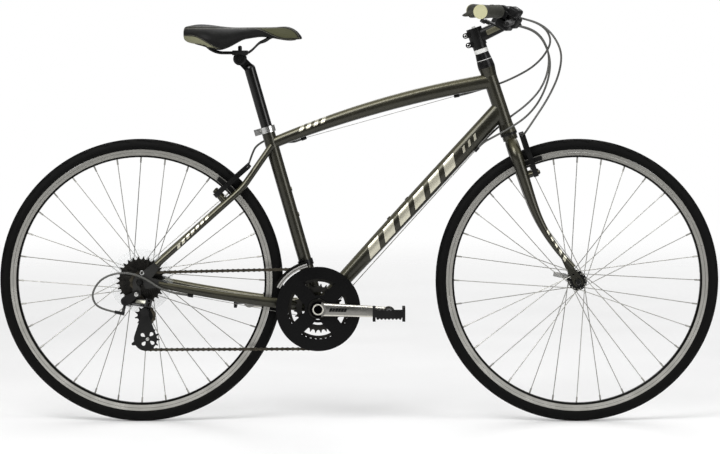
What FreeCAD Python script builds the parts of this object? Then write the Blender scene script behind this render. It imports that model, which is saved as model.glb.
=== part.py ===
import FreeCAD, Part
import math
import os

V = FreeCAD.Vector
SIDE = V(0, 1, 0)
ORIGIN = V(0, 0, 0)

# Frame geometry, lengths in millimetres and angles in degrees
WHEELBASE = 1056.0
CHAINSTAY_LENGTH = 434.0
BOTTOM_BRACKET_DROP = 65.0
HEAD_ANGLE = 71.5
SEAT_ANGLE = 74.0
FORK_RAKE = 45.0

# Clearances and the overrun of every cut
RUN_FIT = 0.05
FREE_GAP = 0.4
SEAT_GAP = 0.1
OVERRUN = 20.0

# Tyre and rim
BEAD_SEAT_DIAMETER = 622.0
TYRE_WIDTH = 32.0
TYRE_WALL = 2.6
RIM_WIDTH = 23.0
RIM_DEPTH = 19.0
RIM_FLANGE_HEIGHT = 6.5
RIM_FLANGE_WALL = 1.8
RIM_TRACK_HEIGHT = 14.0
RIM_FLOOR_WIDTH = 13.0
RIM_LEDGE = 2.0

# Spokes and hubs
SPOKE_COUNT = 32
SPOKE_CROSSES = 3
SPOKE_DIAMETER = 2.0
SPOKE_HEAD_DIAMETER = 3.4
SPOKE_HEAD_HEIGHT = 1.0
SPOKE_LEAN_ROOM = 1.4
NIPPLE_DIAMETER = 4.0
NIPPLE_LENGTH = 13.0
FLANGE_THICKNESS = 3.0
FLANGE_HOLE_DIAMETER = 2.8
FLANGE_RIM = 3.5
FRONT_HOLE_CIRCLE = 38.0
REAR_HOLE_CIRCLE = 45.0
FRONT_FLANGE_OFFSET = 33.0
REAR_FLANGE_RIGHT = 17.0
REAR_FLANGE_LEFT = 34.0
HUB_BODY_DIAMETER = 20.0
HUB_NECK_DIAMETER = 29.0
HUB_CAP_DIAMETER = 24.0
HUB_NECK_LENGTH = 8.0
AXLE_DIAMETER = 10.0
CONE_DIAMETER = 17.0
CONE_LENGTH = 6.0
FRONT_OVER_LOCKNUT = 100.0
REAR_OVER_LOCKNUT = 135.0
SKEWER_DIAMETER = 5.0
SKEWER_NUT_DIAMETER = 17.0
SKEWER_NUT_LENGTH = 13.0
CAM_BODY_LENGTH = 8.0
CAM_CHEEK_LENGTH = 13.0
CAM_CHEEK_THICKNESS = 2.6
CAM_DIAMETER = 12.0
CAM_WIDTH = 6.0
CAM_PIN_DIAMETER = 4.0
RELEASE_LEVER_LENGTH = 54.0
RELEASE_LEVER_WIDTH = 13.0
RELEASE_LEVER_THICKNESS = 4.6
FRONT_RELEASE_ANGLE = 170.0
REAR_RELEASE_ANGLE = 128.0
RELEASE_TIP_SHARE = 0.8
PROTECTOR_DIAMETER = 154.0
PROTECTOR_THICKNESS = 1.4
PROTECTOR_BORE = 50.0

# Tubes of the frame
HEAD_TUBE_LENGTH = 166.0
HEAD_TUBE_DIAMETER = 35.0
HEAD_TUBE_END_DIAMETER = 41.0
HEAD_TUBE_FLARE = 22.0
HEAD_TUBE_BORE = 31.0
SEAT_TUBE_LENGTH = 452.0
SEAT_TUBE_DIAMETER = 31.8
SHELL_DIAMETER = 42.0
SHELL_WIDTH = 68.0
SHELL_BORE = 35.4
TUBE_WALL = 1.6
TOP_TUBE_SEAT_DROP = 40.0
TOP_TUBE_HEAD_DROP = 34.0
TOP_TUBE_ARCH = 16.0
TOP_TUBE_SEAT_HEIGHT = 27.0
TOP_TUBE_SEAT_WIDTH = 28.0
TOP_TUBE_MID_HEIGHT = 34.0
TOP_TUBE_MID_WIDTH = 33.0
TOP_TUBE_HEAD_HEIGHT = 36.5
TOP_TUBE_HEAD_WIDTH = 33.0
DOWN_TUBE_HEAD_RISE = 60.0
DOWN_TUBE_FOOT_HEIGHT = 34.0
DOWN_TUBE_FOOT_WIDTH = 39.0
DOWN_TUBE_MID_HEIGHT = 42.0
DOWN_TUBE_MID_WIDTH = 39.0
DOWN_TUBE_HEAD_HEIGHT = 44.0
DOWN_TUBE_HEAD_WIDTH = 33.0
SECTION_POINTS = 16
TUBE_STATIONS = 5
TUBE_SQUARENESS = 2.5
ROUND = 2.0

# Rear triangle
CHAINSTAY_FRONT_SIDE = 23.0
CHAINSTAY_FRONT_HEIGHT = 27.0
CHAINSTAY_FRONT_WIDTH = 14.0
CHAINSTAY_REAR_DIAMETER = 17.0
CHAINSTAY_REAR_AHEAD = 44.0
CHAINSTAY_REAR_DROP = 5.0
CHAINSTAY_SAG = 5.0
CHAINSTAY_BRIDGE_SHARE = 0.17
SEATSTAY_DIAMETER = 16.0
SEATSTAY_TOP_DROP = 44.0
SEATSTAY_TOP_SIDE = 13.0
SEATSTAY_BEND_AHEAD = 246.0
SEATSTAY_BEND_RISE = 225.0
SEATSTAY_BEND_SIDE = 35.0
SEATSTAY_BEND_RADIUS = 150.0
SEATSTAY_FOOT_AHEAD = 40.0
SEATSTAY_FOOT_RISE = 42.0
BRIDGE_DIAMETER = 11.0
DROPOUT_THICKNESS = 6.0
DROPOUT_EYE_DIAMETER = 34.0
DROPOUT_STAY_DIAMETER = 14.0
DROPOUT_SLOT_DEPTH = 26.0
EYELET_BOSS_DIAMETER = 12.0
EYELET_BORE = 5.0
EYELET_AHEAD = 5.0
EYELET_RISE = 23.0
HANGER_BEHIND = 8.0
HANGER_DROP = 28.0
HANGER_DIAMETER = 20.0
HANGER_BOLT_DIAMETER = 10.0
BOTTLE_BOSS_DIAMETER = 10.0
BOTTLE_BOSS_HEIGHT = 1.6
BOTTLE_BOSS_DEPTH = 9.0
BOTTLE_BOLT_DIAMETER = 5.0
BOTTLE_BOLT_SPACING = 64.0
DOWN_TUBE_BOSS_SHARE = 0.47
SEAT_TUBE_BOSS_HEIGHT = 262.0

# Bearings
CUP_LENGTH = 6.0
CUP_INSERT = 9.0
RACE_DIAMETER = 36.0
RACE_LENGTH = 4.0
BRACKET_CUP_FLANGE_DIAMETER = 40.0
BRACKET_CUP_FLANGE = 3.5
BRACKET_CUP_DEPTH = 22.0

# Seat clamp, seat post and saddle clamp
COLLAR_DIAMETER = 38.5
COLLAR_HEIGHT = 15.0
COLLAR_OVERLAP = 12.0
COLLAR_EAR_LENGTH = 13.0
COLLAR_EAR_WIDTH = 6.0
COLLAR_SLOT = 3.0
COLLAR_BOLT_DIAMETER = 6.0
COLLAR_BOLT_HEAD_DIAMETER = 9.5
COLLAR_BOLT_HEAD = 5.0
SEAT_POST_DIAMETER = 27.2
SEAT_POST_WALL = 2.4
SEAT_POST_INSERT = 120.0
SEAT_POST_RISE = 148.0
POST_HEAD_BEHIND = 24.0
POST_HEAD_RISE = 25.0
POST_HEAD_DIAMETER = 22.0
POST_HEAD_WIDTH = 40.0
POST_NECK_WIDTH = 13.0
POST_NECK_DIAMETER = 23.4
CLAMP_RING_DIAMETER = 32.0
CLAMP_RING_WIDTH = 11.5
CLAMP_BLOCK_LENGTH = 36.0
CLAMP_BLOCK_WIDTH = 58.0
CLAMP_BLOCK_HEIGHT = 11.0
RAIL_DIAMETER = 7.0
RAIL_SPACING = 44.0
RAIL_OVER_HEAD = 14.0

# Saddle, measured from the post head
SADDLE_LENGTH = 285.0
SADDLE_NOSE_AHEAD = 150.0
SADDLE_TOP_RISE = 79.0
SADDLE_WIDTH = 158.0
SADDLE_PAD_DEPTH = 24.0
SADDLE_EDGE = 7.0
SADDLE_BASE_THICKNESS = 3.5
SADDLE_DEPTH = 92.0
SADDLE_STATION_SHARES = ((0.0, 0.46, 0.0, 0.34), (0.1, 0.86, 0.03, 0.5), (0.28, 1.0, 0.0, 0.62),
                         (0.45, 0.7, -0.06, 0.6), (0.62, 0.38, -0.05, 0.48), (0.82, 0.26, -0.01, 0.42),
                         (0.95, 0.23, -0.01, 0.36), (1.0, 0.15, -0.1, 0.22))
SADDLE_FOOT_SHARE = 0.94
SADDLE_SHOULDER_SHARE = 0.9
SADDLE_FLANK_SHARE = 0.55
SADDLE_SHOULDER_RISE_SHARE = 0.66
RAIL_FRONT_AHEAD = 74.0
RAIL_FRONT_RISE = 41.0
RAIL_FRONT_SIDE = 9.0
RAIL_FLAT_AHEAD = 48.0
RAIL_FLAT_BEHIND = 62.0
RAIL_REAR_BEHIND = 96.0
RAIL_REAR_RISE = 47.0
RAIL_REAR_SIDE = 33.0
SOCKET_LENGTH = 22.0

# Fork
STEERER_DIAMETER = 28.6
STEERER_WALL = 2.3
CROWN_SEAT_HEIGHT = 382.0
CROWN_SPREAD = 39.0
CROWN_TUBE_DIAMETER = 31.0
BLADE_BEND_HEIGHT = 222.0
BLADE_END_HEIGHT = 36.0
BLADE_MID_DEPTH = 24.0
BLADE_LOW_DEPTH = 18.0
BLADE_END_DEPTH = 12.5
BLADE_END_WIDTH = 10.0
BLADE_BEND_STATIONS = 4
BLADE_LOW_SHARE = 0.6
FORK_END_THICKNESS = 5.0
FORK_END_DIAMETER = 24.0
FORK_SLOT_DEPTH = 22.0
FORK_EYELET_RISE = 20.0

# Headset cover, spacers, stem
COVER_HEIGHT = 31.0
COVER_TOP_DIAMETER = 33.0
SPACER_DIAMETER = 34.0
SILVER_SPACER_HEIGHT = 10.0
BLACK_SPACER_HEIGHT = 9.0
STEM_CLAMP_HEIGHT = 40.0
STEM_CLAMP_DIAMETER = 38.0
STEM_LENGTH = 96.0
STEM_ANGLE = 25.5
STEM_ARM_HEIGHT = 32.0
STEM_ARM_END_HEIGHT = 27.0
STEM_ARM_WIDTH = 31.0
BAR_CLAMP_DIAMETER = 38.0
BAR_CLAMP_WIDTH = 44.0
FACE_PLATE_GAP = 1.6
STEM_EAR_LENGTH = 12.0
STEM_EAR_DIAMETER = 13.0
STEM_EAR_WIDTH = 26.0
STEM_BOLT_DIAMETER = 5.0
STEM_BOLT_HEAD_DIAMETER = 8.5
STEM_BOLT_HEAD = 5.0
STEM_BOLT_SPACING = 24.0
FACE_BOLT_SPACING = 30.0
TOP_CAP_HEIGHT = 4.0
TOP_CAP_BOLT_DIAMETER = 9.0
TOP_CAP_BOLT_HEIGHT = 4.0

# Handlebar and grips
BAR_DIAMETER = 22.2
BAR_CLAMP_TUBE_DIAMETER = 25.4
BAR_WALL = 2.2
BAR_BULGE_HALF = 42.0
BAR_CENTRE_HALF = 60.0
BAR_BEND_BACK = 16.0
BAR_BEND_SPAN = 52.0
BAR_RISE = 22.0
BAR_GRIP_RUN = 198.0
BAR_SWEEP = 21.0
BAR_BEND_RADIUS = 45.0
GRIP_LENGTH = 128.0
GRIP_INNER_DIAMETER = 32.0
GRIP_BODY_DIAMETER = 30.0
GRIP_OUTER_DIAMETER = 34.0
GRIP_COLLAR = 10.0
PLUG_THICKNESS = 3.0
WING_LENGTH = 66.0
WING_REACH = 30.0
WING_ROOT_THICKNESS = 24.0
WING_TIP_THICKNESS = 6.0
WING_STATION_SHARES = (0, 0.5, 1)
WING_DROOP = 12.0

# Levers and shifters, along the grip, forward and square to both
CONTROL_ALONG = 43.0
CONTROL_TILT = 32.0
CONTROL_CLAMP_DIAMETER = 31.0
CONTROL_CLAMP_WIDTH = 15.0
BRACKET_INNER = 12.0
BRACKET_OUTER = 18.0
BRACKET_REACH = 38.0
BRACKET_THICKNESS = 17.0
LEVER_PIVOT_ALONG = 9.0
LEVER_PIVOT_REACH = 29.0
LEVER_PIN_DIAMETER = 5.0
LEVER_EYE_DIAMETER = 14.0
LEVER_THICKNESS = 9.0
LEVER_KNEE_ALONG = 40.0
LEVER_KNEE_REACH = 46.0
LEVER_KNEE_DIAMETER = 11.5
LEVER_TIP_ALONG = 104.0
LEVER_TIP_REACH = 54.0
LEVER_TIP_DIAMETER = 10.0
LEVER_BALL_DIAMETER = 14.0
BARREL_DIAMETER = 8.0
BARREL_LENGTH = 20.0
POD_INNER = 34.0
POD_OUTER = 8.0
POD_REACH = 36.0
POD_TOP = 12.0
POD_DEPTH = 22.0
POD_ROUND = 5.0
POD_BARREL_REACH = 22.0
SHIFT_PIVOT_IN = 14.0
SHIFT_PIVOT_REACH = 14.0
SHIFT_EYE_DIAMETER = 18.0
SHIFT_PADDLE_OUT = 12.0
SHIFT_PADDLE_BACK = 15.0
SHIFT_PADDLE_DIAMETER = 14.0
SHIFT_THICKNESS = 4.0
SHIFT_PIN_DIAMETER = 6.0

# Crankset
CRANK_LENGTH = 170.0
CRANK_ANGLE = -2.0
CRANK_BOSS_DIAMETER = 39.0
CRANK_BOSS_INNER = 66.0
CRANK_BOSS_THICKNESS = 18.0
CRANK_EYE_DIAMETER = 29.0
CRANK_EYE_INNER = 79.0
CRANK_EYE_THICKNESS = 13.0
CRANK_ROOT_HEIGHT = 33.0
CRANK_ROOT_THICKNESS = 15.0
CRANK_TIP_HEIGHT = 26.0
CRANK_TIP_THICKNESS = 12.0
CRANK_SQUARENESS = 3.2
DUST_CAP_DIAMETER = 22.0
DUST_CAP_THICKNESS = 2.0
SPINDLE_DIAMETER = 17.0
SPINDLE_LENGTH = 158.0
CHAIN_SIDE = 58.5
RING_SPACING = 7.0
BIG_RING_TEETH = 48
MIDDLE_RING_TEETH = 38
SMALL_RING_TEETH = 28
RING_THICKNESS = 1.9
BIG_RING_BORE = 136.0
MIDDLE_RING_BORE = 106.0
SMALL_RING_BORE = 80.0
SPIDER_ARMS = 4
SPIDER_HUB_DIAMETER = 48.0
SPIDER_ARM_WIDTH = 22.0
SPIDER_ROOT_WIDTH = 33.0
SPIDER_REACH = 74.0
RING_BOLT_CIRCLE = 92.0
RING_BOLT_DIAMETER = 10.0
GUARD_DIAMETER = 204.0
GUARD_BORE = 146.0
GUARD_THICKNESS = 2.5
GUARD_CHAIN_GAP = 0.8
GUARD_HUB_BORE = 52.0
GUARD_HUB_DIAMETER = 66.0
GUARD_ARM_WIDTH = 34.0
GUARD_POST_DIAMETER = 8.0
GUARD_POST_CIRCLE = 156.0

# Pedals
PEDAL_LENGTH = 78.0
PEDAL_WIDTH = 62.0
PEDAL_HEIGHT = 24.0
PEDAL_TOOTH_HEIGHT = 5.0
PEDAL_TEETH = 5
PEDAL_BARREL_DIAMETER = 21.0
PEDAL_WALL = 7.0
PEDAL_START = 5.0
PEDAL_SPINDLE_DIAMETER = 9.0

# Cassette
SPROCKET_TEETH = (11, 13, 15, 17, 19, 21, 24, 28)
SPROCKET_PITCH = 4.8
SPROCKET_THICKNESS = 1.8
CARRIER_DIAMETER = 33.0
SPACER_RING_DIAMETER = 41.0
LOCK_RING_DIAMETER = 35.0
LOCK_RING_THICKNESS = 1.7

# Chain and tooth form
CHAIN_PITCH = 12.7
ROLLER_DIAMETER = 7.7
ROLLER_BORE = 3.9
PIN_DIAMETER = 3.3
PLATE_HEIGHT = 8.2
PLATE_THICKNESS = 1.0
PLATE_WAIST = 5.8
INNER_WIDTH = 2.7
PLATE_GAP = 0.25
TOOTH_SEAT_DIAMETER = 8.1
TOOTH_HEIGHT = 3.2
TOOTH_TIP = 1.7
TOOTH_SEAT_ANGLE = 62.0

# Rear derailleur
CAGE_PIVOT_AHEAD = 11.0
CAGE_PIVOT_DROP = 71.0
GUIDE_DROP = 11.0
PULLEY_SPACING = 56.0
CAGE_ANGLE = -87.0
CAGE_SEARCH = 30.0
GUIDE_TEETH = 11
TENSION_TEETH = 13
PULLEY_THICKNESS = 1.9
PULLEY_BOLT_DIAMETER = 5.0
PULLEY_HUB_DIAMETER = 12.0
PULLEY_WINDOWS = 4
PULLEY_WINDOW_WIDTH = 9.0
PULLEY_WINDOW_TIP = 3.5
PULLEY_RIM = 2.2
CAGE_INNER_WIDTH = 8.8
CAGE_PLATE_THICKNESS = 1.6
CAGE_PLATE_DIAMETER = 19.0
CAGE_BELLY_DIAMETER = 56.0
CAGE_BELLY_BEHIND = 5.0
CAGE_TAIL_DIAMETER = 7.0
CAGE_TAIL_REACH = 37.0
CAGE_TAIL_ANGLE = 77.0
CAGE_STUB_DIAMETER = 10.0
KNUCKLE_DIAMETER = 21.0
KNUCKLE_LENGTH = 17.0
LINK_LENGTH = 42.0
LINK_DROOP = 12.0
LINK_SLANT = 18.0
LINK_REST = 21.0
LINK_SPACING = 13.0
LINK_EYE_DIAMETER = 8.6
LINK_HEIGHT = 14.0
LINK_PIN_DIAMETER = 4.0
LUG_THICKNESS = 3.0
LUG_DIAMETER = 9.6
LUG_WEB_BACK = 8.2
LUG_WEB_THICKNESS = 5.0
PIVOT_ABOVE_CAGE = 22.0
KNUCKLE_SIDE = 86.0
BRACKET_BOSS_DIAMETER = 16.0
BRACKET_BOSS_LENGTH = 12.0
BRACKET_ARM_THICKNESS = 7.0
BRACKET_ARM_DIAMETER = 22.0
BRACKET_CROSS_DIAMETER = 10.0
BRACKET_POST_DIAMETER = 7.0
GEAR_BARREL_DROP = 33.0

# Front derailleur
BAND_HEIGHT_ALONG = 112.0
BAND_HEIGHT = 14.0
BAND_THICKNESS = 2.6
GUIDE_CAGE_INNER_RADIUS = 104.5
GUIDE_CAGE_OUTER_RADIUS = 119.0
GUIDE_CAGE_START = 104.0
GUIDE_CAGE_END = 152.0
GUIDE_PLATE_THICKNESS = 1.4
GUIDE_CAGE_WIDTH = 11.0
GUIDE_BRIDGE_SWEEP = 4.0
GUIDE_PIN_DIAMETER = 6.0
GUIDE_PIN_SPACING = 14.0
GUIDE_BLOCK_LENGTH = 14.0
GUIDE_PIN_END = 50.0

# Rim brakes
BOSS_SIDE = 39.0
BOSS_BELOW_PAD = 29.0
BOSS_DIAMETER = 14.0
BOSS_START = 2.0
BOSS_LENGTH = 24.0
POST_DIAMETER = 8.0
POST_LENGTH = 18.0
POST_BOLT_DIAMETER = 11.0
POST_BOLT_HEAD = 4.0
ARM_THICKNESS = 12.0
ARM_EYE_DIAMETER = 18.0
ARM_KNEE_UP = 34.0
ARM_KNEE_OUT = 4.0
ARM_KNEE_DIAMETER = 15.0
ARM_LENGTH = 102.0
ARM_TOP_DIAMETER = 12.0
PAD_GAP = 2.3
PAD_THICKNESS = 9.0
PAD_HEIGHT = 10.5
PAD_BELOW_RIM = 7.3
PAD_ANGLE = 10.0
PAD_STUD_DIAMETER = 7.0
PAD_NUT_DIAMETER = 11.0
PAD_NUT_LENGTH = 6.0
NOODLE_DIAMETER = 5.0
NOODLE_RUN = 12.0

# Cables
HOUSING_DIAMETER = 5.0
WIRE_DIAMETER = 1.3
CORD_BEND_SHARE = 0.45
STOP_DIAMETER = 8.0
STOP_LENGTH = 13.0
STOP_SINK = 0.8
STOP_LEAD = 15.0
TOP_STOP_FRONT_SHARE = 0.84
TOP_STOP_REAR_SHARE = 0.14
DOWN_STOP_SHARE = 0.83
TOP_CABLE_SIDE = 5.0
DOWN_CABLE_SIDE = 9.0
CABLE_GUIDE_DIAMETER = 48.0
CABLE_GUIDE_WIDTH = 26.0
CABLE_GUIDE_START = 340.0
CABLE_GUIDE_SWEEP = 140.0
STAY_STOP_SHARE = 0.80
CABLE_LEAD = 28.0
NOODLE_RISE = 36.0

# Free routes of the cables, each from its first free bend to its last
FRONT_BRAKE_ROUTE = ((452, 78, 962), (492, 42, 905), (486, -8, 850), (458, -44, 790))
FRONT_BRAKE_APPROACH = (470, -52, 807)
REAR_BRAKE_ROUTE = ((440, -88, 962), (463, -66, 925), (446, -40, 888), (420, -8, 860), (384, 18, 838),
                    (340, 29, 818), (285, 20, 802))
LEFT_SHIFT_ROUTE = ((432, 78, 948), (460, 66, 905), (462, 50, 858), (444, 38, 808), (408, 33, 768),
                    (362, 32, 735), (318, 22, 696))
RIGHT_SHIFT_ROUTE = ((430, -80, 944), (458, -68, 890), (458, -54, 840), (438, -44, 784), (406, -38, 742),
                     (362, -32, 712), (318, -22, 688))
SEAT_TUBE_ROUTE = ((-160, 9, 678), (-190, 23, 676), (-222, 28, 685), (-250, 37, 668))
SEAT_TUBE_APPROACH = (-256, -48, 660)
GEAR_LOOP_ROUTE = ((-440, -70, 315), (-478, -84, 328), (-520, -91, 358), (-568, -91, 370), (-618, -88, 356),
                   (-643, -84, 320), (-638, -79, 292))
SHELL_CORNERS = ((-62, 28.5), (-98, 28.5))
GUIDE_WIRE_CORNERS = ((-62, 28.5), (-95, 29.0), (-140, 31.0))
GUIDE_WIRE_SIDES = (7.0, 5.0, 2.0)

# Shapes


def unit(vector):
    """Return the vector at length one."""
    result = V(vector)
    result.normalize()
    return result


def polar(angle):
    """Return the unit direction at an angle in the bike's plane, from straight ahead upward."""
    turn = math.radians(angle)
    return V(math.cos(turn), 0, math.sin(turn))


def blend(first, last, share):
    """Return the value or point that lies a share of the way from first to last."""
    return first + (last - first) * share


def aside(point, side):
    """Return the point moved to a distance from the middle plane."""
    return V(point.x, side, point.z)


def rod(start, end, diameter):
    """Return a round rod."""
    return Part.makeCylinder(diameter / 2, (end - start).Length, start, end - start)


def sleeve(start, end, outer, inner):
    """Return a round tube."""
    rings = [Part.Wire([Part.makeCircle(d / 2, start, end - start)]) for d in (outer, inner)]
    return Part.makeFace(Part.makeCompound(rings), "Part::FaceMakerBullseye").extrude(end - start)


def outline(points):
    """Return the closed wire through points, where a triple stands for an arc's middle and end."""
    edges = []
    here = points[0]
    for step in list(points[1:]) + [points[0]]:
        if isinstance(step, tuple):
            edges.append(Part.Arc(here, step[0], step[1]).toShape())
            here = step[1]
        elif (step - here).Length > 0:
            edges.append(Part.LineSegment(here, step).toShape())
            here = step
    return Part.Wire(edges)


def slab(points, depth):
    """Return an outline pushed along a vector."""
    return Part.Face(outline(points)).extrude(depth)


def turned(profile, centre, axis=SIDE, radial=V(1, 0, 0), angle=360):
    """Return a profile of (radius, along) pairs turned about an axis."""
    def place(pair):
        return centre + radial * pair[0] + axis * pair[1]
    points = []
    for step in profile:
        points.append((place(step[0]), place(step[1])) if isinstance(step[0], tuple) else place(step))
    return Part.Face(outline(points)).revolve(centre, axis, angle)


def bar_outline(first, last, first_diameter, last_diameter, normal):
    """Return the outline round two circles."""
    along = unit(last - first)
    across = normal.cross(along)
    lean = (first_diameter - last_diameter) / 2 / (last - first).Length
    level = math.sqrt(1 - lean * lean)
    up = along * lean + across * level
    down = along * lean - across * level
    a, b = first_diameter / 2, last_diameter / 2
    return [first + up * a, last + up * b, (last + along * b, last + down * b), first + down * a,
            (first - along * a, first + up * a)]


def bar(first, last, first_diameter, last_diameter, depth):
    """Return a flat bar with round ends, pushed along the depth vector."""
    return slab(bar_outline(first, last, first_diameter, last_diameter, unit(depth)), depth)


def oval(centre, across, upward, width, height, squareness):
    """Return a closed section between an ellipse and a rounded box."""
    points = []
    for index in range(SECTION_POINTS):
        turn = 2 * math.pi * index / SECTION_POINTS
        x, y = [math.copysign(abs(part) ** (2 / squareness), part)
                for part in (math.cos(turn), math.sin(turn))]
        points.append(centre + across * (x * width / 2) + upward * (y * height / 2))
    curve = Part.BSplineCurve()
    curve.interpolate(Points=points, PeriodicFlag=True)
    return Part.Wire([curve.toShape()])


def loft(wires):
    """Return the smooth solid through closed wires."""
    return Part.makeLoft(wires, True, False)


def rounded_route(points, radii):
    """Return a wire of straight runs joined by tangent arcs."""
    edges = []
    here = points[0]
    for before, corner, after, radius in zip(points, points[1:], points[2:], radii):
        arriving, leaving = unit(corner - before), unit(after - corner)
        turn = arriving.getAngle(leaving)
        reach = radius * math.tan(turn / 2)
        inward = unit(leaving - arriving)
        middle = corner + inward * (radius / math.cos(turn / 2) - radius)
        start, end = corner - arriving * reach, corner + leaving * reach
        edges.append(Part.LineSegment(here, start).toShape())
        edges.append(Part.Arc(start, middle, end).toShape())
        here = end
    edges.append(Part.LineSegment(here, points[-1]).toShape())
    return Part.Wire(edges)


def bend_radii(points):
    """Return for every corner the radius that uses the set share of its shorter run."""
    radii = []
    for before, corner, after in zip(points, points[1:], points[2:]):
        turn = (corner - before).getAngle(after - corner)
        run = min((corner - before).Length, (after - corner).Length)
        radii.append(CORD_BEND_SHARE * run / math.tan(turn / 2))
    return radii


def swept(wire, diameter):
    """Return a round solid along a wire."""
    start = wire.Edges[0]
    ahead = start.tangentAt(start.FirstParameter)
    maker = Part.BRepOffsetAPI.MakePipeShell(wire)
    maker.add(Part.Wire([Part.makeCircle(diameter / 2, start.valueAt(start.FirstParameter), ahead)]))
    maker.build()
    maker.makeSolid()
    return maker.shape()


def cord(points, diameter):
    """Return a cable along a route."""
    return swept(rounded_route(points, bend_radii(points)), diameter)


def mirrored(shape):
    """Return the shape on the other side of the bike."""
    return shape.mirror(ORIGIN, SIDE)


def joined(shapes):
    """Return shapes fused into one."""
    return shapes[0].multiFuse(shapes[1:]).removeSplitter()


def together(shapes):
    """Return shapes kept as separate solids of one node."""
    return Part.makeCompound([solid for shape in shapes for solid in shape.Solids])


def main_solid(shape):
    """Return the largest solid of a shape."""
    return max(shape.Solids, key=lambda solid: solid.Volume)


def block(frame, low, high):
    """Return a box between two corners given in a local frame."""
    size = high - low
    shape = Part.makeBox(size.x, size.y, size.z, low)
    shape.Placement = frame
    return shape


def local_frame(origin, ahead, across):
    """Return the placement with its first axis ahead and its second across."""
    up = ahead.cross(across)
    matrix = FreeCAD.Matrix(ahead.x, across.x, up.x, origin.x, ahead.y, across.y, up.y, origin.y,
                            ahead.z, across.z, up.z, origin.z, 0, 0, 0, 1)
    return FreeCAD.Placement(matrix)


# Places that the pieces share

BEAD_RADIUS = BEAD_SEAT_DIAMETER / 2
TYRE_RADIUS = BEAD_RADIUS + TYRE_WIDTH
RIM_RADIUS = BEAD_RADIUS + RIM_FLANGE_HEIGHT
RIM_INNER_RADIUS = RIM_RADIUS - RIM_DEPTH
REAR_AXLE = V(-WHEELBASE / 2, 0, TYRE_RADIUS)
FRONT_AXLE = V(WHEELBASE / 2, 0, TYRE_RADIUS)
CRANK_CENTRE = V(REAR_AXLE.x + math.sqrt(CHAINSTAY_LENGTH ** 2 - BOTTOM_BRACKET_DROP ** 2), 0,
                 TYRE_RADIUS - BOTTOM_BRACKET_DROP)
STEER_UP = polar(180 - HEAD_ANGLE)
STEER_AHEAD = polar(90 - HEAD_ANGLE)
STEER_FOOT = FRONT_AXLE - STEER_AHEAD * FORK_RAKE
SEAT_UP = polar(180 - SEAT_ANGLE)
SEAT_AHEAD = polar(90 - SEAT_ANGLE)
HEAD_TUBE_FOOT = CROWN_SEAT_HEIGHT + RACE_LENGTH + FREE_GAP + CUP_LENGTH
HEAD_TUBE_TOP = HEAD_TUBE_FOOT + HEAD_TUBE_LENGTH
COVER_FOOT = HEAD_TUBE_TOP + CUP_LENGTH + FREE_GAP
STEM_FOOT = COVER_FOOT + COVER_HEIGHT + SILVER_SPACER_HEIGHT + BLACK_SPACER_HEIGHT
STEM_TOP = STEM_FOOT + STEM_CLAMP_HEIGHT


def on_steerer(height, ahead=0, side=0):
    """Return a point by its height along the steering axis."""
    return STEER_FOOT + STEER_UP * height + STEER_AHEAD * ahead + SIDE * side


def on_seat_tube(height, ahead=0, side=0):
    """Return a point by its height along the seat tube from the bottom bracket."""
    return CRANK_CENTRE + SEAT_UP * height + SEAT_AHEAD * ahead + SIDE * side


TOP_TUBE_REAR = on_seat_tube(SEAT_TUBE_LENGTH - TOP_TUBE_SEAT_DROP)
TOP_TUBE_FRONT = on_steerer(HEAD_TUBE_TOP - TOP_TUBE_HEAD_DROP)
TOP_TUBE_ALONG = unit(TOP_TUBE_FRONT - TOP_TUBE_REAR)
TOP_TUBE_UP = V(-TOP_TUBE_ALONG.z, 0, TOP_TUBE_ALONG.x)
TOP_TUBE_SIZES = ((TOP_TUBE_SEAT_WIDTH, TOP_TUBE_SEAT_HEIGHT), (TOP_TUBE_MID_WIDTH, TOP_TUBE_MID_HEIGHT),
                  (TOP_TUBE_HEAD_WIDTH, TOP_TUBE_HEAD_HEIGHT))
DOWN_TUBE_FRONT = on_steerer(HEAD_TUBE_FOOT + DOWN_TUBE_HEAD_RISE)
DOWN_TUBE_ALONG = unit(DOWN_TUBE_FRONT - CRANK_CENTRE)
DOWN_TUBE_UP = V(-DOWN_TUBE_ALONG.z, 0, DOWN_TUBE_ALONG.x)
DOWN_TUBE_SIZES = ((DOWN_TUBE_FOOT_WIDTH, DOWN_TUBE_FOOT_HEIGHT), (DOWN_TUBE_MID_WIDTH, DOWN_TUBE_MID_HEIGHT),
                   (DOWN_TUBE_HEAD_WIDTH, DOWN_TUBE_HEAD_HEIGHT))
DROPOUT_SIDE = REAR_OVER_LOCKNUT / 2
STAY_FOOT_SIDE = DROPOUT_SIDE + DROPOUT_THICKNESS / 2
CHAINSTAY_FOOT = REAR_AXLE + V(CHAINSTAY_REAR_AHEAD, -STAY_FOOT_SIDE, -CHAINSTAY_REAR_DROP)
SEATSTAY_FOOT = REAR_AXLE + V(SEATSTAY_FOOT_AHEAD, -STAY_FOOT_SIDE, SEATSTAY_FOOT_RISE)
SEATSTAY_BEND = REAR_AXLE + V(SEATSTAY_BEND_AHEAD, -SEATSTAY_BEND_SIDE, SEATSTAY_BEND_RISE)
SEATSTAY_TOP = on_seat_tube(SEAT_TUBE_LENGTH - SEATSTAY_TOP_DROP, 0, -SEATSTAY_TOP_SIDE)
HANGER_EYE = REAR_AXLE + V(-HANGER_BEHIND, 0, -HANGER_DROP)
POST_TOP = on_seat_tube(SEAT_TUBE_LENGTH + SEAT_POST_RISE)
POST_HEAD = POST_TOP + V(-POST_HEAD_BEHIND, 0, POST_HEAD_RISE)
RAIL_HEIGHT = POST_HEAD.z + RAIL_OVER_HEAD
STEM_CENTRE = on_steerer(STEM_FOOT + STEM_CLAMP_HEIGHT / 2)
STEM_AHEAD = polar(STEM_ANGLE)
BAR_CENTRE = STEM_CENTRE + STEM_AHEAD * STEM_LENGTH
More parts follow.
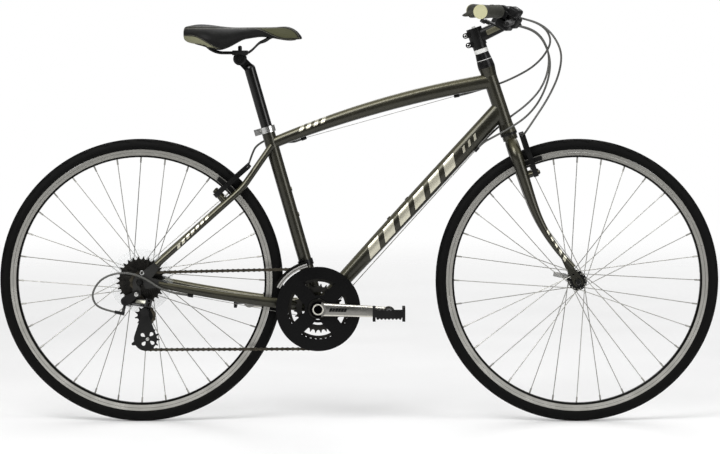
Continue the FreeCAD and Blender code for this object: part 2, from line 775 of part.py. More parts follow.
SWEEP_TURN = math.radians(BAR_SWEEP)
GRIP_OUT = V(-math.sin(SWEEP_TURN), -math.cos(SWEEP_TURN), 0)
GRIP_AHEAD = V(math.cos(SWEEP_TURN), -math.sin(SWEEP_TURN), 0)
BAR_BEND_START = BAR_CENTRE - SIDE * BAR_CENTRE_HALF
BAR_BEND_END = BAR_BEND_START + V(-BAR_BEND_BACK, -BAR_BEND_SPAN, BAR_RISE)
BAR_END = BAR_BEND_END + GRIP_OUT * BAR_GRIP_RUN
CONTROL_TURN = math.radians(CONTROL_TILT)
CONTROL_AHEAD = GRIP_AHEAD * math.cos(CONTROL_TURN) - V(0, 0, 1) * math.sin(CONTROL_TURN)
CONTROL_UP = GRIP_OUT.cross(CONTROL_AHEAD)
CONTROL_CENTRE = BAR_BEND_END + GRIP_OUT * CONTROL_ALONG


def at_control(along, reach, up):
    """Return a point beside the right lever's clamp: along the grip, ahead of it and above."""
    return CONTROL_CENTRE + GRIP_OUT * along + CONTROL_AHEAD * reach + CONTROL_UP * up


# Wheels


def tyre(centre):
    """Return a tyre: an open round casing with its beads between the rim's flanges."""
    middle = TYRE_RADIUS - TYRE_WIDTH / 2
    shoulder = RIM_RADIUS + SEAT_GAP
    bead = RIM_WIDTH / 2 - RIM_FLANGE_WALL - SEAT_GAP
    outer = TYRE_WIDTH / 2
    inner = outer - TYRE_WALL
    outside = math.sqrt(outer ** 2 - (middle - shoulder) ** 2)
    inside = bead - TYRE_WALL
    neck = middle - math.sqrt(inner ** 2 - inside ** 2)
    foot = BEAD_RADIUS + SEAT_GAP
    return turned([(foot, -bead), (shoulder, -bead), (shoulder, -outside),
                   ((TYRE_RADIUS, 0), (shoulder, outside)), (shoulder, bead), (foot, bead), (foot, inside),
                   (neck, inside), ((TYRE_RADIUS - TYRE_WALL, 0), (neck, -inside)), (foot, -inside)], centre)


def rim(centre):
    """Return a rim: brake tracks, bead ledges and a sloping channel down to its floor."""
    wide = RIM_WIDTH / 2
    wall = wide - RIM_FLANGE_WALL
    ledge = wall - RIM_LEDGE
    floor = RIM_FLOOR_WIDTH / 2
    track = RIM_RADIUS - RIM_TRACK_HEIGHT
    well = RIM_INNER_RADIUS + RIM_FLANGE_WALL
    half = [(RIM_RADIUS, wall), (BEAD_RADIUS, wall), (BEAD_RADIUS, ledge), (well, floor)]
    rest = [(RIM_INNER_RADIUS, floor), (track, wide), (RIM_RADIUS, wide)]
    opposite = [(radius, -side) for radius, side in reversed(half)]
    under = [(radius, -side) for radius, side in reversed(rest)]
    return turned(half + opposite + under + rest, centre)


def flange_angles(side):
    """Return the hole angles of one hub flange."""
    step = 720 / SPOKE_COUNT
    first = 0 if side < 0 else step / 2
    return [first + step * index for index in range(SPOKE_COUNT // 2)]


def spokes(centre, hole_circle, flanges):
    """Return crossed spokes with bent heads in the flanges and nipples at the rim."""
    step = 720 / SPOKE_COUNT
    shapes = []
    for flange in flanges:
        outward = math.copysign(1, flange)
        for order, face in enumerate((1, -1)):
            room = SPOKE_LEAN_ROOM if face > 0 else SEAT_GAP
            lift = FLANGE_THICKNESS / 2 + SPOKE_DIAMETER / 2 + room
            first = flange_angles(flange)[order]
            start = centre + polar(first) * (hole_circle / 2) + SIDE * (flange + outward * face * lift)
            rim_angle = first + face * SPOKE_CROSSES * step
            end = centre + polar(rim_angle) * (RIM_INNER_RADIUS - SEAT_GAP * 2)
            along = unit(end - start)
            inner_face = flange - outward * face * (FLANGE_THICKNESS / 2 + SEAT_GAP)
            elbow = aside(start, inner_face)
            head = aside(start, inner_face - outward * face * SPOKE_HEAD_HEIGHT)
            one = joined([rod(start, end, SPOKE_DIAMETER),
                          rod(end - along * NIPPLE_LENGTH, end, NIPPLE_DIAMETER),
                          rod(start, elbow, SPOKE_DIAMETER),
                          Part.makeSphere(SPOKE_DIAMETER / 2, start),
                          rod(elbow, head, SPOKE_HEAD_DIAMETER)])
            for turn in range(SPOKE_COUNT // 4):
                copy = one.copy()
                copy.rotate(centre, -SIDE, turn * 2 * step)
                shapes.append(copy)
    return together(shapes)


def hub(centre, hole_circle, right, left, right_end, left_end):
    """Return a hub shell with two drilled flanges."""
    bore = AXLE_DIAMETER / 2 + RUN_FIT
    cap, neck, body = HUB_CAP_DIAMETER / 2, HUB_NECK_DIAMETER / 2, HUB_BODY_DIAMETER / 2
    flange = hole_circle / 2 + FLANGE_RIM
    half = FLANGE_THICKNESS / 2
    shell = turned([(bore, right_end), (cap, right_end), (cap, right - half), (flange, right - half),
                    (flange, right + half), (neck, right + half), (body, right + half + HUB_NECK_LENGTH),
                    (body, left - half - HUB_NECK_LENGTH), (neck, left - half), (flange, left - half),
                    (flange, left + half), (cap, left + half), (cap, left_end), (bore, left_end)], centre)
    holes = []
    for side in (right, left):
        for angle in flange_angles(side):
            middle = centre + polar(angle) * (hole_circle / 2) + SIDE * side
            holes.append(rod(middle - SIDE * FLANGE_THICKNESS, middle + SIDE * FLANGE_THICKNESS,
                             FLANGE_HOLE_DIAMETER))
    return shell.cut(holes)


def axle(centre, half_width, end_thickness, lever_angle):
    """Return a hollow axle with locknuts, and its skewer with nut and cam body."""
    bore = SKEWER_DIAMETER / 2 + RUN_FIT
    core, cone = AXLE_DIAMETER / 2, CONE_DIAMETER / 2
    tip = half_width + end_thickness - FREE_GAP
    shaft = turned([(bore, -tip), (core, -tip), (core, -half_width), (cone, -half_width),
                    (cone, CONE_LENGTH - half_width), (core, CONE_LENGTH - half_width),
                    (core, half_width - CONE_LENGTH), (cone, half_width - CONE_LENGTH), (cone, half_width),
                    (core, half_width), (core, tip), (bore, tip)], centre)
    outside = half_width + end_thickness
    nut, rib = SKEWER_NUT_DIAMETER / 2, SKEWER_DIAMETER / 2
    cam = CAM_DIAMETER / 2 + CAM_CHEEK_THICKNESS
    cam_end = outside + CAM_BODY_LENGTH
    skewer = turned([(0, -outside - SKEWER_NUT_LENGTH), (core, -outside - SKEWER_NUT_LENGTH), (nut, -outside),
                     (rib, -outside), (rib, outside), (cam, outside), (cam, cam_end), (0, cam_end)], centre)
    cheek_frame = release_frame(centre, half_width, end_thickness, lever_angle)
    cheeks = []
    for side in (1, -1):
        inside = cheek_frame.multVec(V(0, 0, side * (CAM_WIDTH / 2 + FREE_GAP)))
        outer = cheek_frame.multVec(V(0, 0, side * (CAM_WIDTH / 2 + FREE_GAP + CAM_CHEEK_THICKNESS)))
        foot = inside - SIDE * (CAM_CHEEK_LENGTH / 2 + SEAT_GAP)
        cheeks.append(bar(foot, inside, CAM_DIAMETER, CAM_DIAMETER, outer - inside))
    skewer = joined([skewer] + cheeks)
    pin_start = cheek_frame.multVec(V(0, 0, -CAM_DIAMETER / 2))
    pin_end = cheek_frame.multVec(V(0, 0, CAM_DIAMETER / 2))
    return together([shaft, joined([skewer, rod(pin_start, pin_end, CAM_PIN_DIAMETER)])])


def release_frame(centre, half_width, end_thickness, lever_angle):
    """Return the frame of a quick release lever: along the closed lever, outward, along its pin."""
    outward = half_width + end_thickness + CAM_BODY_LENGTH + CAM_CHEEK_LENGTH / 2
    return local_frame(centre + SIDE * outward, polar(lever_angle), SIDE)


def release_lever(centre, half_width, end_thickness, lever_angle):
    """Return the cam lever of a quick release, closed along the frame."""
    frame = release_frame(centre, half_width, end_thickness, lever_angle)
    hub_start = frame.multVec(V(0, 0, -CAM_WIDTH / 2))
    hub_end = frame.multVec(V(0, 0, CAM_WIDTH / 2))
    cam = rod(hub_start, hub_end, CAM_DIAMETER)
    stations = [(0, CAM_WIDTH), (CAM_DIAMETER / 2 + CAM_CHEEK_THICKNESS, CAM_WIDTH),
                (RELEASE_LEVER_LENGTH / 2, RELEASE_LEVER_WIDTH),
                (RELEASE_LEVER_LENGTH, RELEASE_LEVER_WIDTH * RELEASE_TIP_SHARE)]
    wires = []
    for along, width in stations:
        lift = RELEASE_LEVER_THICKNESS * along / RELEASE_LEVER_LENGTH
        low, high = lift - RELEASE_LEVER_THICKNESS / 2, lift + RELEASE_LEVER_THICKNESS / 2
        corners = [V(along, low, -width / 2), V(along, high, -width / 2), V(along, high, width / 2),
                   V(along, low, width / 2)]
        wires.append(outline([frame.multVec(corner) for corner in corners]))
    blade = Part.makeLoft(wires, True, True)
    lever = joined([cam, blade])
    return lever.cut(rod(hub_start - (hub_end - hub_start), hub_end + (hub_end - hub_start),
                         CAM_PIN_DIAMETER + RUN_FIT * 2))


# Frame


def head_tube_solid():
    """Return the head tube's outside as a solid: waisted, with flared ends."""
    end, waist = HEAD_TUBE_END_DIAMETER / 2, HEAD_TUBE_DIAMETER / 2
    low, high = HEAD_TUBE_FOOT, HEAD_TUBE_TOP
    profile = [(0, low), (end, low), (waist, low + HEAD_TUBE_FLARE), (waist, high - HEAD_TUBE_FLARE),
               (end, high), (0, high)]
    return turned(profile, STEER_FOOT, STEER_UP, STEER_AHEAD)


def head_tube():
    """Return the head tube."""
    bore = rod(on_steerer(HEAD_TUBE_FOOT - OVERRUN), on_steerer(HEAD_TUBE_TOP + OVERRUN), HEAD_TUBE_BORE)
    return head_tube_solid().cut(bore)


def seat_tube_solid():
    """Return the seat tube's outside as a solid."""
    return rod(CRANK_CENTRE, on_seat_tube(SEAT_TUBE_LENGTH), SEAT_TUBE_DIAMETER)


def shell_solid():
    """Return the bottom bracket shell's outside as a solid."""
    half = SIDE * (SHELL_WIDTH / 2)
    return rod(CRANK_CENTRE - half, CRANK_CENTRE + half, SHELL_DIAMETER)


def bottom_bracket_shell():
    """Return the bottom bracket shell."""
    half = SIDE * (SHELL_WIDTH / 2)
    return sleeve(CRANK_CENTRE - half, CRANK_CENTRE + half, SHELL_DIAMETER, SHELL_BORE)


def bottle_boss(foot, outward):
    """Return a threaded bottle boss, sunk in a tube wall, and its hole."""
    inner = foot - outward * BOTTLE_BOSS_DEPTH
    outer = foot + outward * BOTTLE_BOSS_HEIGHT
    return rod(inner, outer, BOTTLE_BOSS_DIAMETER), rod(inner, outer + outward, BOTTLE_BOLT_DIAMETER)


def with_bosses(tube, places):
    """Return the tube with bottle bosses fused in and drilled."""
    bosses = [bottle_boss(foot, outward) for foot, outward in places]
    return joined([tube] + [boss for boss, hole in bosses]).cut([hole for boss, hole in bosses])


def seat_tube_boss_places():
    """Return the feet and directions of the seat tube's two bottle bosses."""
    half = BOTTLE_BOLT_SPACING / 2
    return [(on_seat_tube(SEAT_TUBE_BOSS_HEIGHT + step, SEAT_TUBE_DIAMETER / 2), SEAT_AHEAD)
            for step in (-half, half)]


def seat_tube():
    """Return the seat tube, coped to the shell, with its bottle bosses."""
    bore = SEAT_POST_DIAMETER + RUN_FIT * 2
    tube = sleeve(CRANK_CENTRE, on_seat_tube(SEAT_TUBE_LENGTH), SEAT_TUBE_DIAMETER, bore)
    behind = on_seat_tube(SEAT_TUBE_LENGTH - COLLAR_OVERLAP * 2)
    slot = block(local_frame(behind, SEAT_UP, SIDE), V(0, -COLLAR_SLOT / 2, 0),
                 V(COLLAR_OVERLAP * 2 + OVERRUN, COLLAR_SLOT / 2, SEAT_TUBE_DIAMETER))
    tube = tube.cut([shell_solid(), slot])
    post = rod(CRANK_CENTRE, on_seat_tube(SEAT_TUBE_LENGTH), bore)
    places = seat_tube_boss_places()
    bosses = [bottle_boss(foot, outward) for foot, outward in places]
    tube = joined([tube] + [boss.cut(post) for boss, hole in bosses])
    return tube.cut([hole for boss, hole in bosses])


def top_tube():
    """Return the arched top tube, coped to head tube and seat tube."""
    return coped_tube(TOP_TUBE_REAR, TOP_TUBE_FRONT, TOP_TUBE_UP, TOP_TUBE_ARCH, TOP_TUBE_SIZES,
                      [head_tube_solid(), seat_tube_solid()])


def tube_size(sizes, share):
    """Return a shaped tube's width and height at a share of its length, from its three sizes."""
    first = 0 if share < 1 / 2 else 1
    return [blend(sizes[first][k], sizes[first + 1][k], share * 2 - first) for k in (0, 1)]


def tube_floor(sizes, share, side):
    """Return how far a shaped tube's underside lies below its centre line, at a distance aside."""
    width, height = tube_size(sizes, share)
    inward = 1 - (abs(side) / (width / 2)) ** TUBE_SQUARENESS
    return height / 2 * inward ** (1 / TUBE_SQUARENESS)


def coped_tube(start, end, up, arch, sizes, neighbours):
    """Return a shaped hollow tube between two joints, cut back to its neighbours."""
    def skin(wall):
        wires = []
        for index in range(TUBE_STATIONS):
            share = index / (TUBE_STATIONS - 1)
            width, height = tube_size(sizes, share)
            centre = blend(start, end, share) + up * (arch * 4 * share * (1 - share))
            wires.append(oval(centre, SIDE, up, width - 2 * wall, height - 2 * wall, TUBE_SQUARENESS))
        return loft(wires)
    return skin(0).cut([skin(TUBE_WALL)] + neighbours)


def down_tube_boss_places():
    """Return the feet and directions of the down tube's two bottle bosses."""
    half = BOTTLE_BOLT_SPACING / 2 / (DOWN_TUBE_FRONT - CRANK_CENTRE).Length
    places = []
    for share in (DOWN_TUBE_BOSS_SHARE - half, DOWN_TUBE_BOSS_SHARE + half):
        foot = blend(CRANK_CENTRE, DOWN_TUBE_FRONT, share) + DOWN_TUBE_UP * (DOWN_TUBE_MID_HEIGHT / 2)
        places.append((foot, DOWN_TUBE_UP))
    return places


def down_tube():
    """Return the shaped down tube with its bottle bosses."""
    tube = coped_tube(CRANK_CENTRE, DOWN_TUBE_FRONT, DOWN_TUBE_UP, 0, DOWN_TUBE_SIZES,
                      [head_tube_solid(), shell_solid(), seat_tube_solid()])
    return with_bosses(tube, down_tube_boss_places())


def chainstay_centre(share):
    """Return a point on the right chainstay's centre line."""
    front = CRANK_CENTRE - SIDE * CHAINSTAY_FRONT_SIDE
    return blend(front, CHAINSTAY_FOOT, share) - V(0, 0, 1) * (CHAINSTAY_SAG * 4 * share * (1 - share))


def chainstays():
    """Return the two tapered chainstays and the bridge between them."""
    along = unit(CHAINSTAY_FOOT - CRANK_CENTRE + SIDE * CHAINSTAY_FRONT_SIDE)
    up = unit(V(0, 0, 1) - along * along.z)
    across = up.cross(along)
    wires = []
    for index in range(4):
        share = index / 3
        width = blend(CHAINSTAY_FRONT_WIDTH, CHAINSTAY_REAR_DIAMETER, share)
        height = blend(CHAINSTAY_FRONT_HEIGHT, CHAINSTAY_REAR_DIAMETER, share)
        wires.append(oval(chainstay_centre(share), across, up, width, height, ROUND))
    stay = loft(wires).cut([shell_solid(), seat_tube_solid(), dropout_plate()])
    middle = chainstay_centre(CHAINSTAY_BRIDGE_SHARE)
    bridge = rod(middle, aside(middle, -middle.y), BRIDGE_DIAMETER)
    pair = [stay, mirrored(stay)]
    return together(pair + [bridge.cut(pair)])


def seatstay_route():
    """Return the centre line of the right seatstay."""
    return rounded_route([SEATSTAY_FOOT, SEATSTAY_BEND, SEATSTAY_TOP], [SEATSTAY_BEND_RADIUS])


def seatstays():
    """Return the two bent seatstays with brake bosses, and the bridge above the tyre."""
    stay = swept(seatstay_route(), SEATSTAY_DIAMETER)
    stay = joined([stay, brake_boss(rear_brake_place())])
    stay = stay.cut([seat_tube_solid(), dropout_plate()])
    along = unit(SEATSTAY_TOP - SEATSTAY_BEND)
    low = SEATSTAY_BEND + along * SEATSTAY_BEND_SIDE
    bridge = rod(low, aside(low, -low.y), BRIDGE_DIAMETER)
    pair = [stay, mirrored(stay)]
    return together(pair + [bridge.cut(pair)])


def dropout_plate():
    """Return the right dropout's plate without its openings."""
    depth = SIDE * DROPOUT_THICKNESS
    level = -DROPOUT_SIDE - DROPOUT_THICKNESS
    eye = aside(REAR_AXLE, level)
    legs = [bar(eye, aside(point, level), DROPOUT_EYE_DIAMETER, DROPOUT_STAY_DIAMETER, depth)
            for point in (CHAINSTAY_FOOT + V(CHAINSTAY_REAR_DIAMETER, 0, 0),
                          SEATSTAY_FOOT + unit(SEATSTAY_BEND - SEATSTAY_FOOT) * SEATSTAY_DIAMETER)]
    return joined(legs)


def eyelet_place():
    """Return the rack eyelet's centre on the dropout's middle plane."""
    return REAR_AXLE + V(EYELET_AHEAD, -STAY_FOOT_SIDE, EYELET_RISE)


def dropouts():
    """Return the two slotted dropouts, the right one with the gear hanger."""
    depth = SIDE * DROPOUT_THICKNESS
    level = -DROPOUT_SIDE - DROPOUT_THICKNESS
    slot_end = REAR_AXLE - V(0, 0, 1) * DROPOUT_SLOT_DEPTH
    width = AXLE_DIAMETER + FREE_GAP
    slot = bar(aside(REAR_AXLE, level) - depth, aside(slot_end, level) - depth, width, width, depth * 3)
    eyelet = aside(eyelet_place(), level)
    boss = rod(eyelet, eyelet + depth, EYELET_BOSS_DIAMETER)
    hole = rod(eyelet - depth, eyelet + depth * 2, EYELET_BORE)
    plain = joined([dropout_plate(), boss])
    hanger_eye = aside(HANGER_EYE, level)
    root = aside(REAR_AXLE - V(DROPOUT_EYE_DIAMETER / 4, 0, 0), level)
    hanger = bar(root, hanger_eye, DROPOUT_EYE_DIAMETER / 2, HANGER_DIAMETER, depth)
    hanger_hole = rod(hanger_eye - depth, hanger_eye + depth * 2, HANGER_BOLT_DIAMETER + RUN_FIT * 2)
    right_end = slot_end + V(DROPOUT_SLOT_DEPTH / 2, 0, 0)
    right_slot = bar(aside(REAR_AXLE, level) - depth, aside(right_end, level) - depth, width, width, depth * 3)
    right = joined([plain, hanger]).cut([right_slot, hole, hanger_hole])
    left = mirrored(plain.cut([slot, hole]))
    return together([right, left])


def bearing_cups():
    """Return the headset's cups and the bottom bracket's cups."""
    bore = STEERER_DIAMETER / 2 + RUN_FIT
    outer, insert = HEAD_TUBE_END_DIAMETER / 2, HEAD_TUBE_BORE / 2 - SEAT_GAP
    low, high = HEAD_TUBE_FOOT, HEAD_TUBE_TOP
    lower = turned([(bore, low - CUP_LENGTH), (outer - RUN_FIT, low - CUP_LENGTH), (outer, low),
                    (insert, low), (insert, low + CUP_INSERT), (bore, low + CUP_INSERT)],
                   STEER_FOOT, STEER_UP, STEER_AHEAD)
    upper = turned([(bore, high + CUP_LENGTH), (outer - RUN_FIT, high + CUP_LENGTH), (outer, high),
                    (insert, high), (insert, high - CUP_INSERT), (bore, high - CUP_INSERT)],
                   STEER_FOOT, STEER_UP, STEER_AHEAD)
    spindle = SPINDLE_DIAMETER / 2 + RUN_FIT
    shell, flange = SHELL_BORE / 2 - SEAT_GAP, BRACKET_CUP_FLANGE_DIAMETER / 2
    face = SHELL_WIDTH / 2
    cup = turned([(spindle, face - BRACKET_CUP_DEPTH), (shell, face - BRACKET_CUP_DEPTH), (shell, face),
                  (flange, face), (flange, face + BRACKET_CUP_FLANGE), (spindle, face + BRACKET_CUP_FLANGE)],
                 CRANK_CENTRE)
    return together([lower, upper, cup, mirrored(cup)])


def seat_clamp():
    """Return the split collar at the seat tube's top, with its ears and bolt."""
    foot = on_seat_tube(SEAT_TUBE_LENGTH - COLLAR_OVERLAP)
    top = foot + SEAT_UP * COLLAR_HEIGHT
    frame = local_frame(foot, SEAT_UP, SIDE)
    half = COLLAR_SLOT / 2
    reach = COLLAR_DIAMETER / 2 + COLLAR_EAR_LENGTH
    ears = block(frame, V(0, -half - COLLAR_EAR_WIDTH, 0), V(COLLAR_HEIGHT, half + COLLAR_EAR_WIDTH, reach))
    slot = block(frame, V(-OVERRUN, -half, 0), V(COLLAR_HEIGHT + OVERRUN, half, reach + OVERRUN))
    bore = rod(foot - SEAT_UP * OVERRUN, top + SEAT_UP * OVERRUN, SEAT_TUBE_DIAMETER)
    lip = sleeve(on_seat_tube(SEAT_TUBE_LENGTH), top, COLLAR_DIAMETER, SEAT_POST_DIAMETER + FREE_GAP * 2)
    collar = joined([rod(foot, top, COLLAR_DIAMETER), ears]).cut([bore, slot])
    lip = lip.cut(slot)
    middle = frame.multVec(V(COLLAR_HEIGHT / 2, 0, reach - COLLAR_EAR_LENGTH / 2))
    across = SIDE * (half + COLLAR_EAR_WIDTH)
    hole = rod(middle - across, middle + across, COLLAR_BOLT_DIAMETER)
    head = rod(middle - across - SIDE * COLLAR_BOLT_HEAD, middle - across, COLLAR_BOLT_HEAD_DIAMETER)
    collar = joined([collar, lip]).cut(hole)
    return together([collar, joined([hole, head])])


# Seat


def seat_post():
    """Return the seat post with its set-back head."""
    foot = on_seat_tube(SEAT_TUBE_LENGTH - SEAT_POST_INSERT)
    radius, length = SEAT_POST_DIAMETER / 2, (POST_TOP - foot).Length
    lean = math.radians(45)
    dome = (radius * math.cos(lean), length + radius * math.sin(lean))
    tube = turned([(0, 0), (radius, 0), (radius, length), (dome, (0, length + radius))],
                  foot, SEAT_UP, SEAT_AHEAD)
    half_neck = SIDE * (POST_NECK_WIDTH / 2)
    neck = bar(POST_TOP - half_neck, POST_HEAD - half_neck, POST_NECK_DIAMETER, POST_HEAD_DIAMETER,
               half_neck * 2)
    half_head = SIDE * (POST_HEAD_WIDTH / 2)
    head = rod(POST_HEAD - half_head, POST_HEAD + half_head, POST_HEAD_DIAMETER)
    hollow = rod(foot - SEAT_UP, POST_TOP - SEAT_UP * SEAT_POST_DIAMETER,
                 SEAT_POST_DIAMETER - SEAT_POST_WALL * 2)
    return joined([tube.cut(hollow), neck, head])


def rail_route():
    """Return the route of the saddle's right rail, from nose to rear."""
    x, z = POST_HEAD.x, POST_HEAD.z
    half = RAIL_SPACING / 2
    return [V(x + RAIL_FRONT_AHEAD + SOCKET_LENGTH, -RAIL_FRONT_SIDE, z + RAIL_FRONT_RISE),
            V(x + RAIL_FRONT_AHEAD, -RAIL_FRONT_SIDE, z + RAIL_FRONT_RISE),
            V(x + RAIL_FLAT_AHEAD, -half, RAIL_HEIGHT), V(x - RAIL_FLAT_BEHIND, -half, RAIL_HEIGHT),
            V(x - RAIL_REAR_BEHIND, -RAIL_REAR_SIDE, z + RAIL_REAR_RISE)]


def rails():
    """Return the saddle's two rails."""
    rail = cord(rail_route(), RAIL_DIAMETER)
    return [rail, mirrored(rail)]


def saddle_clamp():
    """Return the clamp that tilts on the post head and grips the rails."""
    size = V(CLAMP_BLOCK_LENGTH, CLAMP_BLOCK_WIDTH, CLAMP_BLOCK_HEIGHT)
    plate = Part.makeBox(size.x, size.y, size.z, V(POST_HEAD.x, 0, RAIL_HEIGHT) - size / 2)
    rings = []
    for side in (-1, 1):
        outer = POST_HEAD + SIDE * (side * POST_HEAD_WIDTH / 2)
        inner = outer - SIDE * (side * CLAMP_RING_WIDTH)
        rings.append(rod(inner, outer, CLAMP_RING_DIAMETER))
    reach = SIDE * (CLAMP_BLOCK_WIDTH / 2 + OVERRUN)
    bore = rod(POST_HEAD - reach, POST_HEAD + reach, POST_HEAD_DIAMETER + RUN_FIT * 2)
    return joined([plate] + rings).cut([bore] + rails())


def saddle_section(station, margin, top_drop, bottom):
    """Return one arched cross-section of the saddle: flat foot, leaning sides and a crowned top."""
    share, width, rise, depth = station
    x = POST_HEAD.x + SADDLE_NOSE_AHEAD - SADDLE_LENGTH + share * SADDLE_LENGTH
    half = max(width * SADDLE_WIDTH / 2 - margin, SADDLE_EDGE)
    top = POST_HEAD.z + SADDLE_TOP_RISE + rise * SADDLE_DEPTH - top_drop
    foot = top + top_drop - depth * SADDLE_DEPTH + bottom
    shoulder = blend(foot, top, SADDLE_SHOULDER_RISE_SHARE)
    flank = blend(foot, shoulder, SADDLE_FLANK_SHARE)
    low, high = half * SADDLE_FOOT_SHARE, half * SADDLE_SHOULDER_SHARE
    return outline([V(x, -low, foot), (V(x, -half, flank), V(x, -high, shoulder)),
                    (V(x, 0, top), V(x, high, shoulder)), (V(x, half, flank), V(x, low, foot))])


def saddle_loft(margin, top_drop, bottom, stations):
    """Return a body through the saddle's sections."""
    return loft([saddle_section(station, margin, top_drop, bottom) for station in stations])


def saddle_cover():
    """Return the padded cover, hollow underneath."""
    body = saddle_loft(0, 0, 0, SADDLE_STATION_SHARES)
    recess = saddle_loft(SADDLE_EDGE, SADDLE_PAD_DEPTH, -OVERRUN, SADDLE_STATION_SHARES[1:-1])
    return body.cut(recess)


def saddle_base():
    """Return the moulded base in the cover's recess, open below, with holes for the rails."""
    outer_margin, outer_drop = SADDLE_EDGE + FREE_GAP, SADDLE_PAD_DEPTH + FREE_GAP
    outer = saddle_loft(outer_margin, outer_drop, -OVERRUN, SADDLE_STATION_SHARES[1:-1])
    wall = SADDLE_BASE_THICKNESS
    inner = saddle_loft(outer_margin + wall, outer_drop + wall, -OVERRUN * 2, SADDLE_STATION_SHARES[1:-1])
    body = saddle_loft(0, 0, 0, SADDLE_STATION_SHARES)
    return outer.cut(inner).common(body).cut(rails())


# Fork


def crown_centre():
    """Return the height along the steering axis where the blades meet the crown's arch."""
    return CROWN_SEAT_HEIGHT - CROWN_SPREAD - CROWN_TUBE_DIAMETER / 2


def fork_crown():
    """Return the steerer with its arched crown and lower bearing race."""
    height = crown_centre()
    arch = Part.Wire([Part.Arc(on_steerer(height, 0, -CROWN_SPREAD), on_steerer(height + CROWN_SPREAD),
                               on_steerer(height, 0, CROWN_SPREAD)).toShape()])
    steerer = rod(on_steerer(height + CROWN_SPREAD), on_steerer(STEM_TOP - FREE_GAP), STEERER_DIAMETER)
    race = rod(on_steerer(CROWN_SEAT_HEIGHT - CROWN_TUBE_DIAMETER / 4),
               on_steerer(CROWN_SEAT_HEIGHT + RACE_LENGTH), RACE_DIAMETER)
    bore = rod(on_steerer(CROWN_SEAT_HEIGHT), on_steerer(STEM_TOP + OVERRUN),
               STEERER_DIAMETER - STEERER_WALL * 2)
    return joined([swept(arch, CROWN_TUBE_DIAMETER), steerer, race]).cut(bore)


def blade_section(height):
    """Return one section of the right blade at a height along the steering axis."""
    top, end = crown_centre(), BLADE_END_HEIGHT
    radius = ((BLADE_BEND_HEIGHT - end) ** 2 + FORK_RAKE ** 2) / (2 * FORK_RAKE)
    below = max(BLADE_BEND_HEIGHT - height, 0)
    lean = math.asin(below / radius)
    ahead = radius - radius * math.cos(lean)
    sizes = [(top, CROWN_TUBE_DIAMETER), (BLADE_BEND_HEIGHT, BLADE_MID_DEPTH),
             (blend(end, BLADE_BEND_HEIGHT, BLADE_LOW_SHARE), BLADE_LOW_DEPTH), (end, BLADE_END_DEPTH)]
    for (high, first), (low, last) in zip(sizes, sizes[1:]):
        if low <= height <= high:
            depth = blend(first, last, (high - height) / (high - low))
            break
    end_side = FRONT_OVER_LOCKNUT / 2 + FORK_END_THICKNESS / 2
    share = (top - height) / (top - end)
    side = blend(CROWN_SPREAD, end_side, share)
    width = depth - (BLADE_END_DEPTH - BLADE_END_WIDTH) * share
    across = STEER_AHEAD * math.cos(lean) + STEER_UP * math.sin(lean)
    return oval(on_steerer(height, ahead, -side), across, SIDE, depth, width, ROUND)


def fork_blades():
    """Return the two curved blades with brake bosses and slotted ends."""
    top, end = crown_centre(), BLADE_END_HEIGHT
    heights = [top, (top + BLADE_BEND_HEIGHT) / 2, BLADE_BEND_HEIGHT]
    for index in range(BLADE_BEND_STATIONS):
        heights.append(blend(BLADE_BEND_HEIGHT, end, (index + 1) / BLADE_BEND_STATIONS))
    blade = loft([blade_section(height) for height in heights])
    level = -FRONT_OVER_LOCKNUT / 2 - FORK_END_THICKNESS
    depth = SIDE * FORK_END_THICKNESS
    eye = aside(FRONT_AXLE, level)
    root = aside(on_steerer(BLADE_END_HEIGHT + BLADE_END_DEPTH * 2, FORK_RAKE - BLADE_END_DEPTH), level)
    plate = bar(root, eye, BLADE_END_DEPTH, FORK_END_DIAMETER, depth)
    width = AXLE_DIAMETER + FREE_GAP
    slot = bar(eye - depth, eye - depth - STEER_UP * FORK_SLOT_DEPTH, width, width, depth * 3)
    eyelet = eye + STEER_UP * FORK_EYELET_RISE - STEER_AHEAD * (EYELET_BOSS_DIAMETER / 2)
    ear = rod(eyelet, eyelet + depth, EYELET_BOSS_DIAMETER)
    hole = rod(eyelet - depth, eyelet + depth * 2, EYELET_BORE)
    right = joined([blade, plate, ear, brake_boss(front_brake_place())]).cut([slot, hole])
    return together([right, mirrored(right)])


def headset_cover():
    """Return the conical cover, two spacers and the top cap with its bolt."""
    bore = STEERER_DIAMETER / 2 + RUN_FIT
    wide, narrow = HEAD_TUBE_END_DIAMETER / 2, COVER_TOP_DIAMETER / 2
    low, high = COVER_FOOT, COVER_FOOT + COVER_HEIGHT
    cone = turned([(bore, low), (wide, low), (narrow, high), (bore, high)], STEER_FOOT, STEER_UP, STEER_AHEAD)
    middle = high + SILVER_SPACER_HEIGHT
    silver = sleeve(on_steerer(high), on_steerer(middle), SPACER_DIAMETER, bore * 2)
    black = sleeve(on_steerer(middle), on_steerer(STEM_FOOT), SPACER_DIAMETER, bore * 2)
    cap_top = STEM_TOP + TOP_CAP_HEIGHT
    cap = rod(on_steerer(STEM_TOP), on_steerer(cap_top), STEM_CLAMP_DIAMETER)
    bolt = rod(on_steerer(cap_top), on_steerer(cap_top + TOP_CAP_BOLT_HEIGHT), TOP_CAP_BOLT_DIAMETER)
    return together([cone, silver, black, cap, bolt])


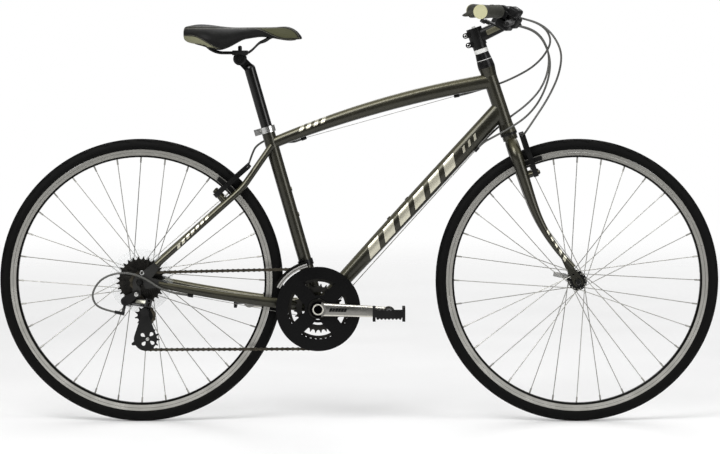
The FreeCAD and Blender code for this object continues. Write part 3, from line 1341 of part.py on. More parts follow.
def stem():
    """Return the stem with its face plate and bolts."""
    bore = rod(on_steerer(STEM_FOOT - OVERRUN), on_steerer(STEM_TOP + OVERRUN),
               STEERER_DIAMETER + RUN_FIT * 2)
    collar = rod(on_steerer(STEM_FOOT), on_steerer(STEM_TOP), STEM_CLAMP_DIAMETER)
    up = V(-STEM_AHEAD.z, 0, STEM_AHEAD.x)
    half = SIDE * (BAR_CLAMP_WIDTH / 2)
    barrel = rod(BAR_CENTRE - half, BAR_CENTRE + half, BAR_CLAMP_DIAMETER)
    arm = loft([oval(STEM_CENTRE, SIDE, up, STEM_ARM_WIDTH, STEM_ARM_HEIGHT, CRANK_SQUARENESS),
                oval(BAR_CENTRE, SIDE, up, STEM_ARM_WIDTH, STEM_ARM_END_HEIGHT, CRANK_SQUARENESS)])
    half_bolt = STEM_BOLT_SPACING / 2
    behind = -STEM_CLAMP_DIAMETER / 2 - STEM_EAR_LENGTH / 2
    middle = STEM_FOOT + STEM_CLAMP_HEIGHT / 2
    ear_half = STEM_EAR_WIDTH / 2
    ears, bolts = [], []
    for step in (-half_bolt, half_bolt):
        near = on_steerer(middle + step, behind, -ear_half)
        root = on_steerer(middle + step, 0, -ear_half)
        ears.append(bar(root, near, STEM_EAR_DIAMETER, STEM_EAR_DIAMETER, SIDE * STEM_EAR_WIDTH))
        shank = rod(near, near + SIDE * STEM_EAR_WIDTH, STEM_BOLT_DIAMETER)
        bolts.append(joined([shank, rod(near - SIDE * STEM_BOLT_HEAD, near, STEM_BOLT_HEAD_DIAMETER)]))
    slit = block(local_frame(on_steerer(STEM_FOOT - OVERRUN), STEER_UP, SIDE),
                 V(0, -FACE_PLATE_GAP, 0), V(STEM_CLAMP_HEIGHT + OVERRUN * 2, FACE_PLATE_GAP, OVERRUN * 3))
    bar_hole = rod(BAR_CENTRE - half * 2, BAR_CENTRE + half * 2, BAR_CLAMP_TUBE_DIAMETER + RUN_FIT * 2)
    body = joined([collar, arm, barrel] + ears).cut([bore, slit, bar_hole])
    plate_frame = local_frame(BAR_CENTRE, STEM_AHEAD, SIDE)
    ahead_room = V(BAR_CLAMP_DIAMETER, BAR_CLAMP_DIAMETER, BAR_CLAMP_DIAMETER)
    front = block(plate_frame, V(FACE_PLATE_GAP / 2, -ahead_room.y, -ahead_room.z), ahead_room)
    split = block(plate_frame, V(-FACE_PLATE_GAP / 2, -ahead_room.y, -ahead_room.z), ahead_room)
    plate = barrel.common(front).cut(bar_hole)
    body = body.cut(split)
    face_bolts = []
    edge = (BAR_CLAMP_DIAMETER + BAR_CLAMP_TUBE_DIAMETER) / 4
    for side in (-FACE_BOLT_SPACING / 2, FACE_BOLT_SPACING / 2):
        for height in (-edge, edge):
            foot = plate_frame.multVec(V(-STEM_BOLT_HEAD, side, height))
            reach = plate_frame.multVec(V(BAR_CLAMP_DIAMETER / 4, side, height))
            head = plate_frame.multVec(V(BAR_CLAMP_DIAMETER / 4 + STEM_BOLT_HEAD, side, height))
            seat = rod(reach, head + STEM_AHEAD * OVERRUN, STEM_BOLT_HEAD_DIAMETER)
            face_bolts.append(joined([rod(foot, reach, STEM_BOLT_DIAMETER / 2),
                                      rod(reach, head, STEM_BOLT_HEAD_DIAMETER)]))
            plate = plate.cut(seat)
    return together([body.cut(bolts + face_bolts), plate.cut(face_bolts)] + bolts + face_bolts)


def handlebar():
    """Return the swept bar with its wider clamp length."""
    left = [aside(point, -point.y) for point in (BAR_BEND_START, BAR_BEND_END, BAR_END)]
    points = [BAR_END, BAR_BEND_END, BAR_BEND_START] + left
    wire = rounded_route(points, [BAR_BEND_RADIUS] * 4)
    half = SIDE * BAR_BULGE_HALF
    bulge = rod(BAR_CENTRE - half, BAR_CENTRE + half, BAR_CLAMP_TUBE_DIAMETER)
    return joined([swept(wire, BAR_DIAMETER), bulge]).cut(swept(wire, BAR_DIAMETER - BAR_WALL * 2))


def grips():
    """Return the two grips with a palm wing, and their end plugs."""
    start = BAR_END - GRIP_OUT * GRIP_LENGTH
    bore = BAR_DIAMETER / 2 + SEAT_GAP
    inner, body, outer = GRIP_INNER_DIAMETER / 2, GRIP_BODY_DIAMETER / 2, GRIP_OUTER_DIAMETER / 2
    sleeve_part = turned([(bore, 0), (inner, 0), (inner, GRIP_COLLAR), (body, GRIP_COLLAR * 2),
                          (body, GRIP_LENGTH / 2), (outer, GRIP_LENGTH - GRIP_COLLAR), (outer, GRIP_LENGTH),
                          (bore, GRIP_LENGTH)], start, GRIP_OUT, V(0, 0, 1))
    root = BAR_END - GRIP_OUT * (WING_LENGTH / 2)
    back = -GRIP_AHEAD * WING_REACH - V(0, 0, 1) * WING_DROOP
    wires = []
    for share in WING_STATION_SHARES:
        length = blend(WING_LENGTH, WING_LENGTH / 2, share)
        thick = blend(WING_ROOT_THICKNESS, WING_TIP_THICKNESS, share)
        centre = root + back * share + GRIP_OUT * ((WING_LENGTH - length) / 2)
        wires.append(oval(centre, GRIP_OUT, unit(back.cross(GRIP_OUT)), length, thick, ROUND))
    hole = rod(start - GRIP_OUT, BAR_END + GRIP_OUT, bore * 2)
    grip = joined([sleeve_part, loft(wires).cut(hole)])
    plug = rod(BAR_END, BAR_END + GRIP_OUT * PLUG_THICKNESS, GRIP_OUTER_DIAMETER)
    return together([grip, plug, mirrored(grip), mirrored(plug)])


# Levers and shifters


def control_frame():
    """Return the frame of the right lever clamp."""
    return local_frame(CONTROL_CENTRE, GRIP_OUT, CONTROL_AHEAD)


def control_brackets():
    """Return the lever brackets with shifter pods, barrels and pivot pins."""
    frame = control_frame()
    half = CONTROL_CLAMP_WIDTH / 2
    clamp = rod(at_control(-half, 0, 0), at_control(half, 0, 0), CONTROL_CLAMP_DIAMETER)
    thick = BRACKET_THICKNESS / 2
    body = block(frame, V(-BRACKET_INNER, 0, -thick), V(BRACKET_OUTER, BRACKET_REACH, thick))
    room = LEVER_THICKNESS / 2 + FREE_GAP
    slot_floor = LEVER_PIVOT_REACH - LEVER_EYE_DIAMETER / 2 - 2 * FREE_GAP
    slot = block(frame, V(-BRACKET_INNER / 2, slot_floor, -room),
                 V(BRACKET_OUTER + OVERRUN, BRACKET_REACH + OVERRUN, room))
    barrel = rod(at_control(-BRACKET_INNER, LEVER_PIVOT_REACH - BARREL_DIAMETER / 2, 0),
                 at_control(-BRACKET_INNER - BARREL_LENGTH, LEVER_PIVOT_REACH - BARREL_DIAMETER / 2, 0),
                 BARREL_DIAMETER)
    pod = Part.makeBox(POD_INNER + POD_OUTER, POD_REACH, POD_DEPTH, V(-POD_INNER, 0, -POD_TOP - POD_DEPTH))
    pod = pod.makeFillet(POD_ROUND, pod.Edges)
    pod.Placement = frame
    pod_middle = -POD_TOP - POD_DEPTH / 2
    pod_barrel = rod(at_control(-POD_INNER + POD_ROUND, POD_BARREL_REACH, pod_middle),
                     at_control(-POD_INNER - BARREL_LENGTH / 2, POD_BARREL_REACH, pod_middle), BARREL_DIAMETER)
    pin = rod(at_control(LEVER_PIVOT_ALONG, LEVER_PIVOT_REACH, -thick),
              at_control(LEVER_PIVOT_ALONG, LEVER_PIVOT_REACH, thick), LEVER_PIN_DIAMETER)
    foot = -POD_TOP - POD_DEPTH
    shift_pin = rod(at_control(-SHIFT_PIVOT_IN, SHIFT_PIVOT_REACH, foot + POD_ROUND),
                    at_control(-SHIFT_PIVOT_IN, SHIFT_PIVOT_REACH, foot - FREE_GAP - SHIFT_THICKNESS),
                    SHIFT_PIN_DIAMETER)
    bore = rod(at_control(-POD_INNER - OVERRUN, 0, 0), at_control(BRACKET_OUTER + OVERRUN, 0, 0),
               BAR_DIAMETER + RUN_FIT * 2)
    shape = joined([clamp, body, pod]).cut([slot, bore])
    right = joined([shape, barrel, pod_barrel, pin, shift_pin])
    return together([right, mirrored(right)])


def brake_lever():
    """Return the right brake lever with a round tip."""
    drop = -CONTROL_UP * (LEVER_THICKNESS / 2)
    depth = CONTROL_UP * LEVER_THICKNESS
    pivot = at_control(LEVER_PIVOT_ALONG, LEVER_PIVOT_REACH, 0)
    knee = at_control(LEVER_KNEE_ALONG, LEVER_KNEE_REACH, 0)
    tip = at_control(LEVER_TIP_ALONG, LEVER_TIP_REACH, 0)
    root = bar(pivot + drop, knee + drop, LEVER_EYE_DIAMETER, LEVER_KNEE_DIAMETER, depth)
    blade = bar(knee + drop, tip + drop, LEVER_KNEE_DIAMETER, LEVER_TIP_DIAMETER, depth)
    ball = Part.makeSphere(LEVER_BALL_DIAMETER / 2, tip)
    bore = rod(pivot + drop - CONTROL_UP, pivot - drop + CONTROL_UP, LEVER_PIN_DIAMETER + RUN_FIT * 2)
    return joined([root, blade, ball]).cut(bore)


def shift_lever():
    """Return the right thumb lever under its pod."""
    foot = -POD_TOP - POD_DEPTH - FREE_GAP
    depth = -CONTROL_UP * SHIFT_THICKNESS
    pivot = at_control(-SHIFT_PIVOT_IN, SHIFT_PIVOT_REACH, foot)
    paddle = at_control(SHIFT_PADDLE_OUT, -SHIFT_PADDLE_BACK, foot)
    plate = bar(pivot, paddle, SHIFT_EYE_DIAMETER, SHIFT_PADDLE_DIAMETER, depth)
    thumb = rod(paddle, paddle + depth * 2, SHIFT_PADDLE_DIAMETER)
    bore = rod(pivot - depth, pivot + depth * 2, SHIFT_PIN_DIAMETER + RUN_FIT * 2)
    return joined([plate, thumb]).cut(bore)


# Chain drive


def pitch_radius(teeth):
    """Return the radius on which one chain pitch spans one tooth."""
    return teeth * CHAIN_PITCH / (2 * math.pi)


def sprocket(teeth, centre, phase, bore, thickness):
    """Return a toothed wheel with a roller seat at the phase angle and one for every tooth."""
    radius = pitch_radius(teeth)
    seat = TOOTH_SEAT_DIAMETER / 2
    start = centre - SIDE * (thickness / 2)
    step = 360 / teeth
    points = []
    opening = math.radians(TOOTH_SEAT_ANGLE)
    for index in range(teeth):
        angle = phase + index * step
        out, along = polar(angle), polar(angle + 90)
        middle = start + out * radius
        low = middle - out * (seat * math.cos(opening)) - along * (seat * math.sin(opening))
        high = middle - out * (seat * math.cos(opening)) + along * (seat * math.sin(opening))
        points += [low, (middle - out * seat, high)]
        tip, tip_along = polar(angle + step / 2), polar(angle + step / 2 + 90)
        peak = start + tip * (radius + TOOTH_HEIGHT)
        points += [peak - tip_along * (TOOTH_TIP / 2), peak + tip_along * (TOOTH_TIP / 2)]
    hole = Part.Wire([Part.makeCircle(bore / 2, start, SIDE)])
    face = Part.makeFace(Part.makeCompound([outline(points), hole]), "Part::FaceMakerBullseye")
    return face.extrude(SIDE * thickness)


def cage_pulleys(angle):
    """Return the guide and tension pulley centres for an angle of the derailleur cage."""
    pivot = REAR_AXLE + V(CAGE_PIVOT_AHEAD, 0, -CAGE_PIVOT_DROP)
    lean = angle - CAGE_ANGLE
    guide = pivot + polar(-90 + lean) * GUIDE_DROP
    return pivot, guide, guide + polar(angle) * PULLEY_SPACING


def chain_loop(angle):
    """Return the chain's runs and arcs: ring, tension pulley, guide pulley, sprocket and back."""
    pivot, guide, tension = cage_pulleys(angle)
    wheels = [(CRANK_CENTRE, pitch_radius(BIG_RING_TEETH), 1), (tension, pitch_radius(TENSION_TEETH), 1),
              (guide, pitch_radius(GUIDE_TEETH), -1), (REAR_AXLE, pitch_radius(SPROCKET_TEETH[0]), 1)]
    tangents = []
    for (first, first_radius, first_way), (last, last_radius, last_way) in zip(wheels, wheels[1:] + wheels[:1]):
        gap = last - first
        across = first_way * first_radius - last_way * last_radius
        heading = math.atan2(gap.z, gap.x) - math.asin(across / gap.Length)
        left = V(-math.sin(heading), 0, math.cos(heading))
        tangents.append((first + left * (first_way * first_radius), last + left * (last_way * last_radius)))
    pieces = []
    for index, (centre, radius, way) in enumerate(wheels):
        arrive, leave = tangents[index - 1][1] - centre, tangents[index][0] - centre
        start = math.atan2(arrive.z, arrive.x)
        sweep = (way * (start - math.atan2(leave.z, leave.x))) % (2 * math.pi)
        pieces.append(("arc", centre, radius, way, start, sweep * radius))
        first, last = tangents[index]
        pieces.append(("run", first, last, (last - first).Length))
    return pieces


def loop_length(pieces):
    """Return the length of the chain's loop."""
    return sum(piece[-1] for piece in pieces)


def settled_cage():
    """Return the cage angle at which a whole even count of links fills the loop, and that count."""
    count = 2 * round(loop_length(chain_loop(CAGE_ANGLE)) / (2 * CHAIN_PITCH))
    low, high = CAGE_ANGLE - CAGE_SEARCH, CAGE_ANGLE + CAGE_SEARCH
    rising = loop_length(chain_loop(high)) > loop_length(chain_loop(low))
    for _ in range(SECTION_POINTS * 3):
        middle = (low + high) / 2
        longer = loop_length(chain_loop(middle)) > count * CHAIN_PITCH
        if longer == rising:
            high = middle
        else:
            low = middle
    return (low + high) / 2, count


def chain_rollers(pieces, count):
    """Return the roller centres, and for each wheel in turn a roller angle that sets its teeth."""
    centres, phases = [], [None] * 4
    starts = []
    travelled = 0
    for piece in pieces:
        starts.append(travelled)
        travelled += piece[-1]
    for index in range(count):
        along = index * CHAIN_PITCH
        number = max(k for k, start in enumerate(starts) if start <= along)
        piece, rest = pieces[number], along - starts[number]
        if piece[0] == "arc":
            _, centre, radius, way, start, _ = piece
            angle = start - way * rest / radius
            centres.append(centre + V(math.cos(angle), 0, math.sin(angle)) * radius)
            phases[number // 2] = math.degrees(angle)
        else:
            centres.append(piece[1] + unit(piece[2] - piece[1]) * rest)
    return [aside(centre, -CHAIN_SIDE) for centre in centres], phases


CAGE_TURN, LINK_COUNT = settled_cage()
CAGE_PIVOT, GUIDE_CENTRE, TENSION_CENTRE = cage_pulleys(CAGE_TURN)
ROLLERS, PHASES = chain_rollers(chain_loop(CAGE_TURN), LINK_COUNT)
RING_PHASE, TENSION_PHASE, GUIDE_PHASE, SPROCKET_PHASE = PHASES


def waisted_plate(level):
    """Return one chain plate, narrower between its two ends."""
    half = CHAIN_PITCH / 2
    radius = PLATE_HEIGHT / 2
    lean = math.radians(50)
    x, z = half - radius * math.cos(lean), radius * math.sin(lean)
    waist = PLATE_WAIST / 2
    return slab([V(-x, level, z), (V(0, level, waist), V(x, level, z)),
                 (V(half + radius, level, 0), V(x, level, -z)), (V(0, level, -waist), V(-x, level, -z)),
                 (V(-half - radius, level, 0), V(-x, level, z))], SIDE * PLATE_THICKNESS)


def chain():
    """Return the chain: outer links with pins and inner links with bored rollers, in turn."""
    half = CHAIN_PITCH / 2
    inside = INNER_WIDTH / 2
    outside = inside + PLATE_THICKNESS + PLATE_GAP
    pins = [rod(V(x, -outside - PLATE_THICKNESS, 0), V(x, outside + PLATE_THICKNESS, 0), PIN_DIAMETER)
            for x in (-half, half)]
    outer = joined([waisted_plate(-outside - PLATE_THICKNESS), waisted_plate(outside)] + pins)
    rollers = [rod(V(x, -inside, 0), V(x, inside, 0), ROLLER_DIAMETER) for x in (-half, half)]
    bores = [rod(V(x, -outside, 0), V(x, outside, 0), ROLLER_BORE) for x in (-half, half)]
    inner = joined([waisted_plate(-inside - PLATE_THICKNESS), waisted_plate(inside)] + rollers).cut(bores)
    links = []
    for index, start in enumerate(ROLLERS):
        end = ROLLERS[(index + 1) % LINK_COUNT]
        link = (outer, inner)[index % 2].copy()
        link.Placement = local_frame((start + end) / 2, unit(end - start), SIDE)
        links.append(link)
    return together(links)


def ring_plane(index):
    """Return the middle of one chainring's plane, counted from the outer ring."""
    return aside(CRANK_CENTRE, -CHAIN_SIDE + index * RING_SPACING)


def chainrings():
    """Return three chainrings on a four-armed spider with spacers to the small ring."""
    rings = [sprocket(BIG_RING_TEETH, ring_plane(0), RING_PHASE, BIG_RING_BORE, RING_THICKNESS),
             sprocket(MIDDLE_RING_TEETH, ring_plane(1), 0, MIDDLE_RING_BORE, RING_THICKNESS),
             sprocket(SMALL_RING_TEETH, ring_plane(2), 0, SMALL_RING_BORE, RING_THICKNESS)]
    start = -CHAIN_SIDE + RING_THICKNESS / 2
    depth = SIDE * (RING_SPACING - RING_THICKNESS)
    centre = aside(CRANK_CENTRE, start)
    arms = [bar(centre, centre + polar(angle) * SPIDER_REACH, SPIDER_ROOT_WIDTH, SPIDER_ARM_WIDTH, depth)
            for angle in spider_angles()]
    hub_part = rod(aside(CRANK_CENTRE, -CRANK_BOSS_INNER), centre + depth, SPIDER_HUB_DIAMETER)
    bore = rod(aside(CRANK_CENTRE, -CRANK_BOSS_INNER - OVERRUN), aside(CRANK_CENTRE, 0), SPINDLE_DIAMETER)
    spider = joined([hub_part] + arms).cut(bore)
    bolts = []
    for angle in spider_angles():
        foot = centre + depth + polar(angle) * (RING_BOLT_CIRCLE / 2)
        bolts.append(rod(foot, aside(foot, -CHAIN_SIDE + 2 * RING_SPACING - RING_THICKNESS / 2),
                         RING_BOLT_DIAMETER))
    return together(rings + [spider] + bolts)


def spider_angles():
    """Return the angles of the spider's arms."""
    step = 360 / SPIDER_ARMS
    return [CRANK_ANGLE + step / 2 + step * index for index in range(SPIDER_ARMS)]


def chain_guard():
    """Return the guard: an outer band on four broad arms, with posts to the big ring."""
    link_half = INNER_WIDTH / 2 + PLATE_THICKNESS * 2 + PLATE_GAP
    inner = -CHAIN_SIDE - link_half - GUARD_CHAIN_GAP
    outer = inner - GUARD_THICKNESS
    centre = aside(CRANK_CENTRE, outer)
    depth = SIDE * GUARD_THICKNESS
    band = sleeve(centre, centre + depth, GUARD_DIAMETER, GUARD_BORE)
    middle = rod(centre, centre + depth, GUARD_HUB_DIAMETER)
    reach = (GUARD_BORE + GUARD_DIAMETER) / 4
    arms, posts = [], []
    for angle in spider_angles():
        arms.append(bar(centre, centre + polar(angle) * (reach - GUARD_ARM_WIDTH / 2), GUARD_ARM_WIDTH,
                        GUARD_ARM_WIDTH, depth))
        foot = centre + depth + polar(angle) * (GUARD_POST_CIRCLE / 2)
        posts.append(rod(foot, aside(foot, -CHAIN_SIDE - RING_THICKNESS / 2), GUARD_POST_DIAMETER))
    hole = rod(centre - depth, centre + depth * 2, GUARD_HUB_BORE)
    return joined([band, middle] + arms + posts).cut(hole)


def crank_eye(side):
    """Return the pedal eye's centre on one side of the bike."""
    return CRANK_CENTRE + polar(CRANK_ANGLE) * (-side * CRANK_LENGTH)


def crank_arm():
    """Return the right crank arm with boss and pedal eye."""
    along = polar(CRANK_ANGLE)
    up = polar(CRANK_ANGLE + 90)
    boss_start = aside(CRANK_CENTRE, -CRANK_BOSS_INNER - CRANK_BOSS_THICKNESS)
    boss = rod(boss_start, aside(CRANK_CENTRE, -CRANK_BOSS_INNER), CRANK_BOSS_DIAMETER)
    eye_point = crank_eye(-1)
    eye = rod(aside(eye_point, -CRANK_EYE_INNER - CRANK_EYE_THICKNESS), aside(eye_point, -CRANK_EYE_INNER),
              CRANK_EYE_DIAMETER)
    root_middle = aside(CRANK_CENTRE, -CRANK_BOSS_INNER - CRANK_BOSS_THICKNESS / 2)
    tip_middle = aside(eye_point, -CRANK_EYE_INNER - CRANK_EYE_THICKNESS / 2)
    arm = loft([oval(root_middle, SIDE, up, CRANK_ROOT_THICKNESS, CRANK_ROOT_HEIGHT, CRANK_SQUARENESS),
                oval(tip_middle, SIDE, up, CRANK_TIP_THICKNESS, CRANK_TIP_HEIGHT, CRANK_SQUARENESS)])
    bore = rod(boss_start + SIDE * DUST_CAP_THICKNESS, aside(CRANK_CENTRE, 0), SPINDLE_DIAMETER)
    cap_seat = rod(boss_start - SIDE, boss_start + SIDE * DUST_CAP_THICKNESS, DUST_CAP_DIAMETER)
    hole = rod(aside(eye_point, -CRANK_EYE_INNER - OVERRUN), aside(eye_point, -CRANK_EYE_INNER + OVERRUN),
               PEDAL_SPINDLE_DIAMETER)
    return joined([boss, eye, arm]).cut([bore, cap_seat, hole])


def crank_arms():
    """Return both crank arms, the spindle, dust caps and pedal spindles."""
    right = crank_arm()
    left = right.copy()
    left.rotate(CRANK_CENTRE, V(0, 0, 1), 180)
    left.rotate(CRANK_CENTRE, SIDE, -2 * CRANK_ANGLE)
    half = SPINDLE_LENGTH / 2
    spindle = rod(aside(CRANK_CENTRE, -half), aside(CRANK_CENTRE, half), SPINDLE_DIAMETER)
    cap_start = -CRANK_BOSS_INNER - CRANK_BOSS_THICKNESS
    cap = rod(aside(CRANK_CENTRE, cap_start), aside(CRANK_CENTRE, cap_start + DUST_CAP_THICKNESS),
              DUST_CAP_DIAMETER)
    spindles = []
    for side in (-1, 1):
        eye = crank_eye(side)
        inner, outer = CRANK_EYE_INNER, CRANK_EYE_INNER + CRANK_EYE_THICKNESS + PEDAL_START + PEDAL_WIDTH
        spindles.append(rod(aside(eye, side * inner), aside(eye, side * (outer - PEDAL_WALL)),
                            PEDAL_SPINDLE_DIAMETER))
    return together([right, left, spindle, cap, mirrored(cap)] + spindles)


def pedal(side):
    """Return one pedal: a barrel, two toothed cage bars and end walls round two windows."""
    eye = crank_eye(side)
    inner = CRANK_EYE_INNER + CRANK_EYE_THICKNESS + PEDAL_START
    start = min(side * inner, side * (inner + PEDAL_WIDTH))
    low = V(eye.x - PEDAL_LENGTH / 2, start, eye.z - PEDAL_HEIGHT / 2)
    body = Part.makeBox(PEDAL_LENGTH, PEDAL_WIDTH, PEDAL_HEIGHT, low)
    inside = PEDAL_WIDTH - PEDAL_WALL * 2
    span = PEDAL_LENGTH / 2 - PEDAL_BARREL_DIAMETER / 2 - PEDAL_WALL
    windows = []
    for x in (low.x + PEDAL_WALL, eye.x + PEDAL_BARREL_DIAMETER / 2):
        windows.append(Part.makeBox(span, inside, PEDAL_HEIGHT + OVERRUN,
                                    V(x, start + PEDAL_WALL, low.z - OVERRUN / 2)))
    teeth = []
    step = PEDAL_WIDTH / PEDAL_TEETH
    for x in (low.x, low.x + PEDAL_LENGTH - PEDAL_WALL):
        for index in range(PEDAL_TEETH):
            base = V(x, start + step * index + step / 4, low.z)
            for foot, rise in ((low.z, -PEDAL_TOOTH_HEIGHT), (low.z + PEDAL_HEIGHT, PEDAL_TOOTH_HEIGHT)):
                a, b = V(base.x, base.y, foot), V(base.x, base.y + step / 2, foot)
                peak = V(0, 0, rise)
                teeth.append(slab([a, b, b - SIDE * (step / 8) + peak, a + SIDE * (step / 8) + peak],
                                  V(PEDAL_WALL, 0, 0)))
    middle = aside(eye, start)
    bore_end = inner + PEDAL_WIDTH - PEDAL_WALL
    bore = rod(aside(eye, side * (inner - OVERRUN)), aside(eye, side * (bore_end + FREE_GAP)),
               PEDAL_SPINDLE_DIAMETER + RUN_FIT * 2)
    barrel = rod(middle, middle + SIDE * PEDAL_WIDTH, PEDAL_BARREL_DIAMETER)
    slim = [Part.makeBox(PEDAL_LENGTH - PEDAL_WALL * 2, PEDAL_WIDTH + OVERRUN * 2, PEDAL_HEIGHT,
                         V(low.x + PEDAL_WALL, start - OVERRUN, eye.z + way))
            for way in (PEDAL_BARREL_DIAMETER / 3, -PEDAL_BARREL_DIAMETER / 3 - PEDAL_HEIGHT)]
    return joined([joined([body] + teeth).cut(windows + slim), barrel]).cut(bore)


def cassette():
    """Return the carrier, eight sprockets, the rings between them and the lock ring."""
    first = -CHAIN_SIDE
    last = first + SPROCKET_PITCH * (len(SPROCKET_TEETH) - 1)
    half = SPROCKET_THICKNESS / 2
    carrier_bore = AXLE_DIAMETER + RUN_FIT * 2
    lock_start = first - half - LOCK_RING_THICKNESS
    carrier_start, carrier_end = aside(REAR_AXLE, first - half), aside(REAR_AXLE, last + half)
    parts = [sleeve(carrier_start, carrier_end, CARRIER_DIAMETER, carrier_bore),
             sleeve(aside(REAR_AXLE, lock_start), carrier_start, LOCK_RING_DIAMETER, carrier_bore)]
    for index, teeth in enumerate(SPROCKET_TEETH):
        side = first + index * SPROCKET_PITCH
        phase = SPROCKET_PHASE if index == 0 else 0
        parts.append(sprocket(teeth, aside(REAR_AXLE, side), phase, CARRIER_DIAMETER, SPROCKET_THICKNESS))
        if teeth != SPROCKET_TEETH[-1]:
            gap_start = aside(REAR_AXLE, side + half)
            gap_end = aside(REAR_AXLE, side + SPROCKET_PITCH - half)
            outer = LOCK_RING_DIAMETER if index == 0 else SPACER_RING_DIAMETER
            parts.append(sleeve(gap_start, gap_end, outer, CARRIER_DIAMETER))
    return together(parts)


def spoke_protector():
    """Return the clear disc between spokes and largest sprocket."""
    outer_spoke = REAR_FLANGE_RIGHT + FLANGE_THICKNESS / 2 + SPOKE_DIAMETER + SPOKE_LEAN_ROOM
    near = aside(REAR_AXLE, -outer_spoke - SEAT_GAP)
    return sleeve(near, near - SIDE * PROTECTOR_THICKNESS, PROTECTOR_DIAMETER, PROTECTOR_BORE)


# Rear derailleur

LINK_MIDDLE = polar(-LINK_DROOP)
LINK_SWING_AIM = V(0, math.cos(math.radians(LINK_SLANT)), -math.sin(math.radians(LINK_SLANT)))
LINK_AXIS = unit(LINK_MIDDLE.cross(LINK_SWING_AIM))
LINK_IN = LINK_AXIS.cross(LINK_MIDDLE)
LINK_REST_TURN = math.radians(LINK_REST)
LINK_ALONG = LINK_MIDDLE * math.cos(LINK_REST_TURN) - LINK_IN * math.sin(LINK_REST_TURN)
KNUCKLE_PIVOT = aside(CAGE_PIVOT, -KNUCKLE_SIDE) + LINK_AXIS * PIVOT_ABOVE_CAGE
BRACKET_PIVOT = KNUCKLE_PIVOT - LINK_ALONG * LINK_LENGTH


def link_pins(middle):
    """Return the outer and inner pin centres at one end of the links."""
    half = LINK_IN * (LINK_SPACING / 2)
    return middle - half, middle + half


def gear_link(index):
    """Return the outer (0) or inner (1) link of the derailleur."""
    start, end = link_pins(BRACKET_PIVOT)[index], link_pins(KNUCKLE_PIVOT)[index]
    low = -LINK_AXIS * (LINK_HEIGHT / 2)
    depth = LINK_AXIS * LINK_HEIGHT
    plate = bar(start + low, end + low, LINK_EYE_DIAMETER, LINK_EYE_DIAMETER, depth)
    holes = [rod(point + low * 2, point - low * 2, LINK_PIN_DIAMETER + RUN_FIT * 2) for point in (start, end)]
    return plate.cut(holes)


def lugs(middle, away):
    """Return a fork of two lugs with pins, joined by a web on the side away from the links."""
    outer, inner = link_pins(middle)
    reach = LINK_HEIGHT / 2 + FREE_GAP
    top = reach + LUG_THICKNESS
    back = away * (LUG_WEB_BACK + LUG_WEB_THICKNESS / 2)
    shapes = []
    for level in (-top, reach):
        lift = LINK_AXIS * level
        depth = LINK_AXIS * LUG_THICKNESS
        shapes.append(bar(outer + lift, inner + lift, LUG_DIAMETER, LUG_DIAMETER, depth))
        for pin in (outer, inner):
            shapes.append(bar(pin + lift, pin + back + lift, LUG_DIAMETER, LUG_WEB_THICKNESS, depth))
    low = LINK_AXIS * -top
    shapes.append(bar(outer + back + low, inner + back + low, LUG_WEB_THICKNESS, LUG_WEB_THICKNESS,
                      LINK_AXIS * (top * 2)))
    shapes += [rod(pin + low, pin - low, LINK_PIN_DIAMETER) for pin in (outer, inner)]
    return shapes


def bracket_boss_side():
    """Return the inner face of the bracket's boss, just outside the hanger."""
    return -DROPOUT_SIDE - DROPOUT_THICKNESS - FREE_GAP


def derailleur_bracket():
    """Return the bracket on the hanger: bolt, boss, arm, lugs and cable barrel."""
    face = bracket_boss_side()
    boss_end = face - BRACKET_BOSS_LENGTH
    boss = rod(aside(HANGER_EYE, boss_end), aside(HANGER_EYE, face), BRACKET_BOSS_DIAMETER)
    bolt = rod(aside(HANGER_EYE, face), aside(HANGER_EYE, face + DROPOUT_THICKNESS + FREE_GAP),
               HANGER_BOLT_DIAMETER)
    web = BRACKET_PIVOT - LINK_MIDDLE * (LUG_WEB_BACK + LUG_WEB_THICKNESS / 2)
    arm = bar(aside(HANGER_EYE, boss_end), aside(web, boss_end), BRACKET_BOSS_DIAMETER, BRACKET_ARM_DIAMETER,
              SIDE * BRACKET_ARM_THICKNESS)
    cross = rod(aside(web, boss_end), web + LINK_IN * (LINK_SPACING / 2), BRACKET_CROSS_DIAMETER)
    barrel_at = web - LINK_AXIS * GEAR_BARREL_DROP
    post = rod(web, barrel_at, BRACKET_POST_DIAMETER)
    barrel = rod(barrel_at + LINK_MIDDLE * (BARREL_DIAMETER / 2),
                 barrel_at - LINK_MIDDLE * BARREL_LENGTH, BARREL_DIAMETER)
    return joined([boss, bolt, arm, cross, post, barrel] + lugs(BRACKET_PIVOT, -LINK_MIDDLE))


def gear_barrel_end():
    """Return the outer end of the derailleur's cable barrel and its direction."""
    web = BRACKET_PIVOT - LINK_MIDDLE * (LUG_WEB_BACK + LUG_WEB_THICKNESS / 2)
    return web - LINK_AXIS * GEAR_BARREL_DROP - LINK_MIDDLE * BARREL_LENGTH, -LINK_MIDDLE


def derailleur_knuckle():
    """Return the knuckle: lugs for the links and a bored boss for the cage."""
    inner = -CHAIN_SIDE - CAGE_INNER_WIDTH / 2 - CAGE_PLATE_THICKNESS - FREE_GAP
    outer = inner - KNUCKLE_LENGTH
    boss = rod(aside(CAGE_PIVOT, outer), aside(CAGE_PIVOT, inner), KNUCKLE_DIAMETER)
    bore = rod(aside(CAGE_PIVOT, outer + CAGE_STUB_DIAMETER / 4), aside(CAGE_PIVOT, inner + OVERRUN),
               CAGE_STUB_DIAMETER + RUN_FIT * 2)
    shape = joined([boss] + lugs(KNUCKLE_PIVOT, LINK_MIDDLE))
    return shape.cut(bore)


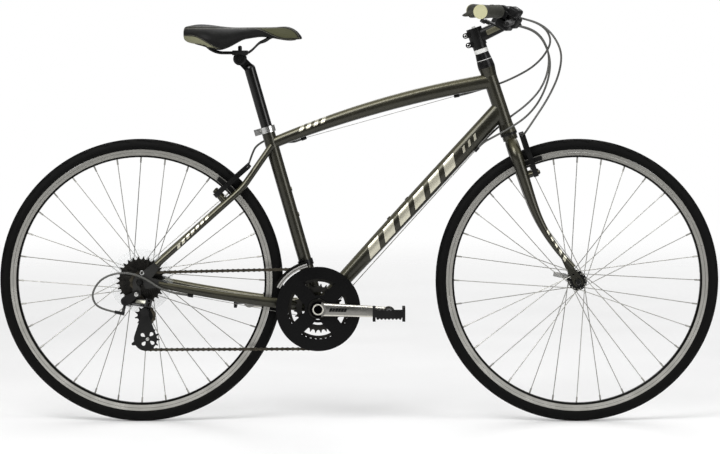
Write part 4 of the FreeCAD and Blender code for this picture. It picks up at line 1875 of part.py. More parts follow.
def derailleur_cage():
    """Return the cage: two plates, pulley bolts and the stub in the knuckle."""
    half = CAGE_INNER_WIDTH / 2
    depth = SIDE * CAGE_PLATE_THICKNESS
    outer, inner = -CHAIN_SIDE - half - CAGE_PLATE_THICKNESS, -CHAIN_SIDE + half
    guide, tension = aside(GUIDE_CENTRE, outer), aside(TENSION_CENTRE, outer)
    belly = tension + polar(CAGE_TURN - 90) * CAGE_BELLY_BEHIND
    tail = tension + polar(CAGE_TURN - CAGE_TAIL_ANGLE) * CAGE_TAIL_REACH
    plates = [bar(aside(CAGE_PIVOT, outer), guide, KNUCKLE_DIAMETER, CAGE_PLATE_DIAMETER, depth),
              bar(guide, belly, CAGE_PLATE_DIAMETER, CAGE_BELLY_DIAMETER, depth),
              bar(belly, tail, CAGE_BELLY_DIAMETER / 2, CAGE_TAIL_DIAMETER, depth),
              bar(aside(guide, inner), aside(tension, inner), CAGE_PLATE_DIAMETER, CAGE_PLATE_DIAMETER, depth)]
    plates = [plate.cut(pulley_windows()) for plate in plates]
    bolts = [rod(aside(centre, outer), aside(centre, inner) + depth, PULLEY_BOLT_DIAMETER)
             for centre in (GUIDE_CENTRE, TENSION_CENTRE)]
    stub = rod(aside(CAGE_PIVOT, outer - KNUCKLE_LENGTH + CAGE_STUB_DIAMETER / 2), aside(CAGE_PIVOT, outer),
               CAGE_STUB_DIAMETER)
    return joined(plates + bolts + [stub])


def pulley_windows():
    """Return the tapered openings round the tension pulley's hub."""
    root = pitch_radius(TENSION_TEETH) - TOOTH_SEAT_DIAMETER / 2
    outer = root - PULLEY_RIM - PULLEY_WINDOW_WIDTH / 2
    inner = (PULLEY_HUB_DIAMETER + PULLEY_WINDOW_TIP) / 2 + PULLEY_RIM
    centre = aside(TENSION_CENTRE, -CHAIN_SIDE - OVERRUN)
    step = 360 / PULLEY_WINDOWS
    windows = []
    for index in range(PULLEY_WINDOWS):
        out = polar(CAGE_TURN + step / 2 + step * index)
        windows.append(bar(centre + out * inner, centre + out * outer, PULLEY_WINDOW_TIP, PULLEY_WINDOW_WIDTH,
                           SIDE * (OVERRUN * 2)))
    return windows


def pulley(centre, teeth, phase):
    """Return one toothed pulley with its hub."""
    plane = aside(centre, -CHAIN_SIDE)
    bore = PULLEY_BOLT_DIAMETER + RUN_FIT * 2
    wheel = sprocket(teeth, plane, phase, bore, PULLEY_THICKNESS)
    half = SIDE * (CAGE_INNER_WIDTH / 2 - FREE_GAP)
    return joined([wheel, sleeve(plane - half, plane + half, PULLEY_HUB_DIAMETER, bore)])


# Front derailleur


def guide_pin_places():
    """Return the inner ends of the two pins that carry the front derailleur's cage."""
    middle = on_seat_tube(BAND_HEIGHT_ALONG, -SEAT_TUBE_DIAMETER / 4)
    half = SEAT_UP * (GUIDE_PIN_SPACING / 2)
    return [aside(middle - half, 0), aside(middle + half, 0)]


def front_derailleur_mount():
    """Return the band round the seat tube with two pins toward the chainrings."""
    low = on_seat_tube(BAND_HEIGHT_ALONG - BAND_HEIGHT / 2)
    high = on_seat_tube(BAND_HEIGHT_ALONG + BAND_HEIGHT / 2)
    tube = rod(low - SEAT_UP * OVERRUN, high + SEAT_UP * OVERRUN, SEAT_TUBE_DIAMETER + SEAT_GAP)
    band = rod(low, high, SEAT_TUBE_DIAMETER + BAND_THICKNESS * 2)
    pins = [rod(point, aside(point, -GUIDE_PIN_END), GUIDE_PIN_DIAMETER) for point in guide_pin_places()]
    plate = bar(aside(guide_pin_places()[0], -SEAT_TUBE_DIAMETER / 2 - BAND_THICKNESS * 2),
                aside(guide_pin_places()[1], -SEAT_TUBE_DIAMETER / 2 - BAND_THICKNESS * 2),
                BAND_HEIGHT, BAND_HEIGHT, SIDE * (BAND_THICKNESS * 3))
    return joined([band, plate] + pins).cut(tube)


def front_derailleur_cage():
    """Return the cage round the chain, on a block that slides on the mount's pins."""
    def plate(side):
        centre = aside(CRANK_CENTRE, side)
        inner, outer = GUIDE_CAGE_INNER_RADIUS, GUIDE_CAGE_OUTER_RADIUS
        middle = (GUIDE_CAGE_START + GUIDE_CAGE_END) / 2
        return slab([centre + polar(GUIDE_CAGE_START) * outer,
                     (centre + polar(middle) * outer, centre + polar(GUIDE_CAGE_END) * outer),
                     centre + polar(GUIDE_CAGE_END) * inner,
                     (centre + polar(middle) * inner, centre + polar(GUIDE_CAGE_START) * inner)],
                    SIDE * GUIDE_PLATE_THICKNESS)
    half = GUIDE_CAGE_WIDTH / 2
    outer_side = -CHAIN_SIDE - half - GUIDE_PLATE_THICKNESS
    shapes = [plate(outer_side), plate(-CHAIN_SIDE + half)]
    span = SIDE * (GUIDE_CAGE_WIDTH + GUIDE_PLATE_THICKNESS * 2)
    centre = aside(CRANK_CENTRE, outer_side)
    for start in (GUIDE_CAGE_START, GUIDE_CAGE_END - GUIDE_BRIDGE_SWEEP):
        low = GUIDE_CAGE_OUTER_RADIUS - GUIDE_PLATE_THICKNESS * 2
        end = start + GUIDE_BRIDGE_SWEEP
        shapes.append(slab([centre + polar(start) * low, centre + polar(start) * GUIDE_CAGE_OUTER_RADIUS,
                            centre + polar(end) * GUIDE_CAGE_OUTER_RADIUS, centre + polar(end) * low], span))
    pins = guide_pin_places()
    block_outer = -CHAIN_SIDE + half + GUIDE_PLATE_THICKNESS
    foot = [aside(point, block_outer - GUIDE_PLATE_THICKNESS) for point in pins]
    shapes.append(bar(foot[0], foot[1], BAND_HEIGHT, BAND_HEIGHT, SIDE * GUIDE_BLOCK_LENGTH))
    link_end = aside(CRANK_CENTRE, foot[0].y) + polar(GUIDE_CAGE_START + GUIDE_BRIDGE_SWEEP * 2) * (
        (GUIDE_CAGE_INNER_RADIUS + GUIDE_CAGE_OUTER_RADIUS) / 2)
    shapes.append(bar(foot[0], link_end, BAND_HEIGHT, BAND_HEIGHT, SIDE * (GUIDE_PLATE_THICKNESS * 2)))
    holes = [rod(aside(point, 0), aside(point, -CHAIN_SIDE), GUIDE_PIN_DIAMETER + RUN_FIT * 2)
             for point in pins]
    return joined(shapes).cut(holes)


# Rim brakes


def front_brake_place():
    """Return the front brake: wheel centre, boss foot, boss axis, arm direction and pad radius."""
    radius = RIM_RADIUS - PAD_BELOW_RIM
    ahead = BOSS_LENGTH + ARM_THICKNESS / 2
    pad_height = math.sqrt(radius ** 2 - (FORK_RAKE - ahead) ** 2)
    foot = on_steerer(pad_height - BOSS_BELOW_PAD, 0, -BOSS_SIDE)
    return FRONT_AXLE, foot, STEER_AHEAD, STEER_UP, radius


def rear_brake_place():
    """Return the rear brake in the same form as the front one."""
    radius = RIM_RADIUS - PAD_BELOW_RIM
    along = unit(aside(SEATSTAY_BEND, 0) - aside(SEATSTAY_FOOT, 0))
    back = V(-along.z, 0, along.x)
    start = aside(SEATSTAY_FOOT, 0)
    offset = (start - REAR_AXLE).dot(back) + BOSS_LENGTH + ARM_THICKNESS / 2
    reach = math.sqrt(radius ** 2 - offset ** 2) - BOSS_BELOW_PAD - (start - REAR_AXLE).dot(along)
    foot = aside(start + along * reach, -BOSS_SIDE)
    return REAR_AXLE, foot, back, along, radius


def brake_boss(place):
    """Return the right brake boss with its pivot post and bolt head."""
    _, foot, axis, _, _ = place
    seat = foot + axis * BOSS_LENGTH
    end = seat + axis * POST_LENGTH
    return joined([rod(foot + axis * BOSS_START, seat - axis * FREE_GAP, BOSS_DIAMETER),
                   rod(foot, end, POST_DIAMETER),
                   rod(seat + axis * (ARM_THICKNESS + FREE_GAP), seat + axis * (ARM_THICKNESS + POST_BOLT_HEAD),
                       POST_BOLT_DIAMETER)])


def brake_arm_top(place):
    """Return the middle of the right arm's cable end."""
    _, foot, axis, up, _ = place
    return foot + axis * (BOSS_LENGTH + ARM_THICKNESS / 2) + up * (ARM_LENGTH - ARM_TOP_DIAMETER / 2)


def brake_arm(place):
    """Return the right brake arm with its curved pad, stud and nut."""
    centre, foot, axis, up, radius = place
    out = -SIDE
    seat = foot + axis * BOSS_LENGTH
    depth = axis * ARM_THICKNESS
    knee = seat + up * ARM_KNEE_UP + out * ARM_KNEE_OUT
    top = seat + up * (ARM_LENGTH - ARM_TOP_DIAMETER / 2)
    lower = bar(seat, knee, ARM_EYE_DIAMETER, ARM_KNEE_DIAMETER, depth)
    upper = bar(knee, top, ARM_KNEE_DIAMETER, ARM_TOP_DIAMETER, depth)
    pivot_bore = rod(seat - axis * OVERRUN, seat + axis * OVERRUN * 2, POST_DIAMETER + RUN_FIT * 2)
    stud_at = seat + axis * (ARM_THICKNESS / 2) + up * BOSS_BELOW_PAD
    pad_inner = RIM_WIDTH / 2 + PAD_GAP
    pad_outer = pad_inner + PAD_THICKNESS
    arm_outer = BOSS_SIDE + ARM_KNEE_OUT + ARM_KNEE_DIAMETER / 2
    stud = rod(aside(stud_at, -arm_outer), aside(stud_at, -pad_outer + PAD_THICKNESS / 2), PAD_STUD_DIAMETER)
    nut = rod(aside(stud_at, -arm_outer - PAD_NUT_LENGTH), aside(stud_at, -arm_outer + PAD_NUT_LENGTH / 2),
              PAD_NUT_DIAMETER)
    low, high = radius - PAD_HEIGHT / 2, radius + PAD_HEIGHT / 2
    heading = unit(stud_at - aside(centre, stud_at.y))
    pad = turned([(low, -pad_outer), (high, -pad_outer), (high, -pad_inner), (low, -pad_inner)],
                 centre, SIDE, heading, PAD_ANGLE)
    pad.rotate(centre, SIDE, -PAD_ANGLE / 2)
    noodle = brake_arm_top(place)
    noodle_hole = rod(noodle - SIDE * OVERRUN, noodle + SIDE * OVERRUN, NOODLE_DIAMETER + FREE_GAP)
    return joined([lower, upper, stud, nut, pad]).cut([pivot_bore, noodle_hole])


# Cables


def noodle_points(place, approach):
    """Return the brake pipe's points: down from the approach, then inward through the right arm."""
    top = brake_arm_top(place)
    corner = top - SIDE * (ARM_TOP_DIAMETER / 2 + NOODLE_RUN)
    return [corner + unit(approach - corner) * NOODLE_RISE, corner, aside(top, pipe_end_side(place))]


def pipe_end_side(place):
    """Return how far from the middle plane the right brake pipe ends."""
    return brake_arm_top(place).y + (ARM_TOP_DIAMETER + NOODLE_RUN) / 2


def brake_bridge_wire(place):
    """Return the bare wire from the right arm's pipe to the left arm."""
    top = brake_arm_top(place)
    return rod(aside(top, pipe_end_side(place)), aside(top, -top.y + ARM_TOP_DIAMETER), WIRE_DIAMETER)


def free_points(route):
    """Return a route's points as vectors."""
    return [V(x, y, z) for x, y, z in route]


def brake_barrel_end():
    """Return the inner end of the right lever's cable barrel."""
    return at_control(-BRACKET_INNER - BARREL_LENGTH, LEVER_PIVOT_REACH - BARREL_DIAMETER / 2, 0)


def shift_barrel_end():
    """Return the inner end of the right shifter's cable barrel."""
    return at_control(-POD_INNER - BARREL_LENGTH / 2, POD_BARREL_REACH, -POD_TOP - POD_DEPTH / 2)


def lead(point, side):
    """Return a barrel's end on one side of the bike and the point ahead of it on its axis."""
    along = V(-GRIP_OUT.x, side * GRIP_OUT.y, 0)
    start = aside(point, -side * point.y)
    return [start, start + along * CABLE_LEAD]


def front_brake_cable():
    """Return the front brake's housing from the left lever, its pipe and the wire between the arms."""
    place = front_brake_place()
    pipe = noodle_points(place, V(*FRONT_BRAKE_APPROACH))
    points = lead(brake_barrel_end(), 1) + free_points(FRONT_BRAKE_ROUTE) + pipe
    return together([cord(points, HOUSING_DIAMETER), brake_bridge_wire(place)])


def top_heading(share):
    """Return the arched top tube's direction at a share of its length."""
    length = (TOP_TUBE_FRONT - TOP_TUBE_REAR).Length
    return unit(TOP_TUBE_ALONG * length + TOP_TUBE_UP * (TOP_TUBE_ARCH * 4 * (1 - 2 * share)))


def top_stop(share):
    """Return the two ends of a cable stop under the top tube."""
    heading = top_heading(share)
    up = V(-heading.z, 0, heading.x)
    centre = blend(TOP_TUBE_REAR, TOP_TUBE_FRONT, share)
    centre = centre + TOP_TUBE_UP * (TOP_TUBE_ARCH * 4 * share * (1 - share))
    drop = tube_floor(TOP_TUBE_SIZES, share, TOP_CABLE_SIDE) + STOP_DIAMETER / 2 - STOP_SINK
    return stop_ends(centre - up * drop + SIDE * TOP_CABLE_SIDE, heading)


def down_stop(side):
    """Return the two ends of a cable stop under the down tube."""
    centre = blend(CRANK_CENTRE, DOWN_TUBE_FRONT, DOWN_STOP_SHARE)
    drop = tube_floor(DOWN_TUBE_SIZES, DOWN_STOP_SHARE, DOWN_CABLE_SIDE) + STOP_DIAMETER / 2 - STOP_SINK
    return stop_ends(centre - DOWN_TUBE_UP * drop + SIDE * (side * DOWN_CABLE_SIDE), DOWN_TUBE_ALONG)


def stay_heading():
    """Return the right chainstay's direction, front to rear."""
    return unit(chainstay_centre(1) - chainstay_centre(STAY_STOP_SHARE))


def stay_stop():
    """Return the middle of the cable stop under the right chainstay."""
    height = blend(CHAINSTAY_FRONT_HEIGHT, CHAINSTAY_REAR_DIAMETER, STAY_STOP_SHARE)
    return chainstay_centre(STAY_STOP_SHARE) - V(0, 0, 1) * ((height + STOP_DIAMETER) / 2 - STOP_SINK)


def stop_ends(middle, along):
    """Return the two end points of a cable stop."""
    half = along * (STOP_LENGTH / 2)
    return middle - half, middle + half


def shell_points(corners, sides):
    """Return wire corners round the bottom bracket shell from angles, radii and sides."""
    return [aside(CRANK_CENTRE + polar(angle) * radius, side) for (angle, radius), side in zip(corners, sides)]


def steering_cables():
    """Return the three housings that cross from the bar to the frame's stops."""
    runs = ((lead(brake_barrel_end(), -1) + free_points(REAR_BRAKE_ROUTE), top_stop(TOP_STOP_FRONT_SHARE)),
            (lead(shift_barrel_end(), 1) + free_points(LEFT_SHIFT_ROUTE), down_stop(1)),
            (lead(shift_barrel_end(), -1) + free_points(RIGHT_SHIFT_ROUTE), down_stop(-1)))
    housings = []
    for points, (rear, front) in runs:
        housings.append(cord(points + [front + unit(front - rear) * STOP_LEAD, front], HOUSING_DIAMETER))
    return together(housings)


def frame_cables():
    """Return the stops, wires and housings that stay on the frame."""
    front_stop, rear_stop = top_stop(TOP_STOP_FRONT_SHARE), top_stop(TOP_STOP_REAR_SHARE)
    left_stop, right_stop = down_stop(1), down_stop(-1)
    gear_stop = stop_ends(stay_stop(), stay_heading())
    seats = ((front_stop, top_tube()), (rear_stop, top_tube()), (left_stop, down_tube()),
             (right_stop, down_tube()), (gear_stop, chainstays()))
    stops = [main_solid(rod(ends[0], ends[1], STOP_DIAMETER).cut(tube)) for ends, tube in seats]
    half = CABLE_GUIDE_WIDTH / 2
    inner, outer = SHELL_DIAMETER / 2 + SEAT_GAP, CABLE_GUIDE_DIAMETER / 2
    guide = turned([(inner, -half), (outer, -half), (outer, half), (inner, half)], CRANK_CENTRE, SIDE,
                   polar(CABLE_GUIDE_START), CABLE_GUIDE_SWEEP)
    brake_wire = rod(rear_stop[1], front_stop[0], WIRE_DIAMETER)
    gear_sides = (-DOWN_CABLE_SIDE, -DOWN_CABLE_SIDE)
    gear_wire = cord([right_stop[0]] + shell_points(SHELL_CORNERS, gear_sides) + [gear_stop[0]], WIRE_DIAMETER)
    anchor = guide_pin_places()[0] - SEAT_UP * (BAND_HEIGHT / 2 + SEAT_GAP)
    anchor = aside(anchor, -SEAT_TUBE_DIAMETER / 2 - BAND_THICKNESS)
    guide_wire = cord([left_stop[0]] + shell_points(GUIDE_WIRE_CORNERS, GUIDE_WIRE_SIDES) + [anchor],
                      WIRE_DIAMETER)
    place = rear_brake_place()
    pipe = [aside(point, -point.y) for point in noodle_points(place, V(*SEAT_TUBE_APPROACH))]
    brake_start = [rear_stop[0], rear_stop[0] + unit(rear_stop[0] - rear_stop[1]) * STOP_LEAD]
    brake_housing = cord(brake_start + free_points(SEAT_TUBE_ROUTE) + pipe, HOUSING_DIAMETER)
    barrel, back = gear_barrel_end()
    loop = [gear_stop[1]] + free_points(GEAR_LOOP_ROUTE) + [barrel + back * CABLE_LEAD, barrel]
    gear_housing = cord(loop, HOUSING_DIAMETER)
    bridge = mirrored(brake_bridge_wire(place))
    return together(stops + [guide, brake_wire, gear_wire, guide_wire, brake_housing, gear_housing, bridge])


def saddle_frame():
    """Return the saddle's base, rails and clamp."""
    return together([saddle_base()] + rails() + [saddle_clamp()])


def front_hub():
    """Return the front hub shell."""
    end = FRONT_OVER_LOCKNUT / 2 - CONE_LENGTH - FREE_GAP
    return hub(FRONT_AXLE, FRONT_HOLE_CIRCLE, -FRONT_FLANGE_OFFSET, FRONT_FLANGE_OFFSET, -end, end)


def rear_hub():
    """Return the rear hub shell, short on the sprocket side."""
    cassette_end = CHAIN_SIDE - SPROCKET_PITCH * (len(SPROCKET_TEETH) - 1) - SPROCKET_THICKNESS / 2
    left = REAR_OVER_LOCKNUT / 2 - CONE_LENGTH - FREE_GAP
    return hub(REAR_AXLE, REAR_HOLE_CIRCLE, -REAR_FLANGE_RIGHT, REAR_FLANGE_LEFT, FREE_GAP - cassette_end, left)


FRONT_END = (FRONT_AXLE, FRONT_OVER_LOCKNUT / 2, FORK_END_THICKNESS, FRONT_RELEASE_ANGLE)
REAR_END = (REAR_AXLE, REAR_OVER_LOCKNUT / 2, DROPOUT_THICKNESS, REAR_RELEASE_ANGLE)

NODES = {
    "head_tube": head_tube,
    "top_tube": top_tube,
    "down_tube": down_tube,
    "seat_tube": seat_tube,
    "bottom_bracket_shell": bottom_bracket_shell,
    "chainstays": chainstays,
    "seatstays": seatstays,
    "dropouts": dropouts,
    "bearing_cups": bearing_cups,
    "seat_clamp": seat_clamp,
    "rear_axle": lambda: axle(*REAR_END),
    "front_derailleur_mount": front_derailleur_mount,
    "frame_cables": frame_cables,
    "chain": chain,
    "seat_post": seat_post,
    "saddle_cover": saddle_cover,
    "saddle_frame": saddle_frame,
    "fork_crown": fork_crown,
    "fork_blades": fork_blades,
    "headset_cover": headset_cover,
    "stem": stem,
    "handlebar": handlebar,
    "grips": grips,
    "control_brackets": control_brackets,
    "front_axle": lambda: axle(*FRONT_END),
    "front_brake_cable": front_brake_cable,
    "steering_cables": steering_cables,
    "front_tyre": lambda: tyre(FRONT_AXLE),
    "front_rim": lambda: rim(FRONT_AXLE),
    "front_spokes": lambda: spokes(FRONT_AXLE, FRONT_HOLE_CIRCLE, (-FRONT_FLANGE_OFFSET, FRONT_FLANGE_OFFSET)),
    "front_hub": front_hub,
    "rear_tyre": lambda: tyre(REAR_AXLE),
    "rear_rim": lambda: rim(REAR_AXLE),
    "rear_spokes": lambda: spokes(REAR_AXLE, REAR_HOLE_CIRCLE, (-REAR_FLANGE_RIGHT, REAR_FLANGE_LEFT)),
    "rear_hub": rear_hub,
    "spoke_protector": spoke_protector,
    "cassette": cassette,
    "crank_arms": crank_arms,
    "chainrings": chainrings,
    "chain_guard": chain_guard,
    "pedal_right": lambda: pedal(-1),
    "pedal_left": lambda: pedal(1),
    "brake_lever_right": brake_lever,
    "brake_lever_left": lambda: mirrored(brake_lever()),
    "shift_lever_right": shift_lever,
    "shift_lever_left": lambda: mirrored(shift_lever()),
    "front_brake_arm_right": lambda: brake_arm(front_brake_place()),
    "front_brake_arm_left": lambda: mirrored(brake_arm(front_brake_place())),
    "rear_brake_arm_right": lambda: brake_arm(rear_brake_place()),
    "rear_brake_arm_left": lambda: mirrored(brake_arm(rear_brake_place())),
    "derailleur_bracket": derailleur_bracket,
    "derailleur_outer_link": lambda: gear_link(0),
    "derailleur_inner_link": lambda: gear_link(1),
    "derailleur_knuckle": derailleur_knuckle,
    "derailleur_cage": derailleur_cage,
    "guide_pulley": lambda: pulley(GUIDE_CENTRE, GUIDE_TEETH, GUIDE_PHASE),
    "tension_pulley": lambda: pulley(TENSION_CENTRE, TENSION_TEETH, TENSION_PHASE).cut(pulley_windows()),
    "front_derailleur_cage": front_derailleur_cage,
    "front_release_lever": lambda: release_lever(*FRONT_END),
    "rear_release_lever": lambda: release_lever(*REAR_END),
}


def main():
    """Build and export every node."""
    os.makedirs("parts", exist_ok=True)
    for name, make in NODES.items():
        make().exportStep("parts/" + name + ".step")


if __name__ == "__main__":
    main()
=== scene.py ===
"""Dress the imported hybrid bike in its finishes, soft parts, cable housings and small trim."""
import logging
import math
from dataclasses import dataclass, field
from enum import Enum
from typing import Callable, Optional, Sequence, Union

import bmesh
import bpy
from mathutils import Matrix, Vector


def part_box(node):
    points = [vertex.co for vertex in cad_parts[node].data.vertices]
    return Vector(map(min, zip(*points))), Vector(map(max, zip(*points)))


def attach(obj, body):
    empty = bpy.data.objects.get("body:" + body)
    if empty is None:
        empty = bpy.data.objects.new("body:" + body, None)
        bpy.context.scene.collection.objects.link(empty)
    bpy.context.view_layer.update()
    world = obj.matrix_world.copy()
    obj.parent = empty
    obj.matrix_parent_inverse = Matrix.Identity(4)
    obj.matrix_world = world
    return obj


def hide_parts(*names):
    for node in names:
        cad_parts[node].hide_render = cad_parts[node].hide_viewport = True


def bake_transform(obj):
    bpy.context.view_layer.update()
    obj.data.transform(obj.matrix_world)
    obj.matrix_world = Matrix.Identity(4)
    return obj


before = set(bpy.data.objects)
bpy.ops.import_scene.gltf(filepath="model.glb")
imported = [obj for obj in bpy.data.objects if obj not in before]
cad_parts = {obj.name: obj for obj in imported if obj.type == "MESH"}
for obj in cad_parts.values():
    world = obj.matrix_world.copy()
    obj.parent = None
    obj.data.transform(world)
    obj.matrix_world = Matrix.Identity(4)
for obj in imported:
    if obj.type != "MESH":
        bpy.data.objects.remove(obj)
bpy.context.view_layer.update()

log = logging.getLogger("hybrid_bike")

Colour = tuple[float, float, float]
Point = tuple[float, float, float]
Span = tuple[float, float]
Socket = bpy.types.NodeSocket
Outputs = bpy.types.NodeOutputs
Value = Union[float, Sequence[float], Socket]

WHEEL_HALF_BASE = 0.528
AXLE_HEIGHT = 0.343
REAR_AXLE: Point = (-WHEEL_HALF_BASE, 0.0, AXLE_HEIGHT)
FRONT_AXLE: Point = (WHEEL_HALF_BASE, 0.0, AXLE_HEIGHT)
CRANK_CENTRE: Point = (-0.099, 0.0, 0.278)
SIDEWAYS: Point = (0.0, 1.0, 0.0)
UPWARD: Point = (0.0, 0.0, 1.0)
SIDES: Sequence[tuple[float, str]] = ((-1.0, "right"), (1.0, "left"))
HEAD_ANGLE = math.radians(71.5)
STEERER_UP: Point = (-math.cos(HEAD_ANGLE), 0.0, math.sin(HEAD_ANGLE))
STEERER_AHEAD: Point = (math.sin(HEAD_ANGLE), 0.0, math.cos(HEAD_ANGLE))
BAR_SWEEP = math.radians(21.0)
DUST_GREY: Colour = (0.34, 0.32, 0.28)
MERGE_DISTANCE = 1e-6


# Shader nodes


class Sheet:
    """A node tree with short calls that add and join nodes."""

    def __init__(self, tree: bpy.types.NodeTree) -> None:
        """Keep the tree that the calls work on."""
        self.tree = tree

    def feed(self, socket: Socket, value: Value) -> None:
        """Link a socket or set its own value.

        Args:
            socket: The input that is fed.
            value: Another socket, a number, a vector or a colour.
        """
        if isinstance(value, Socket):
            self.tree.links.new(value, socket)
        elif socket.type == "RGBA" and len(value) == 3:
            socket.default_value = (*value, 1.0)
        else:
            socket.default_value = value

    def add(self, kind: str, feeds: Optional[dict] = None, **settings: object) -> bpy.types.Node:
        """Add a shader node.

        Args:
            kind: The node's type without its usual prefix.
            feeds: Values or sockets for its inputs, by name or number.
            settings: Properties of the node.

        Returns:
            The new node.
        """
        node = self.tree.nodes.new("ShaderNode" + kind)
        for name, value in settings.items():
            setattr(node, name, value)
        for name, value in (feeds or {}).items():
            self.feed(node.inputs[name], value)
        return node

    def math(self, operation: str, *values: Value) -> Socket:
        """Return the result of a math node on one, two or three values."""
        node = self.add("Math", operation=operation)
        for socket, value in zip(node.inputs, values):
            self.feed(socket, value)
        return node.outputs[0]

    def times(self, first: Value, second: Value) -> Socket:
        """Return the product of two values."""
        return self.math("MULTIPLY", first, second)

    def plus(self, first: Value, second: Value) -> Socket:
        """Return the sum of two values."""
        return self.math("ADD", first, second)

    def minus(self, first: Value, second: Value) -> Socket:
        """Return the first value less the second."""
        return self.math("SUBTRACT", first, second)

    def over(self, value: Value, limit: Value) -> Socket:
        """Return 1 where a value is above a limit."""
        return self.math("GREATER_THAN", value, limit)

    def under(self, value: Value, limit: Value) -> Socket:
        """Return 1 where a value is below a limit."""
        return self.math("LESS_THAN", value, limit)

    def within(self, value: Value, low: Value, high: Value) -> Socket:
        """Return 1 where a value lies between two limits."""
        return self.times(self.over(value, low), self.under(value, high))

    def reach(self, first: Socket, second: Socket) -> Socket:
        """Return the distance that two ways at right angles make."""
        return self.math("SQRT", self.math("MULTIPLY_ADD", first, first, self.times(second, second)))

    def split(self, vector: Value) -> Outputs:
        """Return a vector's three parts."""
        return self.add("SeparateXYZ", {0: vector}).outputs

    def offset(self, place: Value, origin: Value) -> Socket:
        """Return the way from an origin to a place."""
        return self.add("VectorMath", {0: place, 1: origin}, operation="SUBTRACT").outputs[0]

    def facing(self, direction: Point) -> Socket:
        """Return how far the surface looks in a direction."""
        return self.dot(self.add("NewGeometry").outputs["Normal"], direction)

    def dot(self, first: Value, second: Value) -> Socket:
        """Return the dot product of two vectors."""
        node = self.add("VectorMath", {0: first, 1: second}, operation="DOT_PRODUCT")
        return node.outputs["Value"]

    def step(self, value: Value, low: Value, high: Value) -> Socket:
        """Return a smooth rise from 0 at low to 1 at high."""
        node = self.add("MapRange", {"Value": value, "From Min": low, "From Max": high},
                        interpolation_type="SMOOTHSTEP")
        return node.outputs["Result"]

    def mix(self, share: Value, first: Value, second: Value) -> Socket:
        """Return a blend of two colours."""
        node = self.add("Mix", {0: share, 6: first, 7: second}, data_type="RGBA")
        return node.outputs[2]

    def noise(self, place: Value, scale: Value, detail: float = 3.0) -> Socket:
        """Return a noise value around one half."""
        node = self.add("TexNoise", {"Vector": place, "Scale": scale, "Detail": detail})
        return node.outputs[0]

    def effect(self, effect: "Effect", feeds: dict) -> bpy.types.Node:
        """Place one of the shared effect groups.

        Args:
            effect: Which group to place.
            feeds: Values or sockets for its inputs.

        Returns:
            The group node.
        """
        return self.add("Group", feeds, node_tree=effect_group(effect))


class Effect(Enum):
    """The effects that several finishes share."""

    MOTTLE = "cloudy tone"
    GRAIN = "fine grain"
    SCUFFS = "handling scuffs"
    DUST = "settled dust"
    RINGS = "wheel rings"
    AXLE = "distance from an axle"
    BARS = "slanted bars"


EFFECT_SOCKETS: dict[Effect, tuple[dict[str, str], dict[str, str]]] = {
    Effect.MOTTLE: ({"Vector": "Vector", "Scale": "Float", "Base": "Color", "Tint": "Color",
                     "Smooth": "Float", "Rough": "Float"}, {"Color": "Color", "Roughness": "Float"}),
    Effect.GRAIN: ({"Vector": "Vector", "Scale": "Float", "Cells": "Float"}, {"Height": "Float"}),
    Effect.SCUFFS: ({"Vector": "Vector", "Scale": "Float", "Amount": "Float"}, {"Mask": "Float"}),
    Effect.DUST: ({"Vector": "Vector", "Amount": "Float"}, {"Mask": "Float"}),
    Effect.RINGS: ({"Vector": "Vector"}, {"Radius": "Float"}),
    Effect.AXLE: ({"Vector": "Vector", "Centre": "Vector"}, {"Offset": "Vector", "Radius": "Float"}),
    Effect.BARS: ({"Vector": "Vector", "Origin": "Vector", "Along": "Vector", "Across": "Vector",
                   "Pitch": "Float", "Count": "Float", "Fill": "Float", "Half Height": "Float",
                   "Slant": "Float"},
                  {"Mask": "Float", "Edge": "Float"}),
}


def effect_group(effect: Effect) -> bpy.types.NodeTree:
    """Return a shared effect's node group, built at its first use.

    Args:
        effect: The effect that is wanted.

    Returns:
        The group's node tree.
    """
    found = bpy.data.node_groups.get(effect.value)
    if found:
        return found
    tree = bpy.data.node_groups.new(effect.value, "ShaderNodeTree")
    inputs, outputs = EFFECT_SOCKETS[effect]
    for sockets, way in ((inputs, "INPUT"), (outputs, "OUTPUT")):
        for name, kind in sockets.items():
            tree.interface.new_socket(name, in_out=way, socket_type="NodeSocket" + kind)
    sheet = Sheet(tree)
    given = tree.nodes.new("NodeGroupInput").outputs
    results = EFFECT_BUILDERS[effect](sheet, given)
    output = tree.nodes.new("NodeGroupOutput")
    for name, result in results.items():
        sheet.feed(output.inputs[name], result)
    return tree


def build_mottle(sheet: Sheet, given: Outputs) -> dict[str, Socket]:
    """Return a colour and a roughness that drift slowly over the surface."""
    broad = sheet.step(sheet.noise(given["Vector"], given["Scale"], 4.0), 0.32, 0.68)
    fine = sheet.noise(given["Vector"], sheet.times(given["Scale"], 9.0), 2.0)
    drift = sheet.plus(sheet.times(broad, 0.7), sheet.times(fine, 0.3))
    spread = sheet.minus(given["Rough"], given["Smooth"])
    return {"Color": sheet.mix(drift, given["Base"], given["Tint"]),
            "Roughness": sheet.math("MULTIPLY_ADD", drift, spread, given["Smooth"])}


def build_grain(sheet: Sheet, given: Outputs) -> dict[str, Socket]:
    """Return a height of fine noise, crossed with pebble cells as far as Cells says."""
    fine = sheet.noise(given["Vector"], given["Scale"], 3.0)
    cells = sheet.add("TexVoronoi", {"Vector": given["Vector"], "Scale": given["Scale"]}, feature="SMOOTH_F1")
    pebble = sheet.minus(1.0, cells.outputs["Distance"])
    share = given["Cells"]
    kept = sheet.times(fine, sheet.minus(1.0, share))
    return {"Height": sheet.math("MULTIPLY_ADD", pebble, share, kept)}


